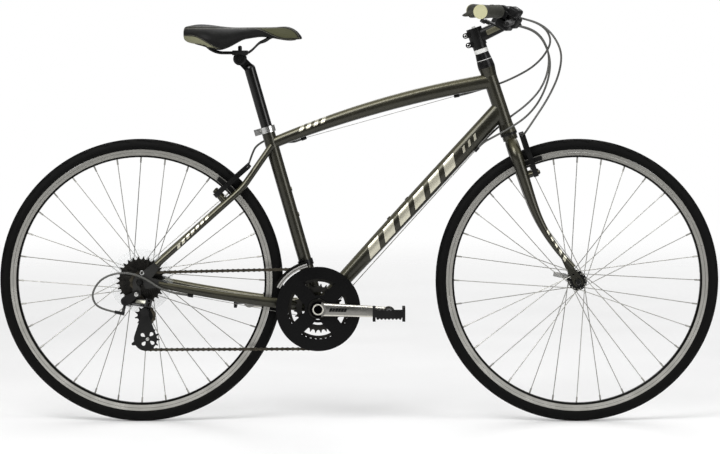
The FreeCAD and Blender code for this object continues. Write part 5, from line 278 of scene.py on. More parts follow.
def build_scuffs(sheet: Sheet, given: Outputs) -> dict[str, Socket]:
    """Return a mask of thin broken scratches in two directions."""
    masks = []
    for turn in ((0.4, 0.2, 0.7), (1.3, -0.5, 2.1)):
        stretched = sheet.add("Mapping", {"Vector": given["Vector"], "Rotation": turn,
                                          "Scale": (1.0, 0.06, 1.0)}).outputs[0]
        line = sheet.noise(stretched, given["Scale"], 1.0)
        masks.append(sheet.step(line, 0.69, 0.74))
    patch = sheet.step(sheet.noise(given["Vector"], 26.0, 2.0), 0.45, 0.65)
    both = sheet.math("MAXIMUM", *masks)
    return {"Mask": sheet.times(sheet.times(both, patch), given["Amount"])}


def build_dust(sheet: Sheet, given: Outputs) -> dict[str, Socket]:
    """Return a mask of dust on faces that look up, in drifting patches."""
    upward = sheet.step(sheet.facing(UPWARD), 0.2, 0.95)
    patch = sheet.step(sheet.noise(given["Vector"], 38.0, 5.0), 0.35, 0.75)
    return {"Mask": sheet.times(sheet.times(upward, patch), given["Amount"])}


def build_rings(sheet: Sheet, given: Outputs) -> dict[str, Socket]:
    """Return the distance from the nearer wheel's axle line."""
    split = sheet.split(given["Vector"])
    ahead = sheet.minus(sheet.math("ABSOLUTE", split["X"]), WHEEL_HALF_BASE)
    above = sheet.minus(split["Z"], AXLE_HEIGHT)
    return {"Radius": sheet.reach(ahead, above)}


def build_axle(sheet: Sheet, given: Outputs) -> dict[str, Socket]:
    """Return the offset from a centre and the distance from the sideways axle through it."""
    offset = sheet.offset(given["Vector"], given["Centre"])
    split = sheet.split(offset)
    return {"Offset": offset, "Radius": sheet.reach(split["X"], split["Z"])}


BAR_LINE = 0.0014


def build_bars(sheet: Sheet, given: Outputs) -> dict[str, Socket]:
    """Return masks of a row of slanted bars and of the thin line round each."""
    shifted = sheet.offset(given["Vector"], given["Origin"])
    along = sheet.dot(shifted, given["Along"])
    height = sheet.dot(shifted, given["Across"])
    leaned = sheet.minus(along, sheet.times(height, given["Slant"]))
    steps = sheet.math("DIVIDE", leaned, given["Pitch"])
    within = sheet.within(steps, 0.0, given["Count"])
    offset = sheet.math("ABSOLUTE", sheet.minus(sheet.math("FRACT", steps), 0.5))
    past_side = sheet.times(sheet.minus(offset, sheet.times(given["Fill"], 0.5)), given["Pitch"])
    past_top = sheet.minus(sheet.math("ABSOLUTE", height), given["Half Height"])
    past = sheet.math("MAXIMUM", past_side, past_top)
    inside = sheet.times(sheet.under(past, 0.0), within)
    line = sheet.times(sheet.under(past, BAR_LINE), within)
    return {"Mask": inside, "Edge": sheet.minus(line, inside)}


EFFECT_BUILDERS: dict[Effect, Callable[[Sheet, Outputs], dict]] = {
    Effect.MOTTLE: build_mottle, Effect.GRAIN: build_grain, Effect.SCUFFS: build_scuffs,
    Effect.DUST: build_dust, Effect.RINGS: build_rings, Effect.AXLE: build_axle, Effect.BARS: build_bars,
}


# Finishes


@dataclass(frozen=True)
class Finish:
    """A plain finish: drifting tone, fine grain, scuffs and dust."""

    name: str
    base: Colour
    tint: Colour
    metallic: float = 0.0
    smooth: float = 0.35
    rough: float = 0.5
    tone_scale: float = 24.0
    grain_scale: float = 900.0
    grain_cells: float = 0.0
    grain_depth: float = 0.00004
    coat: float = 0.0
    sheen: float = 0.0
    specular: float = 0.5
    scuffs: float = 0.25
    scuff_scale: float = 260.0
    scuff_gloss: float = 0.3
    dust: float = 0.015
    dust_gloss: float = 0.5
    coat_gloss: float = 0.07
    alpha: float = 1.0

    def colour(self, sheet: Sheet, place: Socket, plain: Socket) -> Socket:
        """Return the colour with what this finish adds to its plain tone."""
        return plain

    def relief(self, sheet: Sheet, place: Socket, plain: Socket) -> Socket:
        """Return the bump height with what this finish adds to its grain."""
        return plain

    def material(self) -> bpy.types.Material:
        """Return the finish's material, built at its first use."""
        found = bpy.data.materials.get(self.name)
        if found:
            return found
        made = bpy.data.materials.new(self.name)
        made.use_nodes = True
        made.diffuse_color = (*self.base, 1.0)
        made.node_tree.nodes.clear()
        sheet = Sheet(made.node_tree)
        place = sheet.add("TexCoord").outputs["Object"]
        tone = sheet.effect(Effect.MOTTLE, {"Vector": place, "Scale": self.tone_scale, "Base": self.base,
                                            "Tint": self.tint, "Smooth": self.smooth,
                                            "Rough": self.rough}).outputs
        grain = sheet.effect(Effect.GRAIN, {"Vector": place, "Scale": self.grain_scale,
                                            "Cells": self.grain_cells}).outputs["Height"]
        scuffs = sheet.effect(Effect.SCUFFS, {"Vector": place, "Scale": self.scuff_scale,
                                              "Amount": self.scuffs}).outputs[0]
        dust = sheet.effect(Effect.DUST, {"Vector": place, "Amount": self.dust}).outputs[0]
        colour = sheet.mix(dust, self.colour(sheet, place, tone["Color"]), DUST_GREY)
        gloss = sheet.plus(tone["Roughness"], sheet.times(scuffs, self.scuff_gloss))
        gloss = sheet.plus(gloss, sheet.times(dust, self.dust_gloss))
        height = self.relief(sheet, place, grain)
        bump = sheet.add("Bump", {"Strength": 1.0, "Distance": self.grain_depth, "Height": height})
        shader = sheet.add("BsdfPrincipled", {
            "Base Color": colour, "Metallic": self.metallic, "Roughness": gloss, "Alpha": self.alpha,
            "Coat Weight": self.coat, "Coat Roughness": self.coat_gloss, "Specular IOR Level": self.specular,
            "Sheen Weight": self.sheen, "Normal": bump.outputs[0]})
        output = sheet.add("OutputMaterial")
        sheet.feed(output.inputs["Surface"], shader.outputs[0])
        return made


@dataclass(frozen=True)
class BarMarks:
    """A row of plain slanted bars along a straight line on both sides of a tube."""

    start: Point
    end: Point
    count: int
    height: float
    colour: Colour = (0.52, 0.5, 0.4)
    outline: Colour = (0.012, 0.012, 0.01)
    fill: float = 0.6
    slant: float = 0.75

    def paint(self, sheet: Sheet, place: Socket, under: Socket) -> Socket:
        """Return the colour under the bars with the bars painted on it.

        Args:
            sheet: The material's nodes.
            place: The object coordinates.
            under: The colour that shows between the bars.

        Returns:
            The painted colour.
        """
        run = Vector(self.end) - Vector(self.start)
        along = run.normalized()
        across = Vector((-along.z, 0.0, along.x)).normalized()
        bars = sheet.effect(Effect.BARS, {
            "Vector": place, "Origin": self.start, "Along": along, "Across": across,
            "Pitch": run.length / self.count, "Count": float(self.count), "Fill": self.fill,
            "Half Height": self.height / 2, "Slant": self.slant})
        lined = sheet.mix(bars.outputs["Edge"], under, self.outline)
        return sheet.mix(bars.outputs["Mask"], lined, self.colour)


@dataclass(frozen=True)
class MarkedFinish(Finish):
    """A plain finish with rows of bars printed on it."""

    marks: tuple[BarMarks, ...] = ()

    def colour(self, sheet: Sheet, place: Socket, plain: Socket) -> Socket:
        """Return the plain tone with its bars."""
        for marks in self.marks:
            plain = marks.paint(sheet, place, plain)
        return plain


@dataclass(frozen=True)
class PaintFinish(MarkedFinish):
    """Metallic lacquer with fine flakes, a painted khaki highlight on faces that look up, and darker below.
    """

    # Painted highlight: the khaki colour, its share and the rise over which faces that look up are brightened
    # towards it
    top_highlight: Colour = (0.125, 0.116, 0.066)
    top_highlight_share: float = 0.8
    top_highlight_rise: Span = (0.05, 0.85)
    flake: Colour = (0.2, 0.19, 0.13)
    flake_share: float = 0.22
    flake_scale: float = 1700.0
    flake_weights: Colour = (0.33, 0.33, 0.33)
    flake_rise: Span = (0.62, 0.8)

    def colour(self, sheet: Sheet, place: Socket, plain: Socket) -> Socket:
        """Return the lacquer with its painted khaki highlight on the upper side, its flakes and its bars."""
        # Painted highlight: faces are blended towards khaki by how far they look up, as light from above
        # would brighten them
        upward = sheet.step(sheet.facing(UPWARD), *self.top_highlight_rise)
        with_top_highlight = sheet.mix(sheet.times(upward, self.top_highlight_share), plain, self.top_highlight)
        flakes = sheet.add("TexVoronoi", {"Vector": place, "Scale": self.flake_scale}).outputs["Color"]
        bright = sheet.step(sheet.dot(flakes, self.flake_weights), *self.flake_rise)
        painted = sheet.mix(sheet.times(bright, self.flake_share), with_top_highlight, self.flake)
        return super().colour(sheet, place, painted)


@dataclass(frozen=True)
class CrankFinish(MarkedFinish):
    """Polished arms with a greyer broad face, a black hub and a black cap in a bright ring."""

    face: Colour = (0.21, 0.205, 0.19)
    face_rise: Span = (0.9, 0.98)
    black: Colour = (0.002, 0.002, 0.002)
    bright: Colour = (0.72, 0.7, 0.62)
    cap_radius: float = 0.0104
    ring_radius: float = 0.0134
    hub_radius: float = 0.0202
    arm_share: float = 0.45

    def colour(self, sheet: Sheet, place: Socket, plain: Socket) -> Socket:
        """Return the arms with their marks, the hub, the ring and the cap."""
        axle = sheet.effect(Effect.AXLE, {"Vector": place, "Centre": CRANK_CENTRE}).outputs
        radius, split = axle["Radius"], sheet.split(axle["Offset"])
        broad = sheet.step(sheet.math("ABSOLUTE", sheet.facing(SIDEWAYS)), *self.face_rise)
        marked = super().colour(sheet, place, sheet.mix(broad, plain, self.face))
        along = sheet.times(split["X"], sheet.times(sheet.math("SIGN", split["Y"]), -1.0))
        beside = sheet.under(along, sheet.times(radius, self.arm_share))
        hub = sheet.times(beside, sheet.under(radius, self.hub_radius))
        toned = sheet.mix(hub, marked, self.black)
        toned = sheet.mix(sheet.under(radius, self.ring_radius), toned, self.bright)
        return sheet.mix(sheet.under(radius, self.cap_radius), toned, self.black)


@dataclass(frozen=True)
class GuideFinish(Finish):
    """A chain guide of bright silver with a painted shade band between its two pressed edges and painted
    shade past its outer edge.
    """

    # Painted shade: the near-black past the outer edge and the grey band between the two bright edges
    dark: Colour = (0.012, 0.012, 0.011)
    middle: Colour = (0.16, 0.155, 0.145)
    shade_band_edges: Span = (0.107, 0.1095)
    outer_edge: float = 0.1128

    def colour(self, sheet: Sheet, place: Socket, plain: Socket) -> Socket:
        """Return the silver with its painted shade bands, by their distance from the crank's axle."""
        radius = sheet.effect(Effect.AXLE, {"Vector": place, "Centre": CRANK_CENTRE}).outputs["Radius"]
        # Painted shade: a grey band between the two bright edges, and near-black beyond the outer edge
        toned = sheet.mix(sheet.within(radius, *self.shade_band_edges), plain, self.middle)
        return sheet.mix(sheet.over(radius, self.outer_edge), toned, self.dark)


@dataclass(frozen=True)
class SteererFinish(Finish):
    """Black covers on the steerer with one silver spacer, a thin pale line and a bright bolt."""

    foot: Point = (0.3061, 0.0, 0.8643)
    line: Span = (0.0135, 0.0006)
    spacer: Span = (0.031, 0.041)
    bolt: float = 0.0942
    silver: Colour = (0.6, 0.6, 0.58)

    def colour(self, sheet: Sheet, place: Socket, plain: Socket) -> Socket:
        """Return the bands by their height along the steerer."""
        height = sheet.dot(sheet.offset(place, self.foot), STEERER_UP)
        line = sheet.math("COMPARE", height, *self.line)
        bright = sheet.math("MAXIMUM", sheet.within(height, *self.spacer), line)
        return sheet.mix(sheet.math("MAXIMUM", bright, sheet.over(height, self.bolt)), plain, self.silver)


@dataclass(frozen=True)
class WheelFinish(Finish):
    """A finish that changes with the distance from its wheel's axle."""

    def radius(self, sheet: Sheet, place: Socket) -> Socket:
        """Return the distance from the wheel's axle."""
        return sheet.effect(Effect.RINGS, {"Vector": place}).outputs["Radius"]


@dataclass(frozen=True)
class RimFinish(WheelFinish):
    """A turned brake track with fine grooves over a black painted well."""

    track: Span = (0.3029, 0.3035)
    well: Colour = (0.014, 0.014, 0.013)
    groove_turns: float = 5200.0
    groove: Colour = (0.3, 0.29, 0.27)
    groove_share: float = 0.2
    groove_height: float = 0.15
    line_place: Span = (0.3108, 0.0005)
    line: Colour = (0.05, 0.05, 0.048)
    line_share: float = 0.85
    line_height: float = -4.0

    def turning(self, sheet: Sheet, radius: Socket) -> tuple[Socket, Socket]:
        """Return the wave of the grooves and the mask of the wear line."""
        wave = sheet.math("SINE", sheet.times(radius, self.groove_turns))
        return wave, sheet.math("COMPARE", radius, *self.line_place)

    def colour(self, sheet: Sheet, place: Socket, plain: Socket) -> Socket:
        """Return bright track, dark wear line and black well."""
        radius = self.radius(sheet, place)
        wave, line = self.turning(sheet, radius)
        streak = sheet.step(wave, -1.0, 1.0)
        track = sheet.mix(sheet.times(streak, self.groove_share), plain, self.groove)
        track = sheet.mix(sheet.times(line, self.line_share), track, self.line)
        return sheet.mix(sheet.step(radius, *self.track), self.well, track)

    def relief(self, sheet: Sheet, place: Socket, plain: Socket) -> Socket:
        """Return turned grooves and the deep wear line."""
        wave, line = self.turning(sheet, self.radius(sheet, place))
        cut = sheet.math("MULTIPLY_ADD", line, self.line_height, plain)
        return sheet.math("MULTIPLY_ADD", wave, self.groove_height, cut)


@dataclass(frozen=True)
class TyreFinish(WheelFinish):
    """Black rubber with moulded rings on its side walls and a dusty crown."""

    crown: Span = (0.339, 0.3428)
    worn: Colour = (0.02, 0.0195, 0.018)
    worn_share: float = 0.3
    worn_scale: float = 60.0
    wall: Span = (0.326, 0.328)
    ring_turns: float = 3600.0
    ring_rise: Span = (0.3, 0.8)
    ring_height: float = 3.0

    def colour(self, sheet: Sheet, place: Socket, plain: Socket) -> Socket:
        """Return rubber that greys a little where it rolls on the ground."""
        rolled = sheet.step(self.radius(sheet, place), *self.crown)
        worn = sheet.times(rolled, sheet.noise(place, self.worn_scale, 4.0))
        return sheet.mix(sheet.times(worn, self.worn_share), plain, self.worn)

    def relief(self, sheet: Sheet, place: Socket, plain: Socket) -> Socket:
        """Return raised rings beside the rim over the rubber's grain."""
        radius = self.radius(sheet, place)
        wall = sheet.minus(1.0, sheet.step(radius, *self.wall))
        wave = sheet.math("SINE", sheet.times(radius, self.ring_turns))
        rings = sheet.times(sheet.step(wave, *self.ring_rise), wall)
        return sheet.math("MULTIPLY_ADD", rings, self.ring_height, plain)


@dataclass(frozen=True)
class SaddleFinish(Finish):
    """Grained black cover with an olive flank, a pale rear band and stitched seams."""

    olive: Colour = (0.055, 0.055, 0.029)
    flank_sweep: Span = (-0.255, -0.175)
    flank_fall: float = -0.0255
    flank_top: float = 0.9545
    flank_slope: float = 0.9
    nose_centre: Span = (-0.19, 0.925)
    nose_half: Span = (0.0425, 0.0298)
    nose_depth: float = 0.03
    crest_half: float = 0.009
    pale: Colour = (0.17, 0.168, 0.108)
    band_sweep: Span = (-0.405, -0.322)
    band_fall: float = -0.034
    band_top: float = 0.9345
    band_front: float = -0.305
    seam_edge: Span = (-0.0003, 0.0003)
    seam_half: float = 0.0014
    seam_height: float = -5.0
    stitch: Colour = (0.16, 0.155, 0.12)
    stitch_line: Span = (-0.0022, 0.0004)
    stitch_turns: float = 300.0
    stitch_gap: float = 0.35

    def parts(self, sheet: Sheet, place: Socket) -> tuple[Socket, Socket]:
        """Return how far a place lies inside the olive flank and inside the pale band, in metres."""
        split = sheet.split(place)
        sweep = sheet.times(sheet.step(split["X"], *self.flank_sweep), self.flank_fall)
        flank = sheet.times(sheet.minus(split["Z"], sheet.plus(sweep, self.flank_top)), self.flank_slope)
        past = sheet.math("MAXIMUM", sheet.minus(split["X"], self.nose_centre[0]), 0.0)
        ahead = sheet.math("DIVIDE", past, self.nose_half[0])
        above = sheet.math("DIVIDE", sheet.minus(split["Z"], self.nose_centre[1]), self.nose_half[1])
        nose = sheet.times(sheet.minus(1.0, sheet.reach(ahead, above)), self.nose_depth)
        crest = sheet.minus(sheet.math("ABSOLUTE", split["Y"]), self.crest_half)
        olive = sheet.math("MINIMUM", sheet.math("MINIMUM", flank, nose), crest)
        fall = sheet.times(sheet.step(split["X"], *self.band_sweep), self.band_fall)
        below = sheet.minus(sheet.plus(fall, self.band_top), split["Z"])
        return olive, sheet.math("MINIMUM", below, sheet.minus(self.band_front, split["X"]))

    def colour(self, sheet: Sheet, place: Socket, plain: Socket) -> Socket:
        """Return the three panels with a line of stitches along each seam."""
        olive, pale = self.parts(sheet, place)
        panels = sheet.mix(sheet.step(olive, *self.seam_edge), plain, self.olive)
        panels = sheet.mix(sheet.step(pale, *self.seam_edge), panels, self.pale)
        turns = sheet.times(sheet.split(place)["X"], self.stitch_turns)
        dashes = sheet.over(sheet.math("FRACT", turns), self.stitch_gap)
        for depth in (olive, pale):
            near = sheet.math("COMPARE", depth, *self.stitch_line)
            panels = sheet.mix(sheet.times(near, dashes), panels, self.stitch)
        return panels

    def relief(self, sheet: Sheet, place: Socket, plain: Socket) -> Socket:
        """Return the grain with the seams drawn in."""
        for depth in self.parts(sheet, place):
            seam = sheet.minus(1.0, sheet.step(sheet.math("ABSOLUTE", depth), 0.0, self.seam_half))
            plain = sheet.math("MULTIPLY_ADD", seam, self.seam_height, plain)
        return plain


OLIVE: Colour = (0.02, 0.0193, 0.0145)
OLIVE_TINT: Colour = (0.028, 0.0266, 0.0175)


def lacquer(name: str, *marks: BarMarks) -> PaintFinish:
    """Return the frame's lacquer under a name, with its own marks."""
    return PaintFinish(name, OLIVE, OLIVE_TINT, metallic=0.8, smooth=0.28, rough=0.36, coat=0.3,
                       grain_scale=2600.0, grain_depth=0.000008, scuffs=0.15, dust=0.04, marks=marks)


PAINT = lacquer("olive_lacquer")
DOWN_PAINT = lacquer("olive_lacquer_down_tube",
                     BarMarks((0.018, 0.0, 0.404), (0.236, 0.0, 0.643), 6, 0.027, fill=0.66),
                     BarMarks((0.246, 0.0, 0.654), (0.286, 0.0, 0.698), 3, 0.012, fill=0.4))
TOP_PAINT = lacquer("olive_lacquer_top_tube",
                    BarMarks((-0.148, 0.0, 0.709), (-0.078, 0.0, 0.735), 4, 0.013, fill=0.55))
STAY_PAINT = lacquer("olive_lacquer_stays",
                     BarMarks((-0.44, 0.0, 0.424), (-0.362, 0.0, 0.505), 7, 0.0075))
FORK_PAINT = lacquer("olive_lacquer_fork",
                     BarMarks((0.452, 0.0, 0.474), (0.5, 0.0, 0.392), 5, 0.009, slant=-0.75, fill=0.55))
BLACK_METAL = Finish("satin_black_metal", (0.0022, 0.0022, 0.0022), (0.0042, 0.0042, 0.004), smooth=0.28,
                     rough=0.4, specular=0.16, coat=0.05)
DROPOUT_GREY = Finish("dark_dropout", (0.011, 0.011, 0.01), (0.019, 0.0185, 0.017), metallic=0.5, smooth=0.3,
                      rough=0.42, coat=0.15)
POST_BLACK = Finish("anodised_black_tube", (0.0016, 0.0016, 0.0016), (0.0026, 0.0026, 0.0025), smooth=0.15,
                    rough=0.24, specular=0.3, coat=0.08, scuffs=0.5)
BLACK_PLASTIC = Finish("moulded_black_plastic", (0.0026, 0.0026, 0.0027), (0.0048, 0.0048, 0.0048),
                       smooth=0.4, rough=0.56, specular=0.16, grain_scale=1300.0, grain_cells=0.4,
                       grain_depth=0.00005)
GLOSS_PLASTIC = Finish("gloss_black_plastic", (0.0013, 0.0013, 0.0014), (0.0024, 0.0024, 0.0024),
                       smooth=0.16, rough=0.28, specular=0.1, coat=0.02, scuffs=0.5)
SILVER = Finish("polished_aluminium", (0.6, 0.6, 0.585), (0.46, 0.46, 0.45), metallic=1.0, smooth=0.16,
                rough=0.3, scuffs=0.4)
HEADSET = SteererFinish("headset_cover_black", (0.002, 0.002, 0.002), (0.0038, 0.0038, 0.0036), smooth=0.26,
                        rough=0.38, specular=0.2, coat=0.05)
CRANK_SILVER = CrankFinish("polished_crank", (0.66, 0.64, 0.58), (0.5, 0.48, 0.43), metallic=1.0, smooth=0.18,
                           rough=0.32, scuffs=0.5,
                           marks=(BarMarks((-0.072, 0.0, 0.2773), (-0.03, 0.0, 0.2766), 6, 0.006,
                                           colour=(0.012, 0.012, 0.012), fill=0.5, slant=0.3),))
GUIDE_SILVER = GuideFinish("pressed_guide", (0.62, 0.61, 0.58), (0.48, 0.47, 0.45), metallic=1.0,
                           smooth=0.18, rough=0.3, scuffs=0.5)
STEEL = Finish("bright_steel", (0.36, 0.355, 0.33), (0.27, 0.265, 0.245), metallic=1.0, smooth=0.22,
               rough=0.36, scuffs=0.2)
GEAR_STEEL = Finish("dark_gear_steel", (0.01, 0.0097, 0.009), (0.028, 0.0265, 0.023), metallic=0.85,
                    smooth=0.28, rough=0.45, tone_scale=60.0, scuffs=0.5)
CHAIN_STEEL = Finish("oiled_chain_steel", (0.075, 0.066, 0.048), (0.026, 0.0235, 0.019), metallic=0.9,
                     smooth=0.28, rough=0.45, tone_scale=120.0, scuffs=0.3)
GEAR_GREY = Finish("dark_gear_body", (0.0028, 0.0028, 0.0028), (0.0055, 0.0055, 0.0053), metallic=0.2,
                   smooth=0.28, rough=0.42, specular=0.22, coat=0.06)
RIM = RimFinish("turned_rim", (0.5, 0.49, 0.455), (0.36, 0.355, 0.325), metallic=0.95, smooth=0.25,
                rough=0.36, grain_depth=0.00003, scuffs=0.3)
TYRE = TyreFinish("tyre_tread_rubber", (0.0015, 0.0015, 0.0015), (0.0028, 0.0028, 0.0026), smooth=0.55,
                  rough=0.72, specular=0.08, grain_scale=1100.0, grain_cells=0.5, grain_depth=0.0001)
HOUSING = Finish("cable_housing", (0.045, 0.045, 0.041), (0.07, 0.07, 0.063), smooth=0.24, rough=0.36,
                 specular=0.45, grain_scale=1500.0)
GRIP = Finish("ribbed_grip_rubber", (0.021, 0.021, 0.0155), (0.033, 0.0325, 0.0235), smooth=0.6, rough=0.75,
              specular=0.2, grain_scale=1600.0, grain_cells=0.5, grain_depth=0.00012, sheen=0.05)
CREAM = Finish("cream_end_cap", (0.43, 0.42, 0.25), (0.36, 0.35, 0.2), smooth=0.42, rough=0.55,
               grain_scale=1500.0)
PANEL = Finish("olive_panel", (0.075, 0.071, 0.045), (0.095, 0.09, 0.056), metallic=0.5, smooth=0.3,
               rough=0.42, coat=0.2)
BADGE = Finish("pale_badge", (0.2, 0.2, 0.165), (0.27, 0.265, 0.22), metallic=0.7, smooth=0.25, rough=0.38)
SADDLE = SaddleFinish("saddle_cover_skin", (0.0024, 0.0024, 0.0025), (0.0046, 0.0046, 0.0045), smooth=0.42,
                      rough=0.58, specular=0.12, grain_scale=820.0, grain_cells=0.75, grain_depth=0.00022,
                      sheen=0.02)
CLEAR = Finish("clear_plastic", (0.7, 0.72, 0.72), (0.62, 0.64, 0.64), smooth=0.12, rough=0.22, scuffs=0.0,
               dust=0.0, alpha=0.16)


# Mesh helpers


def link(name: str, data: bpy.types.ID) -> bpy.types.Object:
    """Return a new object of some data, placed in the scene."""
    thing = bpy.data.objects.new(name, data)
    bpy.context.collection.objects.link(thing)
    return thing


def point_at(thing: bpy.types.Object, place: Point, aim: Point) -> None:
    """Put a light or a camera in its place and turn it to a point."""
    thing.location = place
    thing.rotation_euler = (Vector(aim) - Vector(place)).to_track_quat("-Z", "Y").to_euler()


def final_mesh(thing: bpy.types.Object) -> bpy.types.Mesh:
    """Return an object's mesh as its modifiers or its curve leave it."""
    return bpy.data.meshes.new_from_object(thing.evaluated_get(bpy.context.evaluated_depsgraph_get()))


def settle(thing: bpy.types.Object) -> None:
    """Apply an object's modifiers to its mesh."""
    old, thing.data = thing.data, final_mesh(thing)
    thing.modifiers.clear()
    bpy.data.meshes.remove(old)
    thing.data.name = thing.name


def even_out(thing: bpy.types.Object, voxel: float) -> None:
    """Turn an object's mesh into an even one of small faces."""
    change = thing.modifiers.new("even", "REMESH")
    change.mode = "VOXEL"
    change.voxel_size = voxel
    settle(thing)


def relax(form: bmesh.types.BMesh, rounds: int) -> None:
    """Draw each point of a mesh towards its neighbours a few times."""
    for _ in range(rounds):
        bmesh.ops.smooth_vert(form, verts=form.verts[:], factor=0.5, use_axis_x=True, use_axis_y=True,
                              use_axis_z=True)


def round_edges(form: bmesh.types.BMesh, radius: float, segments: int) -> None:
    """Round every edge of a mesh."""
    bmesh.ops.bevel(form, geom=form.edges[:], offset=radius, offset_type="OFFSET", affect="EDGES",
                    segments=segments, profile=0.5, material=-1, clamp_overlap=True)


def mirrored(place: Point, side: float) -> Vector:
    """Return a left-hand place or direction on the given side."""
    return Vector((place[0], side * place[1], place[2]))


def sharpen(form: bmesh.types.BMesh, angle: float) -> None:
    """Smooth a mesh's faces and keep its edges sharp past an angle in degrees."""
    limit = math.radians(angle)
    for face in form.faces:
        face.smooth = True
    for edge in form.edges:
        edge.smooth = len(edge.link_faces) == 2 and edge.calc_face_angle(0.0) < limit


CAD_CREASE = 32.0
OWN_CREASE = 40.0


def add_piece(name: str, form: bmesh.types.BMesh, finishes: Sequence[Finish], body: str,
              replaced: Sequence[str] = (), crease: float = 0.0) -> bpy.types.Object:
    """Make an object of a mesh and let it ride on a body.

    Args:
        name: The piece's name.
        form: The mesh, which is freed.
        finishes: The finishes of its material slots.
        body: The body that carries it.
        replaced: The CAD nodes that it stands for.
        crease: The angle past which its edges stay sharp, or zero to leave its faces flat.

    Returns:
        The new object.
    """
    if crease:
        sharpen(form, crease)
    mesh = bpy.data.meshes.new(name)
    form.to_mesh(mesh)
    form.free()
    piece = link(name, mesh)
    for finish in finishes:
        mesh.materials.append(finish.material())
    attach(piece, body)
    if replaced:
        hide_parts(*replaced)
    log.info("%s: %d faces on %s", name, len(mesh.polygons), body)
    return piece


def node_form(node: str) -> bmesh.types.BMesh:
    """Return a merged copy of a CAD node's mesh."""
    form = bmesh.new()
    form.from_mesh(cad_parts[node].data)
    bmesh.ops.remove_doubles(form, verts=form.verts[:], dist=MERGE_DISTANCE)
    return form


def islands(form: bmesh.types.BMesh) -> list[list[bmesh.types.BMFace]]:
    """Return a mesh's faces, grouped by the pieces that hang together."""
    left = dict.fromkeys(form.faces)
    groups = []
    while left:
        wave = [left.popitem()[0]]
        group = []
        while wave:
            face = wave.pop()
            group.append(face)
            for edge in face.edges:
                for other in edge.link_faces:
                    if other in left:
                        del left[other]
                        wave.append(other)
        groups.append(group)
    return groups


def face_points(faces: Sequence[bmesh.types.BMFace]) -> list[bmesh.types.BMVert]:
    """Return the points of some faces, each once."""
    return list(dict.fromkeys(vert for face in faces for vert in face.verts))


def corners(faces: Sequence[bmesh.types.BMFace]) -> tuple[Vector, Vector]:
    """Return the lowest and highest corner of some faces."""
    places = [vert.co for vert in face_points(faces)]
    low = Vector(min(place[axis] for place in places) for axis in range(3))
    high = Vector(max(place[axis] for place in places) for axis in range(3))
    return low, high


def turned(profile: Sequence[Span], place: Point, axis: Point, steps: int = 32) -> bmesh.types.BMesh:
    """Spin a profile round an axis.

    Args:
        profile: Radius and height of each point, from the middle of the top outwards and down.
        place: The foot of the axis.
        axis: The direction of the heights.
        steps: The number of steps in a turn.

    Returns:
        The closed mesh.
    """
    form = bmesh.new()
    points = [form.verts.new((radius, 0.0, height)) for radius, height in profile]
    edges = [form.edges.new(pair) for pair in zip(points, points[1:])]
    bmesh.ops.spin(form, geom=points + edges, cent=(0.0, 0.0, 0.0), axis=UPWARD, angle=math.tau,
                   steps=steps, use_merge=True)
    bmesh.ops.remove_doubles(form, verts=form.verts[:], dist=MERGE_DISTANCE)
    bmesh.ops.recalc_face_normals(form, faces=form.faces[:])
    upright = Vector(UPWARD).rotation_difference(Vector(axis)).to_matrix().to_4x4()
    bmesh.ops.transform(form, matrix=Matrix.Translation(place) @ upright, verts=form.verts[:])
    return form


def plate(outline: Sequence[Span], thickness: float, bevel: float, place: Matrix) -> bmesh.types.BMesh:
    """Thicken a flat outline and round its edges.

    Args:
        outline: The corners, in the plate's own plane.
        thickness: How far it rises along its own upward axis.
        bevel: The radius of its rounded edges.
        place: Where the plate's own axes lie.

    Returns:
        The closed mesh.
    """
    form = bmesh.new()
    face = form.faces.new([form.verts.new((x, y, 0.0)) for x, y in outline])
    risen = bmesh.ops.extrude_face_region(form, geom=[face])
    moved = [part for part in risen["geom"] if isinstance(part, bmesh.types.BMVert)]
    bmesh.ops.translate(form, verts=moved, vec=(0.0, 0.0, thickness))
    bmesh.ops.recalc_face_normals(form, faces=form.faces[:])
    round_edges(form, bevel, 2)
    bmesh.ops.transform(form, matrix=place, verts=form.verts[:])
    return form


def axes(place: Point, along: Point, up: Point) -> Matrix:
    """Return the frame at a place with its first axis along and its third axis up."""
    first = Vector(along).normalized()
    third = Vector(up).normalized()
    second = third.cross(first).normalized()
    return Matrix.Translation(place) @ Matrix((first, second, third)).transposed().to_4x4()


# Stage


@dataclass(frozen=True)
class Lamp:
    """A soft square light that looks at a point."""

    name: str
    place: Point
    aim: Point
    size: float
    power: float

    def hang(self) -> None:
        """Hang the light."""
        data = bpy.data.lights.new(self.name, "AREA")
        data.shape = "SQUARE"
        data.size = self.size
        data.energy = self.power
        point_at(link(self.name, data), self.place, self.aim)


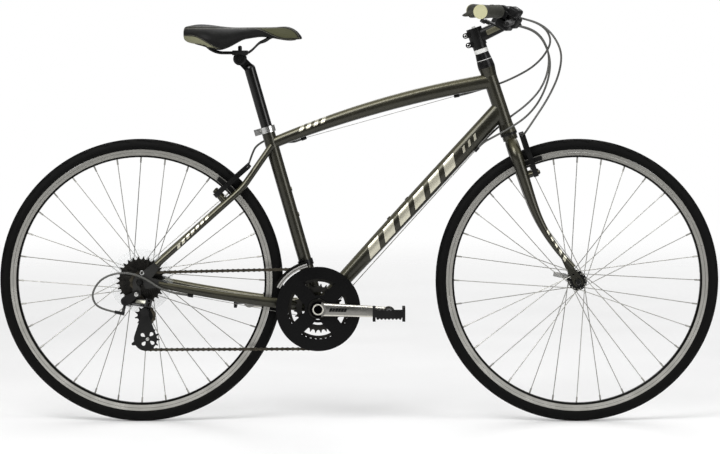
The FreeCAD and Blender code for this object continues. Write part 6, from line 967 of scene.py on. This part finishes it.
@dataclass
class Studio:
    """The pale floor, the soft lights and the camera."""

    floor_radius: float = 7.0
    floor_plain_radius: float = 2.2
    lamps: Sequence[Lamp] = (Lamp("key", (-2.2, -4.2, 4.2), (0.0, 0.0, 0.45), 3.4, 280.0),
                             Lamp("fill", (3.8, -3.4, 2.2), (0.1, 0.0, 0.5), 2.6, 90.0),
                             Lamp("back", (0.6, 4.4, 3.4), (0.0, 0.0, 0.5), 3.4, 50.0))
    horizon: Colour = (0.1, 0.1, 0.1)
    zenith: Colour = (0.8, 0.8, 0.8)
    sky_rise: Span = (-0.05, 0.85)
    backdrop: Colour = (1.0, 1.0, 1.0)
    camera_place: Point = (0.002, -9.0, 1.03)
    camera_aim: Point = (0.0018, 0.0, 0.472)
    lens: float = 186.0

    def build(self) -> None:
        """Make the floor, the lights, the surroundings and the camera."""
        self.lay_floor()
        for lamp in self.lamps:
            lamp.hang()
        self.surround()
        self.set_camera()
        bpy.context.scene.view_settings.view_transform = "Standard"

    def lay_floor(self) -> None:
        """Lay a wide pale floor."""
        form = bmesh.new()
        bmesh.ops.create_circle(form, cap_ends=True, segments=96, radius=self.floor_radius)
        mesh = bpy.data.meshes.new("floor")
        form.to_mesh(mesh)
        form.free()
        floor = link("floor", mesh)
        mesh.materials.append(self.floor_material())

    def floor_material(self) -> bpy.types.Material:
        """Return a pale finish that fades into the bright surrounding towards the floor's rim."""
        pale = Finish("pale_floor", (0.9, 0.9, 0.9), (0.88, 0.88, 0.88), smooth=0.4, rough=0.5,
                      tone_scale=2.0, scuffs=0.0, dust=0.0).material()
        sheet = Sheet(pale.node_tree)
        place = sheet.add("TexCoord").outputs["Object"]
        length = sheet.add("VectorMath", {0: place}, operation="LENGTH").outputs["Value"]
        shader = next(node for node in pale.node_tree.nodes if node.type == "BSDF_PRINCIPLED")
        fade = sheet.step(length, self.floor_radius, self.floor_plain_radius)
        sheet.feed(shader.inputs["Alpha"], fade)
        return pale

    def surround(self) -> None:
        """Set an even pale surrounding that is darker near the horizon in reflections."""
        world = bpy.data.worlds.new("pale_room")
        world.use_nodes = True
        world.node_tree.nodes.clear()
        sheet = Sheet(world.node_tree)
        direction = sheet.add("TexCoord").outputs["Generated"]
        shade = sheet.mix(sheet.step(sheet.split(direction)["Z"], *self.sky_rise), self.horizon, self.zenith)
        seen = sheet.add("LightPath").outputs["Is Camera Ray"]
        colour = sheet.mix(seen, shade, self.backdrop)
        back = sheet.add("Background", {"Color": colour, "Strength": 1.0})
        output = sheet.add("OutputWorld")
        sheet.feed(output.inputs["Surface"], back.outputs[0])
        bpy.context.scene.world = world

    def set_camera(self) -> None:
        """Set the camera at the photograph's angle."""
        data = bpy.data.cameras.new("camera")
        data.lens = self.lens
        data.sensor_width = 36.0
        data.clip_end = 200.0
        camera = link("camera", data)
        point_at(camera, self.camera_place, self.camera_aim)
        bpy.context.scene.camera = camera


# CAD nodes


@dataclass
class PlainDress:
    """The finishes of the CAD nodes that keep their own mesh."""

    nodes: dict[Finish, Sequence[str]] = field(default_factory=lambda: {
        PAINT: ("head_tube", "seat_tube", "bottom_bracket_shell", "chainstays", "fork_crown"),
        TOP_PAINT: ("top_tube",), DOWN_PAINT: ("down_tube",), STAY_PAINT: ("seatstays",),
        FORK_PAINT: ("fork_blades",), DROPOUT_GREY: ("dropouts",), POST_BLACK: ("seat_post",),
        HEADSET: ("headset_cover",), CLEAR: ("spoke_protector",), CRANK_SILVER: ("crank_arms",),
        GLOSS_PLASTIC: ("chain_guard",), CHAIN_STEEL: ("chain",), GEAR_STEEL: ("cassette",),
        GUIDE_SILVER: ("front_derailleur_cage",), RIM: ("front_rim", "rear_rim"),
        STEEL: ("front_spokes", "rear_spokes"),
        SILVER: ("seat_clamp", "front_release_lever", "rear_release_lever"),
        GEAR_GREY: ("derailleur_bracket", "derailleur_outer_link", "derailleur_inner_link",
                    "derailleur_knuckle", "derailleur_cage"),
        BLACK_PLASTIC: ("pedal_right", "pedal_left", "shift_lever_right", "shift_lever_left", "guide_pulley",
                        "tension_pulley", "control_brackets"),
        BLACK_METAL: ("bearing_cups", "rear_axle", "front_axle", "front_derailleur_mount", "handlebar",
                      "stem", "front_hub", "rear_hub", "brake_lever_right", "brake_lever_left",
                      "front_brake_arm_right", "front_brake_arm_left", "rear_brake_arm_right",
                      "rear_brake_arm_left"),
    })

    def build(self) -> None:
        """Give each of these nodes its finish."""
        for finish, nodes in self.nodes.items():
            for node in nodes:
                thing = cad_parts[node]
                if not thing.material_slots:
                    thing.data.materials.append(None)
                for place in thing.material_slots:
                    place.material = finish.material()
                log.info("%s: %s", node, finish.name)


# Wheels


@dataclass
class Tyre:
    """A road and trail tyre with small tread grooves across its crown."""

    name: str
    body: str
    node: str
    centre: Point
    radius: float = 0.343
    width: float = 0.032
    seat_radius: float = 0.3178
    steps: int = 240
    sections: int = 36
    groove_depth: float = 0.0011
    groove_edge: float = 0.0005
    groove_step: int = 6
    tread_angle: float = 62.0
    plain_band: int = 2
    wide_bands: tuple[int, int] = (3, 4)

    def build(self) -> bpy.types.Object:
        """Spin the tyre's section round the axle and sink its tread grooves.

        Returns:
            The tyre.
        """
        middle = self.radius - self.width / 2
        form = bmesh.new()
        circle = bmesh.ops.create_circle(form, segments=self.sections, radius=self.width / 2)
        for vert in circle["verts"]:
            across, out = vert.co.x, vert.co.y
            vert.co = (0.0, across, max(middle + out, self.seat_radius))
        bmesh.ops.spin(form, geom=form.verts[:] + form.edges[:], cent=(0.0, 0.0, 0.0), axis=SIDEWAYS,
                       angle=math.tau, steps=self.steps, use_merge=True)
        bmesh.ops.remove_doubles(form, verts=form.verts[:], dist=MERGE_DISTANCE)
        bmesh.ops.recalc_face_normals(form, faces=form.faces[:])
        grooves = [face for face in form.faces if self.is_groove(face)]
        bmesh.ops.inset_individual(form, faces=grooves, thickness=self.groove_edge, depth=-self.groove_depth)
        bmesh.ops.translate(form, verts=form.verts[:], vec=self.centre)
        return add_piece(self.name, form, [TYRE], self.body, [self.node], OWN_CREASE)

    def is_groove(self, face: bmesh.types.BMFace) -> bool:
        """Tell whether a face of the spun tyre is sunk as a groove."""
        place = face.calc_center_median()
        out = math.hypot(place.x, place.z) - (self.radius - self.width / 2)
        lean = math.degrees(math.atan2(place.y, out))
        band = round(abs(lean) / (360.0 / self.sections) + 0.5)
        if abs(lean) > self.tread_angle or band == self.plain_band:
            return False
        turn = int((math.atan2(place.z, place.x) / math.tau + 0.5) * self.steps)
        shift = 0 if lean > 0 else self.groove_step // 2
        return (turn + band + shift) % self.groove_step < (2 if band in self.wide_bands else 1)


# Drive


@dataclass
class Chainrings:
    """The chainrings on their spider, with slimmer webs in the two larger rings."""

    webs: Sequence[Span] = ((0.053, 0.0655), (0.068, 0.079))
    reach: float = 0.0004

    def build(self) -> bpy.types.Object:
        """Copy the rings and widen the inner edge of the larger ones.

        Returns:
            The copy.
        """
        form = node_form("chainrings")
        for group in islands(form):
            spokes = [(vert, self.spoke(vert)) for vert in face_points(group)]
            inner = min(spoke.length for _, spoke in spokes)
            for old, new in self.webs:
                if abs(inner - old) < self.reach:
                    for vert, spoke in spokes:
                        if spoke.length < old + self.reach:
                            vert.co += spoke * (new / spoke.length - 1.0)
        return add_piece("open_chainrings", form, [GEAR_STEEL], "crankset", ["chainrings"],
                         CAD_CREASE)

    def spoke(self, vert: bmesh.types.BMVert) -> Vector:
        """Return the way from the crank's axle straight out to a point."""
        way = vert.co - Vector(CRANK_CENTRE)
        return Vector((way.x, 0.0, way.z))


# Seat


def rise(value: float, low: float, high: float) -> float:
    """Return a smooth rise from 0 at low to 1 at high."""
    share = min(max((value - low) / (high - low), 0.0), 1.0)
    return share * share * (3.0 - 2.0 * share)


@dataclass(frozen=True)
class SaddleShape:
    """The saddle's slim middle and drooping nose, drawn from the full depth of its cover."""

    top: float = 0.957
    slimmed_share: float = 0.45
    slim_rear: Span = (-0.345, -0.27)
    slim_front: Span = (-0.245, -0.15)
    nose_start: float = -0.19
    nose_length: float = 0.054
    nose_foot: float = 0.925
    tip_share: float = 0.28
    rail_start: Span = (-0.272, -0.238)
    rail_lift: float = 0.0208
    rail_bend: Span = (-0.2403, -0.2143)
    rail_fall: float = 0.0088

    def moved(self, place: Vector) -> Vector:
        """Return where a point of the cover or of its base comes to lie."""
        middle = rise(place.x, *self.slim_rear) * (1.0 - rise(place.x, *self.slim_front))
        height = self.top - (self.top - place.z) * (1.0 - self.slimmed_share * middle)
        ahead = (place.x - self.nose_start) / self.nose_length
        if ahead > 0.0 and height > self.nose_foot:
            droop = max(math.sqrt(max(1.0 - ahead * ahead, 0.0)), self.tip_share)
            height = self.nose_foot + (height - self.nose_foot) * droop
        return Vector((place.x, place.y, height))

    def lifted(self, place: Vector) -> Vector:
        """Return where a point of a rail comes to lie."""
        lift = self.rail_lift * rise(place.x, *self.rail_start)
        fall = self.rail_fall * rise(place.x, *self.rail_bend)
        return place + Vector((0.0, 0.0, lift - fall))


@dataclass
class SaddleFrame:
    """The saddle's base and rails, drawn up with the slim cover, and the clamp with its bolt."""

    shape: SaddleShape = SaddleShape()
    base_width: float = 0.1
    rail_length: float = 0.15
    rail_cuts: int = 16

    def build(self) -> bpy.types.Object:
        """Copy the base, the rails and the clamp and move the first two.

        Returns:
            The copy.
        """
        form = node_form("saddle_frame")
        self.cut_rails(form)
        places: dict[bmesh.types.BMVert, Vector] = {}
        for group in islands(form):
            low, high = corners(group)
            size = high - low
            if size.y > self.base_width:
                places.update((vert, self.shape.moved(vert.co)) for vert in face_points(group))
            elif size.x > self.rail_length:
                for face in group:
                    face.material_index = 1
                # A point that a rail shares with the base goes with the base
                for vert in face_points(group):
                    places.setdefault(vert, self.shape.lifted(vert.co))
        for vert, place in places.items():
            vert.co = place
        return add_piece("saddle_underframe", form, [BLACK_PLASTIC, BLACK_METAL], "saddle",
                         ["saddle_frame"], CAD_CREASE)

    def cut_rails(self, form: bmesh.types.BMesh) -> None:
        """Cut the long faces of the rails across, so that they can bend."""
        start, end = self.shape.rail_start[0], self.shape.rail_bend[1]
        rails = []
        for group in islands(form):
            low, high = corners(group)
            if high.y - low.y < self.base_width and high.x - low.x > self.rail_length:
                rails += group
        for index in range(self.rail_cuts + 1):
            ahead = start + (end - start) * index / self.rail_cuts
            edges = dict.fromkeys(edge for face in rails for edge in face.edges)
            cut = bmesh.ops.bisect_plane(form, geom=[*rails, *edges, *face_points(rails)],
                                         plane_co=(ahead, 0.0, 0.0), plane_no=(1.0, 0.0, 0.0),
                                         dist=MERGE_DISTANCE)
            rails = [part for part in cut["geom"] if isinstance(part, bmesh.types.BMFace)]


@dataclass
class SaddlePad:
    """The saddle's padded cover, swelled as cloth from the CAD cover."""

    shape: SaddleShape = SaddleShape()
    voxel: float = 0.004
    cap: float = 0.006
    frames: int = 20
    pressure: float = 4.0
    quality: int = 5
    under_normal: float = -0.35
    edge_height: float = 0.01
    rounds: int = 3

    def build(self) -> bpy.types.Object:
        """Copy the CAD cover, swell it and give it its panels.

        Returns:
            The cover.
        """
        form = node_form("saddle_cover")
        pad = add_piece("saddle_pad", form, [SADDLE], "saddle", ["saddle_cover"])
        even_out(pad, self.voxel)
        self.swell(pad)
        self.smooth(pad)
        return pad

    def swell(self, pad: bpy.types.Object) -> None:
        """Run the cloth under pressure and keep each point within the cap."""
        rest = [vert.co.copy() for vert in pad.data.vertices]
        low = min(place.z for place in rest)
        group = pad.vertex_groups.new(name="edge")
        for vert in pad.data.vertices:
            if vert.normal.z < self.under_normal or vert.co.z < low + self.edge_height:
                group.add([vert.index], 1.0, "REPLACE")
        change = pad.modifiers.new("swell", "CLOTH")
        settings = change.settings
        settings.use_pressure = True
        settings.uniform_pressure_force = self.pressure
        settings.effector_weights.gravity = 0.0
        settings.vertex_group_mass = "edge"
        settings.quality = self.quality
        change.collision_settings.use_collision = False
        scene = bpy.context.scene
        for moment in range(1, self.frames + 1):
            scene.frame_set(moment)
        swelled = final_mesh(pad)
        moved = [vert.co.copy() for vert in swelled.vertices]
        pad.modifiers.clear()
        scene.frame_set(1)
        bpy.data.meshes.remove(swelled)
        for vert, place, goal in zip(pad.data.vertices, rest, moved):
            step = goal - place
            if step.length > self.cap:
                step *= self.cap / step.length
            vert.co = place + step

    def smooth(self, pad: bpy.types.Object) -> None:
        """Slim the pad, soften its faces and add one subdivision."""
        form = bmesh.new()
        form.from_mesh(pad.data)
        for vert in form.verts:
            vert.co = self.shape.moved(vert.co)
        relax(form, self.rounds)
        for face in form.faces:
            face.smooth = True
        form.to_mesh(pad.data)
        form.free()
        change = pad.modifiers.new("finer", "SUBSURF")
        change.levels = change.render_levels = 1
        settle(pad)


# Cables


@dataclass
class Housing:
    """A cable housing on a smooth line through its route."""

    name: str
    route: Sequence[Point]
    length: float
    bodies: Sequence[str]
    bend: tuple[int, int] = (2, -2)
    diameter: float = 0.005
    smoothness: int = 10
    roundness: int = 4

    def spline(self, name: str, depth: float) -> bpy.types.Object:
        """Return a curve with the route as its control points.

        Args:
            name: The curve's name.
            depth: The radius of its round section, or zero for a bare line.

        Returns:
            The curve, not yet on a body.
        """
        curve = bpy.data.curves.new(name, "CURVE")
        curve.dimensions = "3D"
        curve.resolution_u = self.smoothness
        curve.bevel_depth = depth
        curve.bevel_resolution = self.roundness
        curve.use_fill_caps = depth > 0
        line = curve.splines.new("NURBS")
        line.points.add(len(self.route) - 1)
        for knot, place in zip(line.points, self.route):
            knot.co = (*place, 1.0)
        line.order_u = 3
        line.use_endpoint_u = True
        return link(name, curve)

    def build(self, replaced: Sequence[str]) -> bpy.types.Object:
        """Make the housing as a mesh tube on its body, or on no body where it crosses a joint.

        Args:
            replaced: The CAD nodes that it stands for.

        Returns:
            The housing.
        """
        bare = self.spline(self.name + "_line", 0.0)
        full = self.spline(self.name + "_round", self.diameter / 2)
        path = [vert.co.copy() for vert in final_mesh(bare).vertices]
        tube = final_mesh(full)
        for line in (bare, full):
            bpy.data.objects.remove(line)
        thing = link(self.name, tube)
        for face in tube.polygons:
            face.use_smooth = True
        if len(self.bodies) == 2:
            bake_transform(thing)
        else:
            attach(thing, self.bodies[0])
        tube.materials.clear()
        tube.materials.append(HOUSING.material())
        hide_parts(*replaced)
        log.info("%s: %d points", self.name, len(self.route))
        return thing


FRONT_BRAKE_ROUTE: Sequence[Point] = (
    (0.3704, 0.1299, 0.9808), (0.3804, 0.1037, 0.9808), (0.452, 0.078, 0.962), (0.492, 0.042, 0.905),
    (0.486, -0.008, 0.85), (0.458, -0.044, 0.79), (0.4144, -0.0557, 0.7253), (0.3942, -0.057, 0.6956),
    (0.3942, -0.027, 0.6956))
REAR_BRAKE_ROUTE: Sequence[Point] = (
    (0.3704, -0.1299, 0.9808), (0.3804, -0.1037, 0.9808), (0.44, -0.088, 0.962), (0.463, -0.066, 0.925),
    (0.446, -0.04, 0.888), (0.42, -0.008, 0.86), (0.384, 0.018, 0.838), (0.34, 0.029, 0.818),
    (0.285, 0.02, 0.802), (0.2567, 0.005, 0.794), (0.242, 0.005, 0.791))
LEFT_SHIFT_ROUTE: Sequence[Point] = (
    (0.3609, 0.1134, 0.9629), (0.371, 0.0872, 0.9629), (0.432, 0.078, 0.948), (0.46, 0.066, 0.905),
    (0.462, 0.05, 0.858), (0.444, 0.038, 0.808), (0.408, 0.033, 0.768), (0.362, 0.032, 0.735),
    (0.318, 0.022, 0.696), (0.2984, 0.009, 0.6764), (0.2883, 0.009, 0.6653))
RIGHT_SHIFT_ROUTE: Sequence[Point] = (
    (0.3609, -0.1134, 0.9629), (0.371, -0.0872, 0.9629), (0.43, -0.08, 0.944), (0.458, -0.068, 0.89),
    (0.458, -0.054, 0.84), (0.438, -0.044, 0.784), (0.406, -0.038, 0.742), (0.362, -0.032, 0.712),
    (0.318, -0.022, 0.688), (0.2984, -0.009, 0.6764), (0.2883, -0.009, 0.6653))
SEAT_TUBE_ROUTE: Sequence[Point] = (
    (-0.1401, 0.005, 0.6843), (-0.1542, 0.005, 0.679), (-0.16, 0.009, 0.678), (-0.19, 0.023, 0.676),
    (-0.222, 0.028, 0.685), (-0.25, 0.037, 0.668), (-0.259, 0.0498, 0.6516), (-0.2706, 0.057, 0.6183),
    (-0.2706, 0.027, 0.6183))
GEAR_LOOP_ROUTE: Sequence[Point] = (
    (-0.4133, -0.0618, 0.3113), (-0.44, -0.07, 0.315), (-0.478, -0.084, 0.328), (-0.52, -0.091, 0.358),
    (-0.568, -0.091, 0.37), (-0.618, -0.088, 0.356), (-0.643, -0.084, 0.32), (-0.638, -0.079, 0.292),
    (-0.6159, -0.075, 0.2776), (-0.5885, -0.075, 0.2718))


@dataclass
class Cables:
    """All the housings, and the stops and bare wires that they end in."""

    housing_length: float = 0.06
    housing_girth: float = 0.0095
    wire_length: float = 0.03
    wire_girth: float = 0.0075

    def build(self) -> None:
        """Lay the six housings and copy the stops and wires."""
        crossing = ("steering", "frame")
        Housing("front_brake_housing", FRONT_BRAKE_ROUTE, 0.465, ("steering",)).build(["front_brake_cable"])
        Housing("rear_brake_housing", REAR_BRAKE_ROUTE, 0.436, crossing).build(["steering_cables"])
        Housing("left_shift_housing", LEFT_SHIFT_ROUTE, 0.4566, crossing).build(["steering_cables"])
        Housing("right_shift_housing", RIGHT_SHIFT_ROUTE, 0.4554, crossing).build(["steering_cables"])
        Housing("seat_tube_housing", SEAT_TUBE_ROUTE, 0.2009, ("frame",)).build(["frame_cables"])
        Housing("gear_loop_housing", GEAR_LOOP_ROUTE, 0.3452, ("frame", "derailleur_bracket"),
                bend=(1, -1)).build(["frame_cables"])
        self.keep("cable_stops", "frame_cables", "frame")
        self.keep("brake_bridge_wire", "front_brake_cable", "steering")

    def keep(self, name: str, node: str, body: str) -> None:
        """Copy a node's stops and wires without its housings.

        Args:
            name: The new piece's name.
            node: The CAD node that holds them.
            body: The body that carries them.
        """
        form = node_form(node)
        dropped = []
        for group in islands(form):
            low, high = corners(group)
            length = (high - low).length
            girth = sum(face.calc_area() for face in group) / length
            if length > self.housing_length and girth > self.housing_girth:
                dropped += group
            elif length > self.wire_length and girth < self.wire_girth:
                for face in group:
                    face.material_index = 1
        bmesh.ops.delete(form, geom=dropped, context="FACES")
        add_piece(name, form, [BLACK_METAL, STEEL], body, [node], CAD_CREASE)


# Trim


@dataclass
class Fastener:
    """A socket screw or an eyelet ring."""

    name: str
    body: str
    place: Point
    axis: Point
    radius: float
    height: float
    bore: float = 0.0
    finish: Finish = SILVER
    slot: str = "silver"
    rim_share: float = 0.25
    chamfer_share: float = 0.3
    socket_share: float = 0.5
    floor_share: float = 0.35

    def build(self) -> bpy.types.Object:
        """Turn the head with its rounded rim and its socket or bore.

        Returns:
            The fastener.
        """
        rim = self.height * self.rim_share
        chamfer = rim * self.chamfer_share
        socket = self.bore or self.radius * self.socket_share
        floor = 0.0 if self.bore else self.height * self.floor_share
        profile = [(socket, floor), (socket, self.height), (self.radius - rim, self.height),
                   (self.radius - chamfer, self.height - chamfer), (self.radius, self.height - rim),
                   (self.radius, 0.0)]
        profile = [*profile, (socket, 0.0)] if self.bore else [(0.0, floor), *profile, (0.0, 0.0)]
        form = turned(profile, self.place, self.axis)
        return add_piece(self.name, form, [self.finish], self.body, crease=OWN_CREASE)


@dataclass
class Trim:
    """The screws, the stem's side panels, the derailleur's badge and the pedals' end plates."""

    stem_centre: Point = (0.2839, 0.0, 0.9307)
    screw_step: float = 0.012
    screw_back: float = 0.025
    screw_side: float = 0.0132
    stem_screw: Span = (0.00445, 0.0054)
    clamp_top: Point = (-0.2883, 0.0, 0.8985)
    clamp_bolt: Span = (0.0048, 0.0125)
    hanger_eye: Point = (-0.536, -0.0859, 0.315)
    hanger_screw: Span = (0.0052, 0.0022)
    tension_axle: Point = (-0.5106, -0.0645, 0.2053)
    pulley_screw: Span = (0.0042, 0.0018)
    eyelet: Point = (-0.523, 0.0735, 0.366)
    eyelet_ring: Span = (0.0056, 0.0006)
    eyelet_bore: float = 0.0027
    stem_angle: float = math.radians(25.5)
    stem_side: float = 0.0149
    panel_start: float = 0.026
    panel_end: float = 0.064
    panel_half_height: float = 0.0064
    panel_corner: float = 0.002
    panel_thickness: float = 0.0011
    panel_edge: float = 0.0003
    badge_centre: Point = (-0.5256, -0.0849, 0.2971)
    badge_along: Point = (0.936, -0.3415, -0.0879)
    badge_out: Point = (-0.2917, -0.8898, 0.3512)
    badge_half: Span = (0.0125, 0.0042)
    badge_corner: float = 0.0015
    badge_thickness: float = 0.0008
    badge_edge: float = 0.0002
    pedal_end: float = 0.159
    pedal_half: Span = (0.031, 0.012)
    pedal_teeth: int = 7
    tooth: Sequence[Span] = ((0.1, 0.78), (0.35, 1.0), (0.65, 1.0), (0.9, 0.78))
    pedal_plate: float = 0.0024
    pedal_gap: float = 0.0002
    pedal_edge: float = 0.0004
    corner_steps: int = 4

    def build(self) -> None:
        """Make every piece of trim."""
        for fastener in self.fasteners():
            fastener.build()
        for side, name in SIDES:
            self.panel(side, "stem_panel_" + name)
            self.pedal_end_plate(side, name)
        self.badge()

    def fasteners(self) -> list[Fastener]:
        """Return the screws and the eyelet rings."""
        right = (0.0, -1.0, 0.0)
        made = [
            Fastener("saddle_clamp_bolt", "saddle", self.clamp_top, UPWARD, *self.clamp_bolt,
                     finish=BLACK_METAL, slot="black_metal"),
            Fastener("hanger_screw", "derailleur_bracket", self.hanger_eye, right, *self.hanger_screw),
            Fastener("tension_pulley_screw", "derailleur_cage", self.tension_axle, right, *self.pulley_screw)]
        for name, step in (("upper", self.screw_step), ("lower", -self.screw_step)):
            place = Vector(self.stem_centre) + Vector(STEERER_UP) * step
            place += Vector(STEERER_AHEAD) * -self.screw_back + Vector(right) * self.screw_side
            made.append(Fastener("stem_screw_" + name, "steering", tuple(place), right, *self.stem_screw))
        ahead, aside, above = self.eyelet
        for side, name in SIDES:
            made.append(Fastener("dropout_eyelet_" + name, "frame", (ahead, side * aside, above),
                                 (0.0, side, 0.0), *self.eyelet_ring, bore=self.eyelet_bore))
        return made

    def panel(self, side: float, name: str) -> None:
        """Lay a long panel with round corners on one side of the stem."""
        along = Vector((math.cos(self.stem_angle), 0.0, math.sin(self.stem_angle)))
        middle = Vector(self.stem_centre) + along * ((self.panel_start + self.panel_end) / 2)
        half = (self.panel_end - self.panel_start) / 2
        place = (middle.x, side * self.stem_side, middle.z)
        form = plate(self.rounded(half, self.panel_half_height, self.panel_corner), self.panel_thickness,
                     self.panel_edge, axes(place, tuple(along), (0.0, side, 0.0)))
        add_piece(name, form, [PANEL], "steering", crease=OWN_CREASE)

    def badge(self) -> None:
        """Lay a small plain badge on the derailleur's outer link."""
        form = plate(self.rounded(*self.badge_half, self.badge_corner), self.badge_thickness, self.badge_edge,
                     axes(self.badge_centre, self.badge_along, self.badge_out))
        add_piece("derailleur_badge", form, [BADGE], "derailleur_outer_link", crease=OWN_CREASE)

    def pedal_end_plate(self, side: float, name: str) -> None:
        """Set a toothed plate on the outer end of a pedal."""
        low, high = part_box("pedal_" + name)
        middle = (Vector(low) + Vector(high)) / 2
        length, height = self.pedal_half
        step = 2 * length / self.pedal_teeth
        upper = [(step * (index + along) - length, height * share)
                 for index in range(self.pedal_teeth) for along, share in self.tooth]
        outline = upper + [(x, -y) for x, y in reversed(upper)]
        place = (middle.x, side * (self.pedal_end - self.pedal_plate), middle.z)
        form = plate(outline, self.pedal_plate - self.pedal_gap, self.pedal_edge,
                     axes(place, (1.0, 0.0, 0.0), (0.0, side, 0.0)))
        add_piece("pedal_plate_" + name, form, [BLACK_METAL], "pedal_" + name,
                  crease=OWN_CREASE)

    def rounded(self, half_length: float, half_height: float, radius: float) -> list[Span]:
        """Return a rectangle's outline with round corners."""
        outline = []
        for corner, (x, y) in enumerate(((1, 1), (-1, 1), (-1, -1), (1, -1))):
            for step in range(self.corner_steps + 1):
                turn = math.radians(90.0 * (corner + step / self.corner_steps))
                outline.append((x * (half_length - radius) + radius * math.cos(turn),
                                y * (half_height - radius) + radius * math.sin(turn)))
        return outline


# Controls


@dataclass
class ControlCovers:
    """The moulded hood on each brake lever's bracket and the cover of each shifter pod."""

    tilt: Point = (0.49, 0.19, 0.85)
    hood_centre: Point = (0.3705, 0.1505, 0.9925)
    hood_half: Point = (0.02, 0.0135, 0.0105)
    pod_centre: Point = (0.3665, 0.13, 0.9715)
    pod_half: Point = (0.018, 0.0155, 0.0145)
    edge: float = 0.006
    edge_steps: int = 4
    lid_flatness: float = 0.999
    lid_margin: float = 0.00088
    lid_depth: float = 0.0007
    screw_sink: float = 0.001
    screw: Span = (0.0028, 0.0012)

    def build(self) -> None:
        """Make both covers on each side, with a screw in each hood."""
        for side, name in SIDES:
            self.cover("lever_hood_" + name, side, self.hood_centre, self.hood_half)
            self.cover("shifter_cover_" + name, side, self.pod_centre, self.pod_half)
            up = mirrored(self.tilt, side)
            place = mirrored(self.hood_centre, side) + up.normalized() * (self.hood_half[2] - self.screw_sink)
            Fastener("hood_screw_" + name, "steering", tuple(place), tuple(up), *self.screw).build()

    def cover(self, name: str, side: float, centre: Point, half: Point) -> None:
        """Make one rounded cover with a sunken lid.

        Args:
            name: The cover's name.
            side: -1 for the right side and 1 for the left.
            centre: Its centre on the left side.
            half: Half its length along the bar, its depth and its height.
        """
        outward = Vector((-math.sin(BAR_SWEEP), side * math.cos(BAR_SWEEP), 0.0))
        up = mirrored(self.tilt, side)
        along = outward - up.normalized() * outward.dot(up.normalized())
        form = bmesh.new()
        bmesh.ops.create_cube(form, size=2.0)
        bmesh.ops.scale(form, vec=half, verts=form.verts[:])
        round_edges(form, self.edge, self.edge_steps)
        form.normal_update()
        lids = [face for face in form.faces if max(abs(part) for part in face.normal) > self.lid_flatness]
        bmesh.ops.inset_individual(form, faces=lids, thickness=self.lid_margin, depth=-self.lid_depth)
        bmesh.ops.transform(form, matrix=axes(tuple(mirrored(centre, side)), tuple(along), tuple(up)),
                            verts=form.verts[:])
        add_piece(name, form, [BLACK_PLASTIC], "steering", crease=OWN_CREASE)


# Grips


@dataclass
class Grips:
    """The two palm grips with fine ribs and cream end caps."""

    voxel: float = 0.0013
    rib_depth: float = 0.0006
    rib_pitch: float = 0.005
    bar_end: Point = (0.2836, 0.2968, 0.994)
    ribbed: Span = (0.012, 0.106)
    cap_length: float = 0.06
    rounds: int = 2

    def build(self) -> None:
        """Copy the grips, rib them and copy their caps."""
        rubber, caps = node_form("grips"), node_form("grips")
        for form, wanted in ((rubber, True), (caps, False)):
            dropped = []
            for group in islands(form):
                low, high = corners(group)
                if ((high - low).length > self.cap_length) != wanted:
                    dropped += group
            bmesh.ops.delete(form, geom=dropped, context="FACES")
        add_piece("grip_caps", caps, [CREAM], "steering", ["grips"], CAD_CREASE)
        grips = add_piece("grip_rubber", rubber, [GRIP], "steering", ["grips"])
        self.rib(grips)

    def rib(self, grips: bpy.types.Object) -> None:
        """Even out the grips' mesh and press the ribs into it."""
        even_out(grips, self.voxel)
        form = bmesh.new()
        form.from_mesh(grips.data)
        relax(form, self.rounds)
        form.normal_update()
        low, high = self.ribbed
        for vert in form.verts:
            side = math.copysign(1.0, vert.co.y)
            inward = Vector((math.sin(BAR_SWEEP), -side * math.cos(BAR_SWEEP), 0.0))
            reach = (vert.co - mirrored(self.bar_end, side)).dot(inward)
            if low < reach < high:
                wave = 0.5 + 0.5 * math.cos(math.tau * reach / self.rib_pitch)
                vert.co -= vert.normal * (self.rib_depth * wave)
        for face in form.faces:
            face.smooth = True
        form.to_mesh(grips.data)
        form.free()


def main() -> None:
    """Build every sub-assembly in order."""
    logging.basicConfig(level=logging.INFO, format="%(message)s")
    Studio().build()
    PlainDress().build()
    Tyre("front_tread_tyre", "front_wheel", "front_tyre", FRONT_AXLE).build()
    Tyre("rear_tread_tyre", "rear_wheel", "rear_tyre", REAR_AXLE).build()
    Chainrings().build()
    Cables().build()
    Trim().build()
    ControlCovers().build()
    Grips().build()
    SaddleFrame().build()
    SaddlePad().build()


if __name__ == "__main__":
    main()
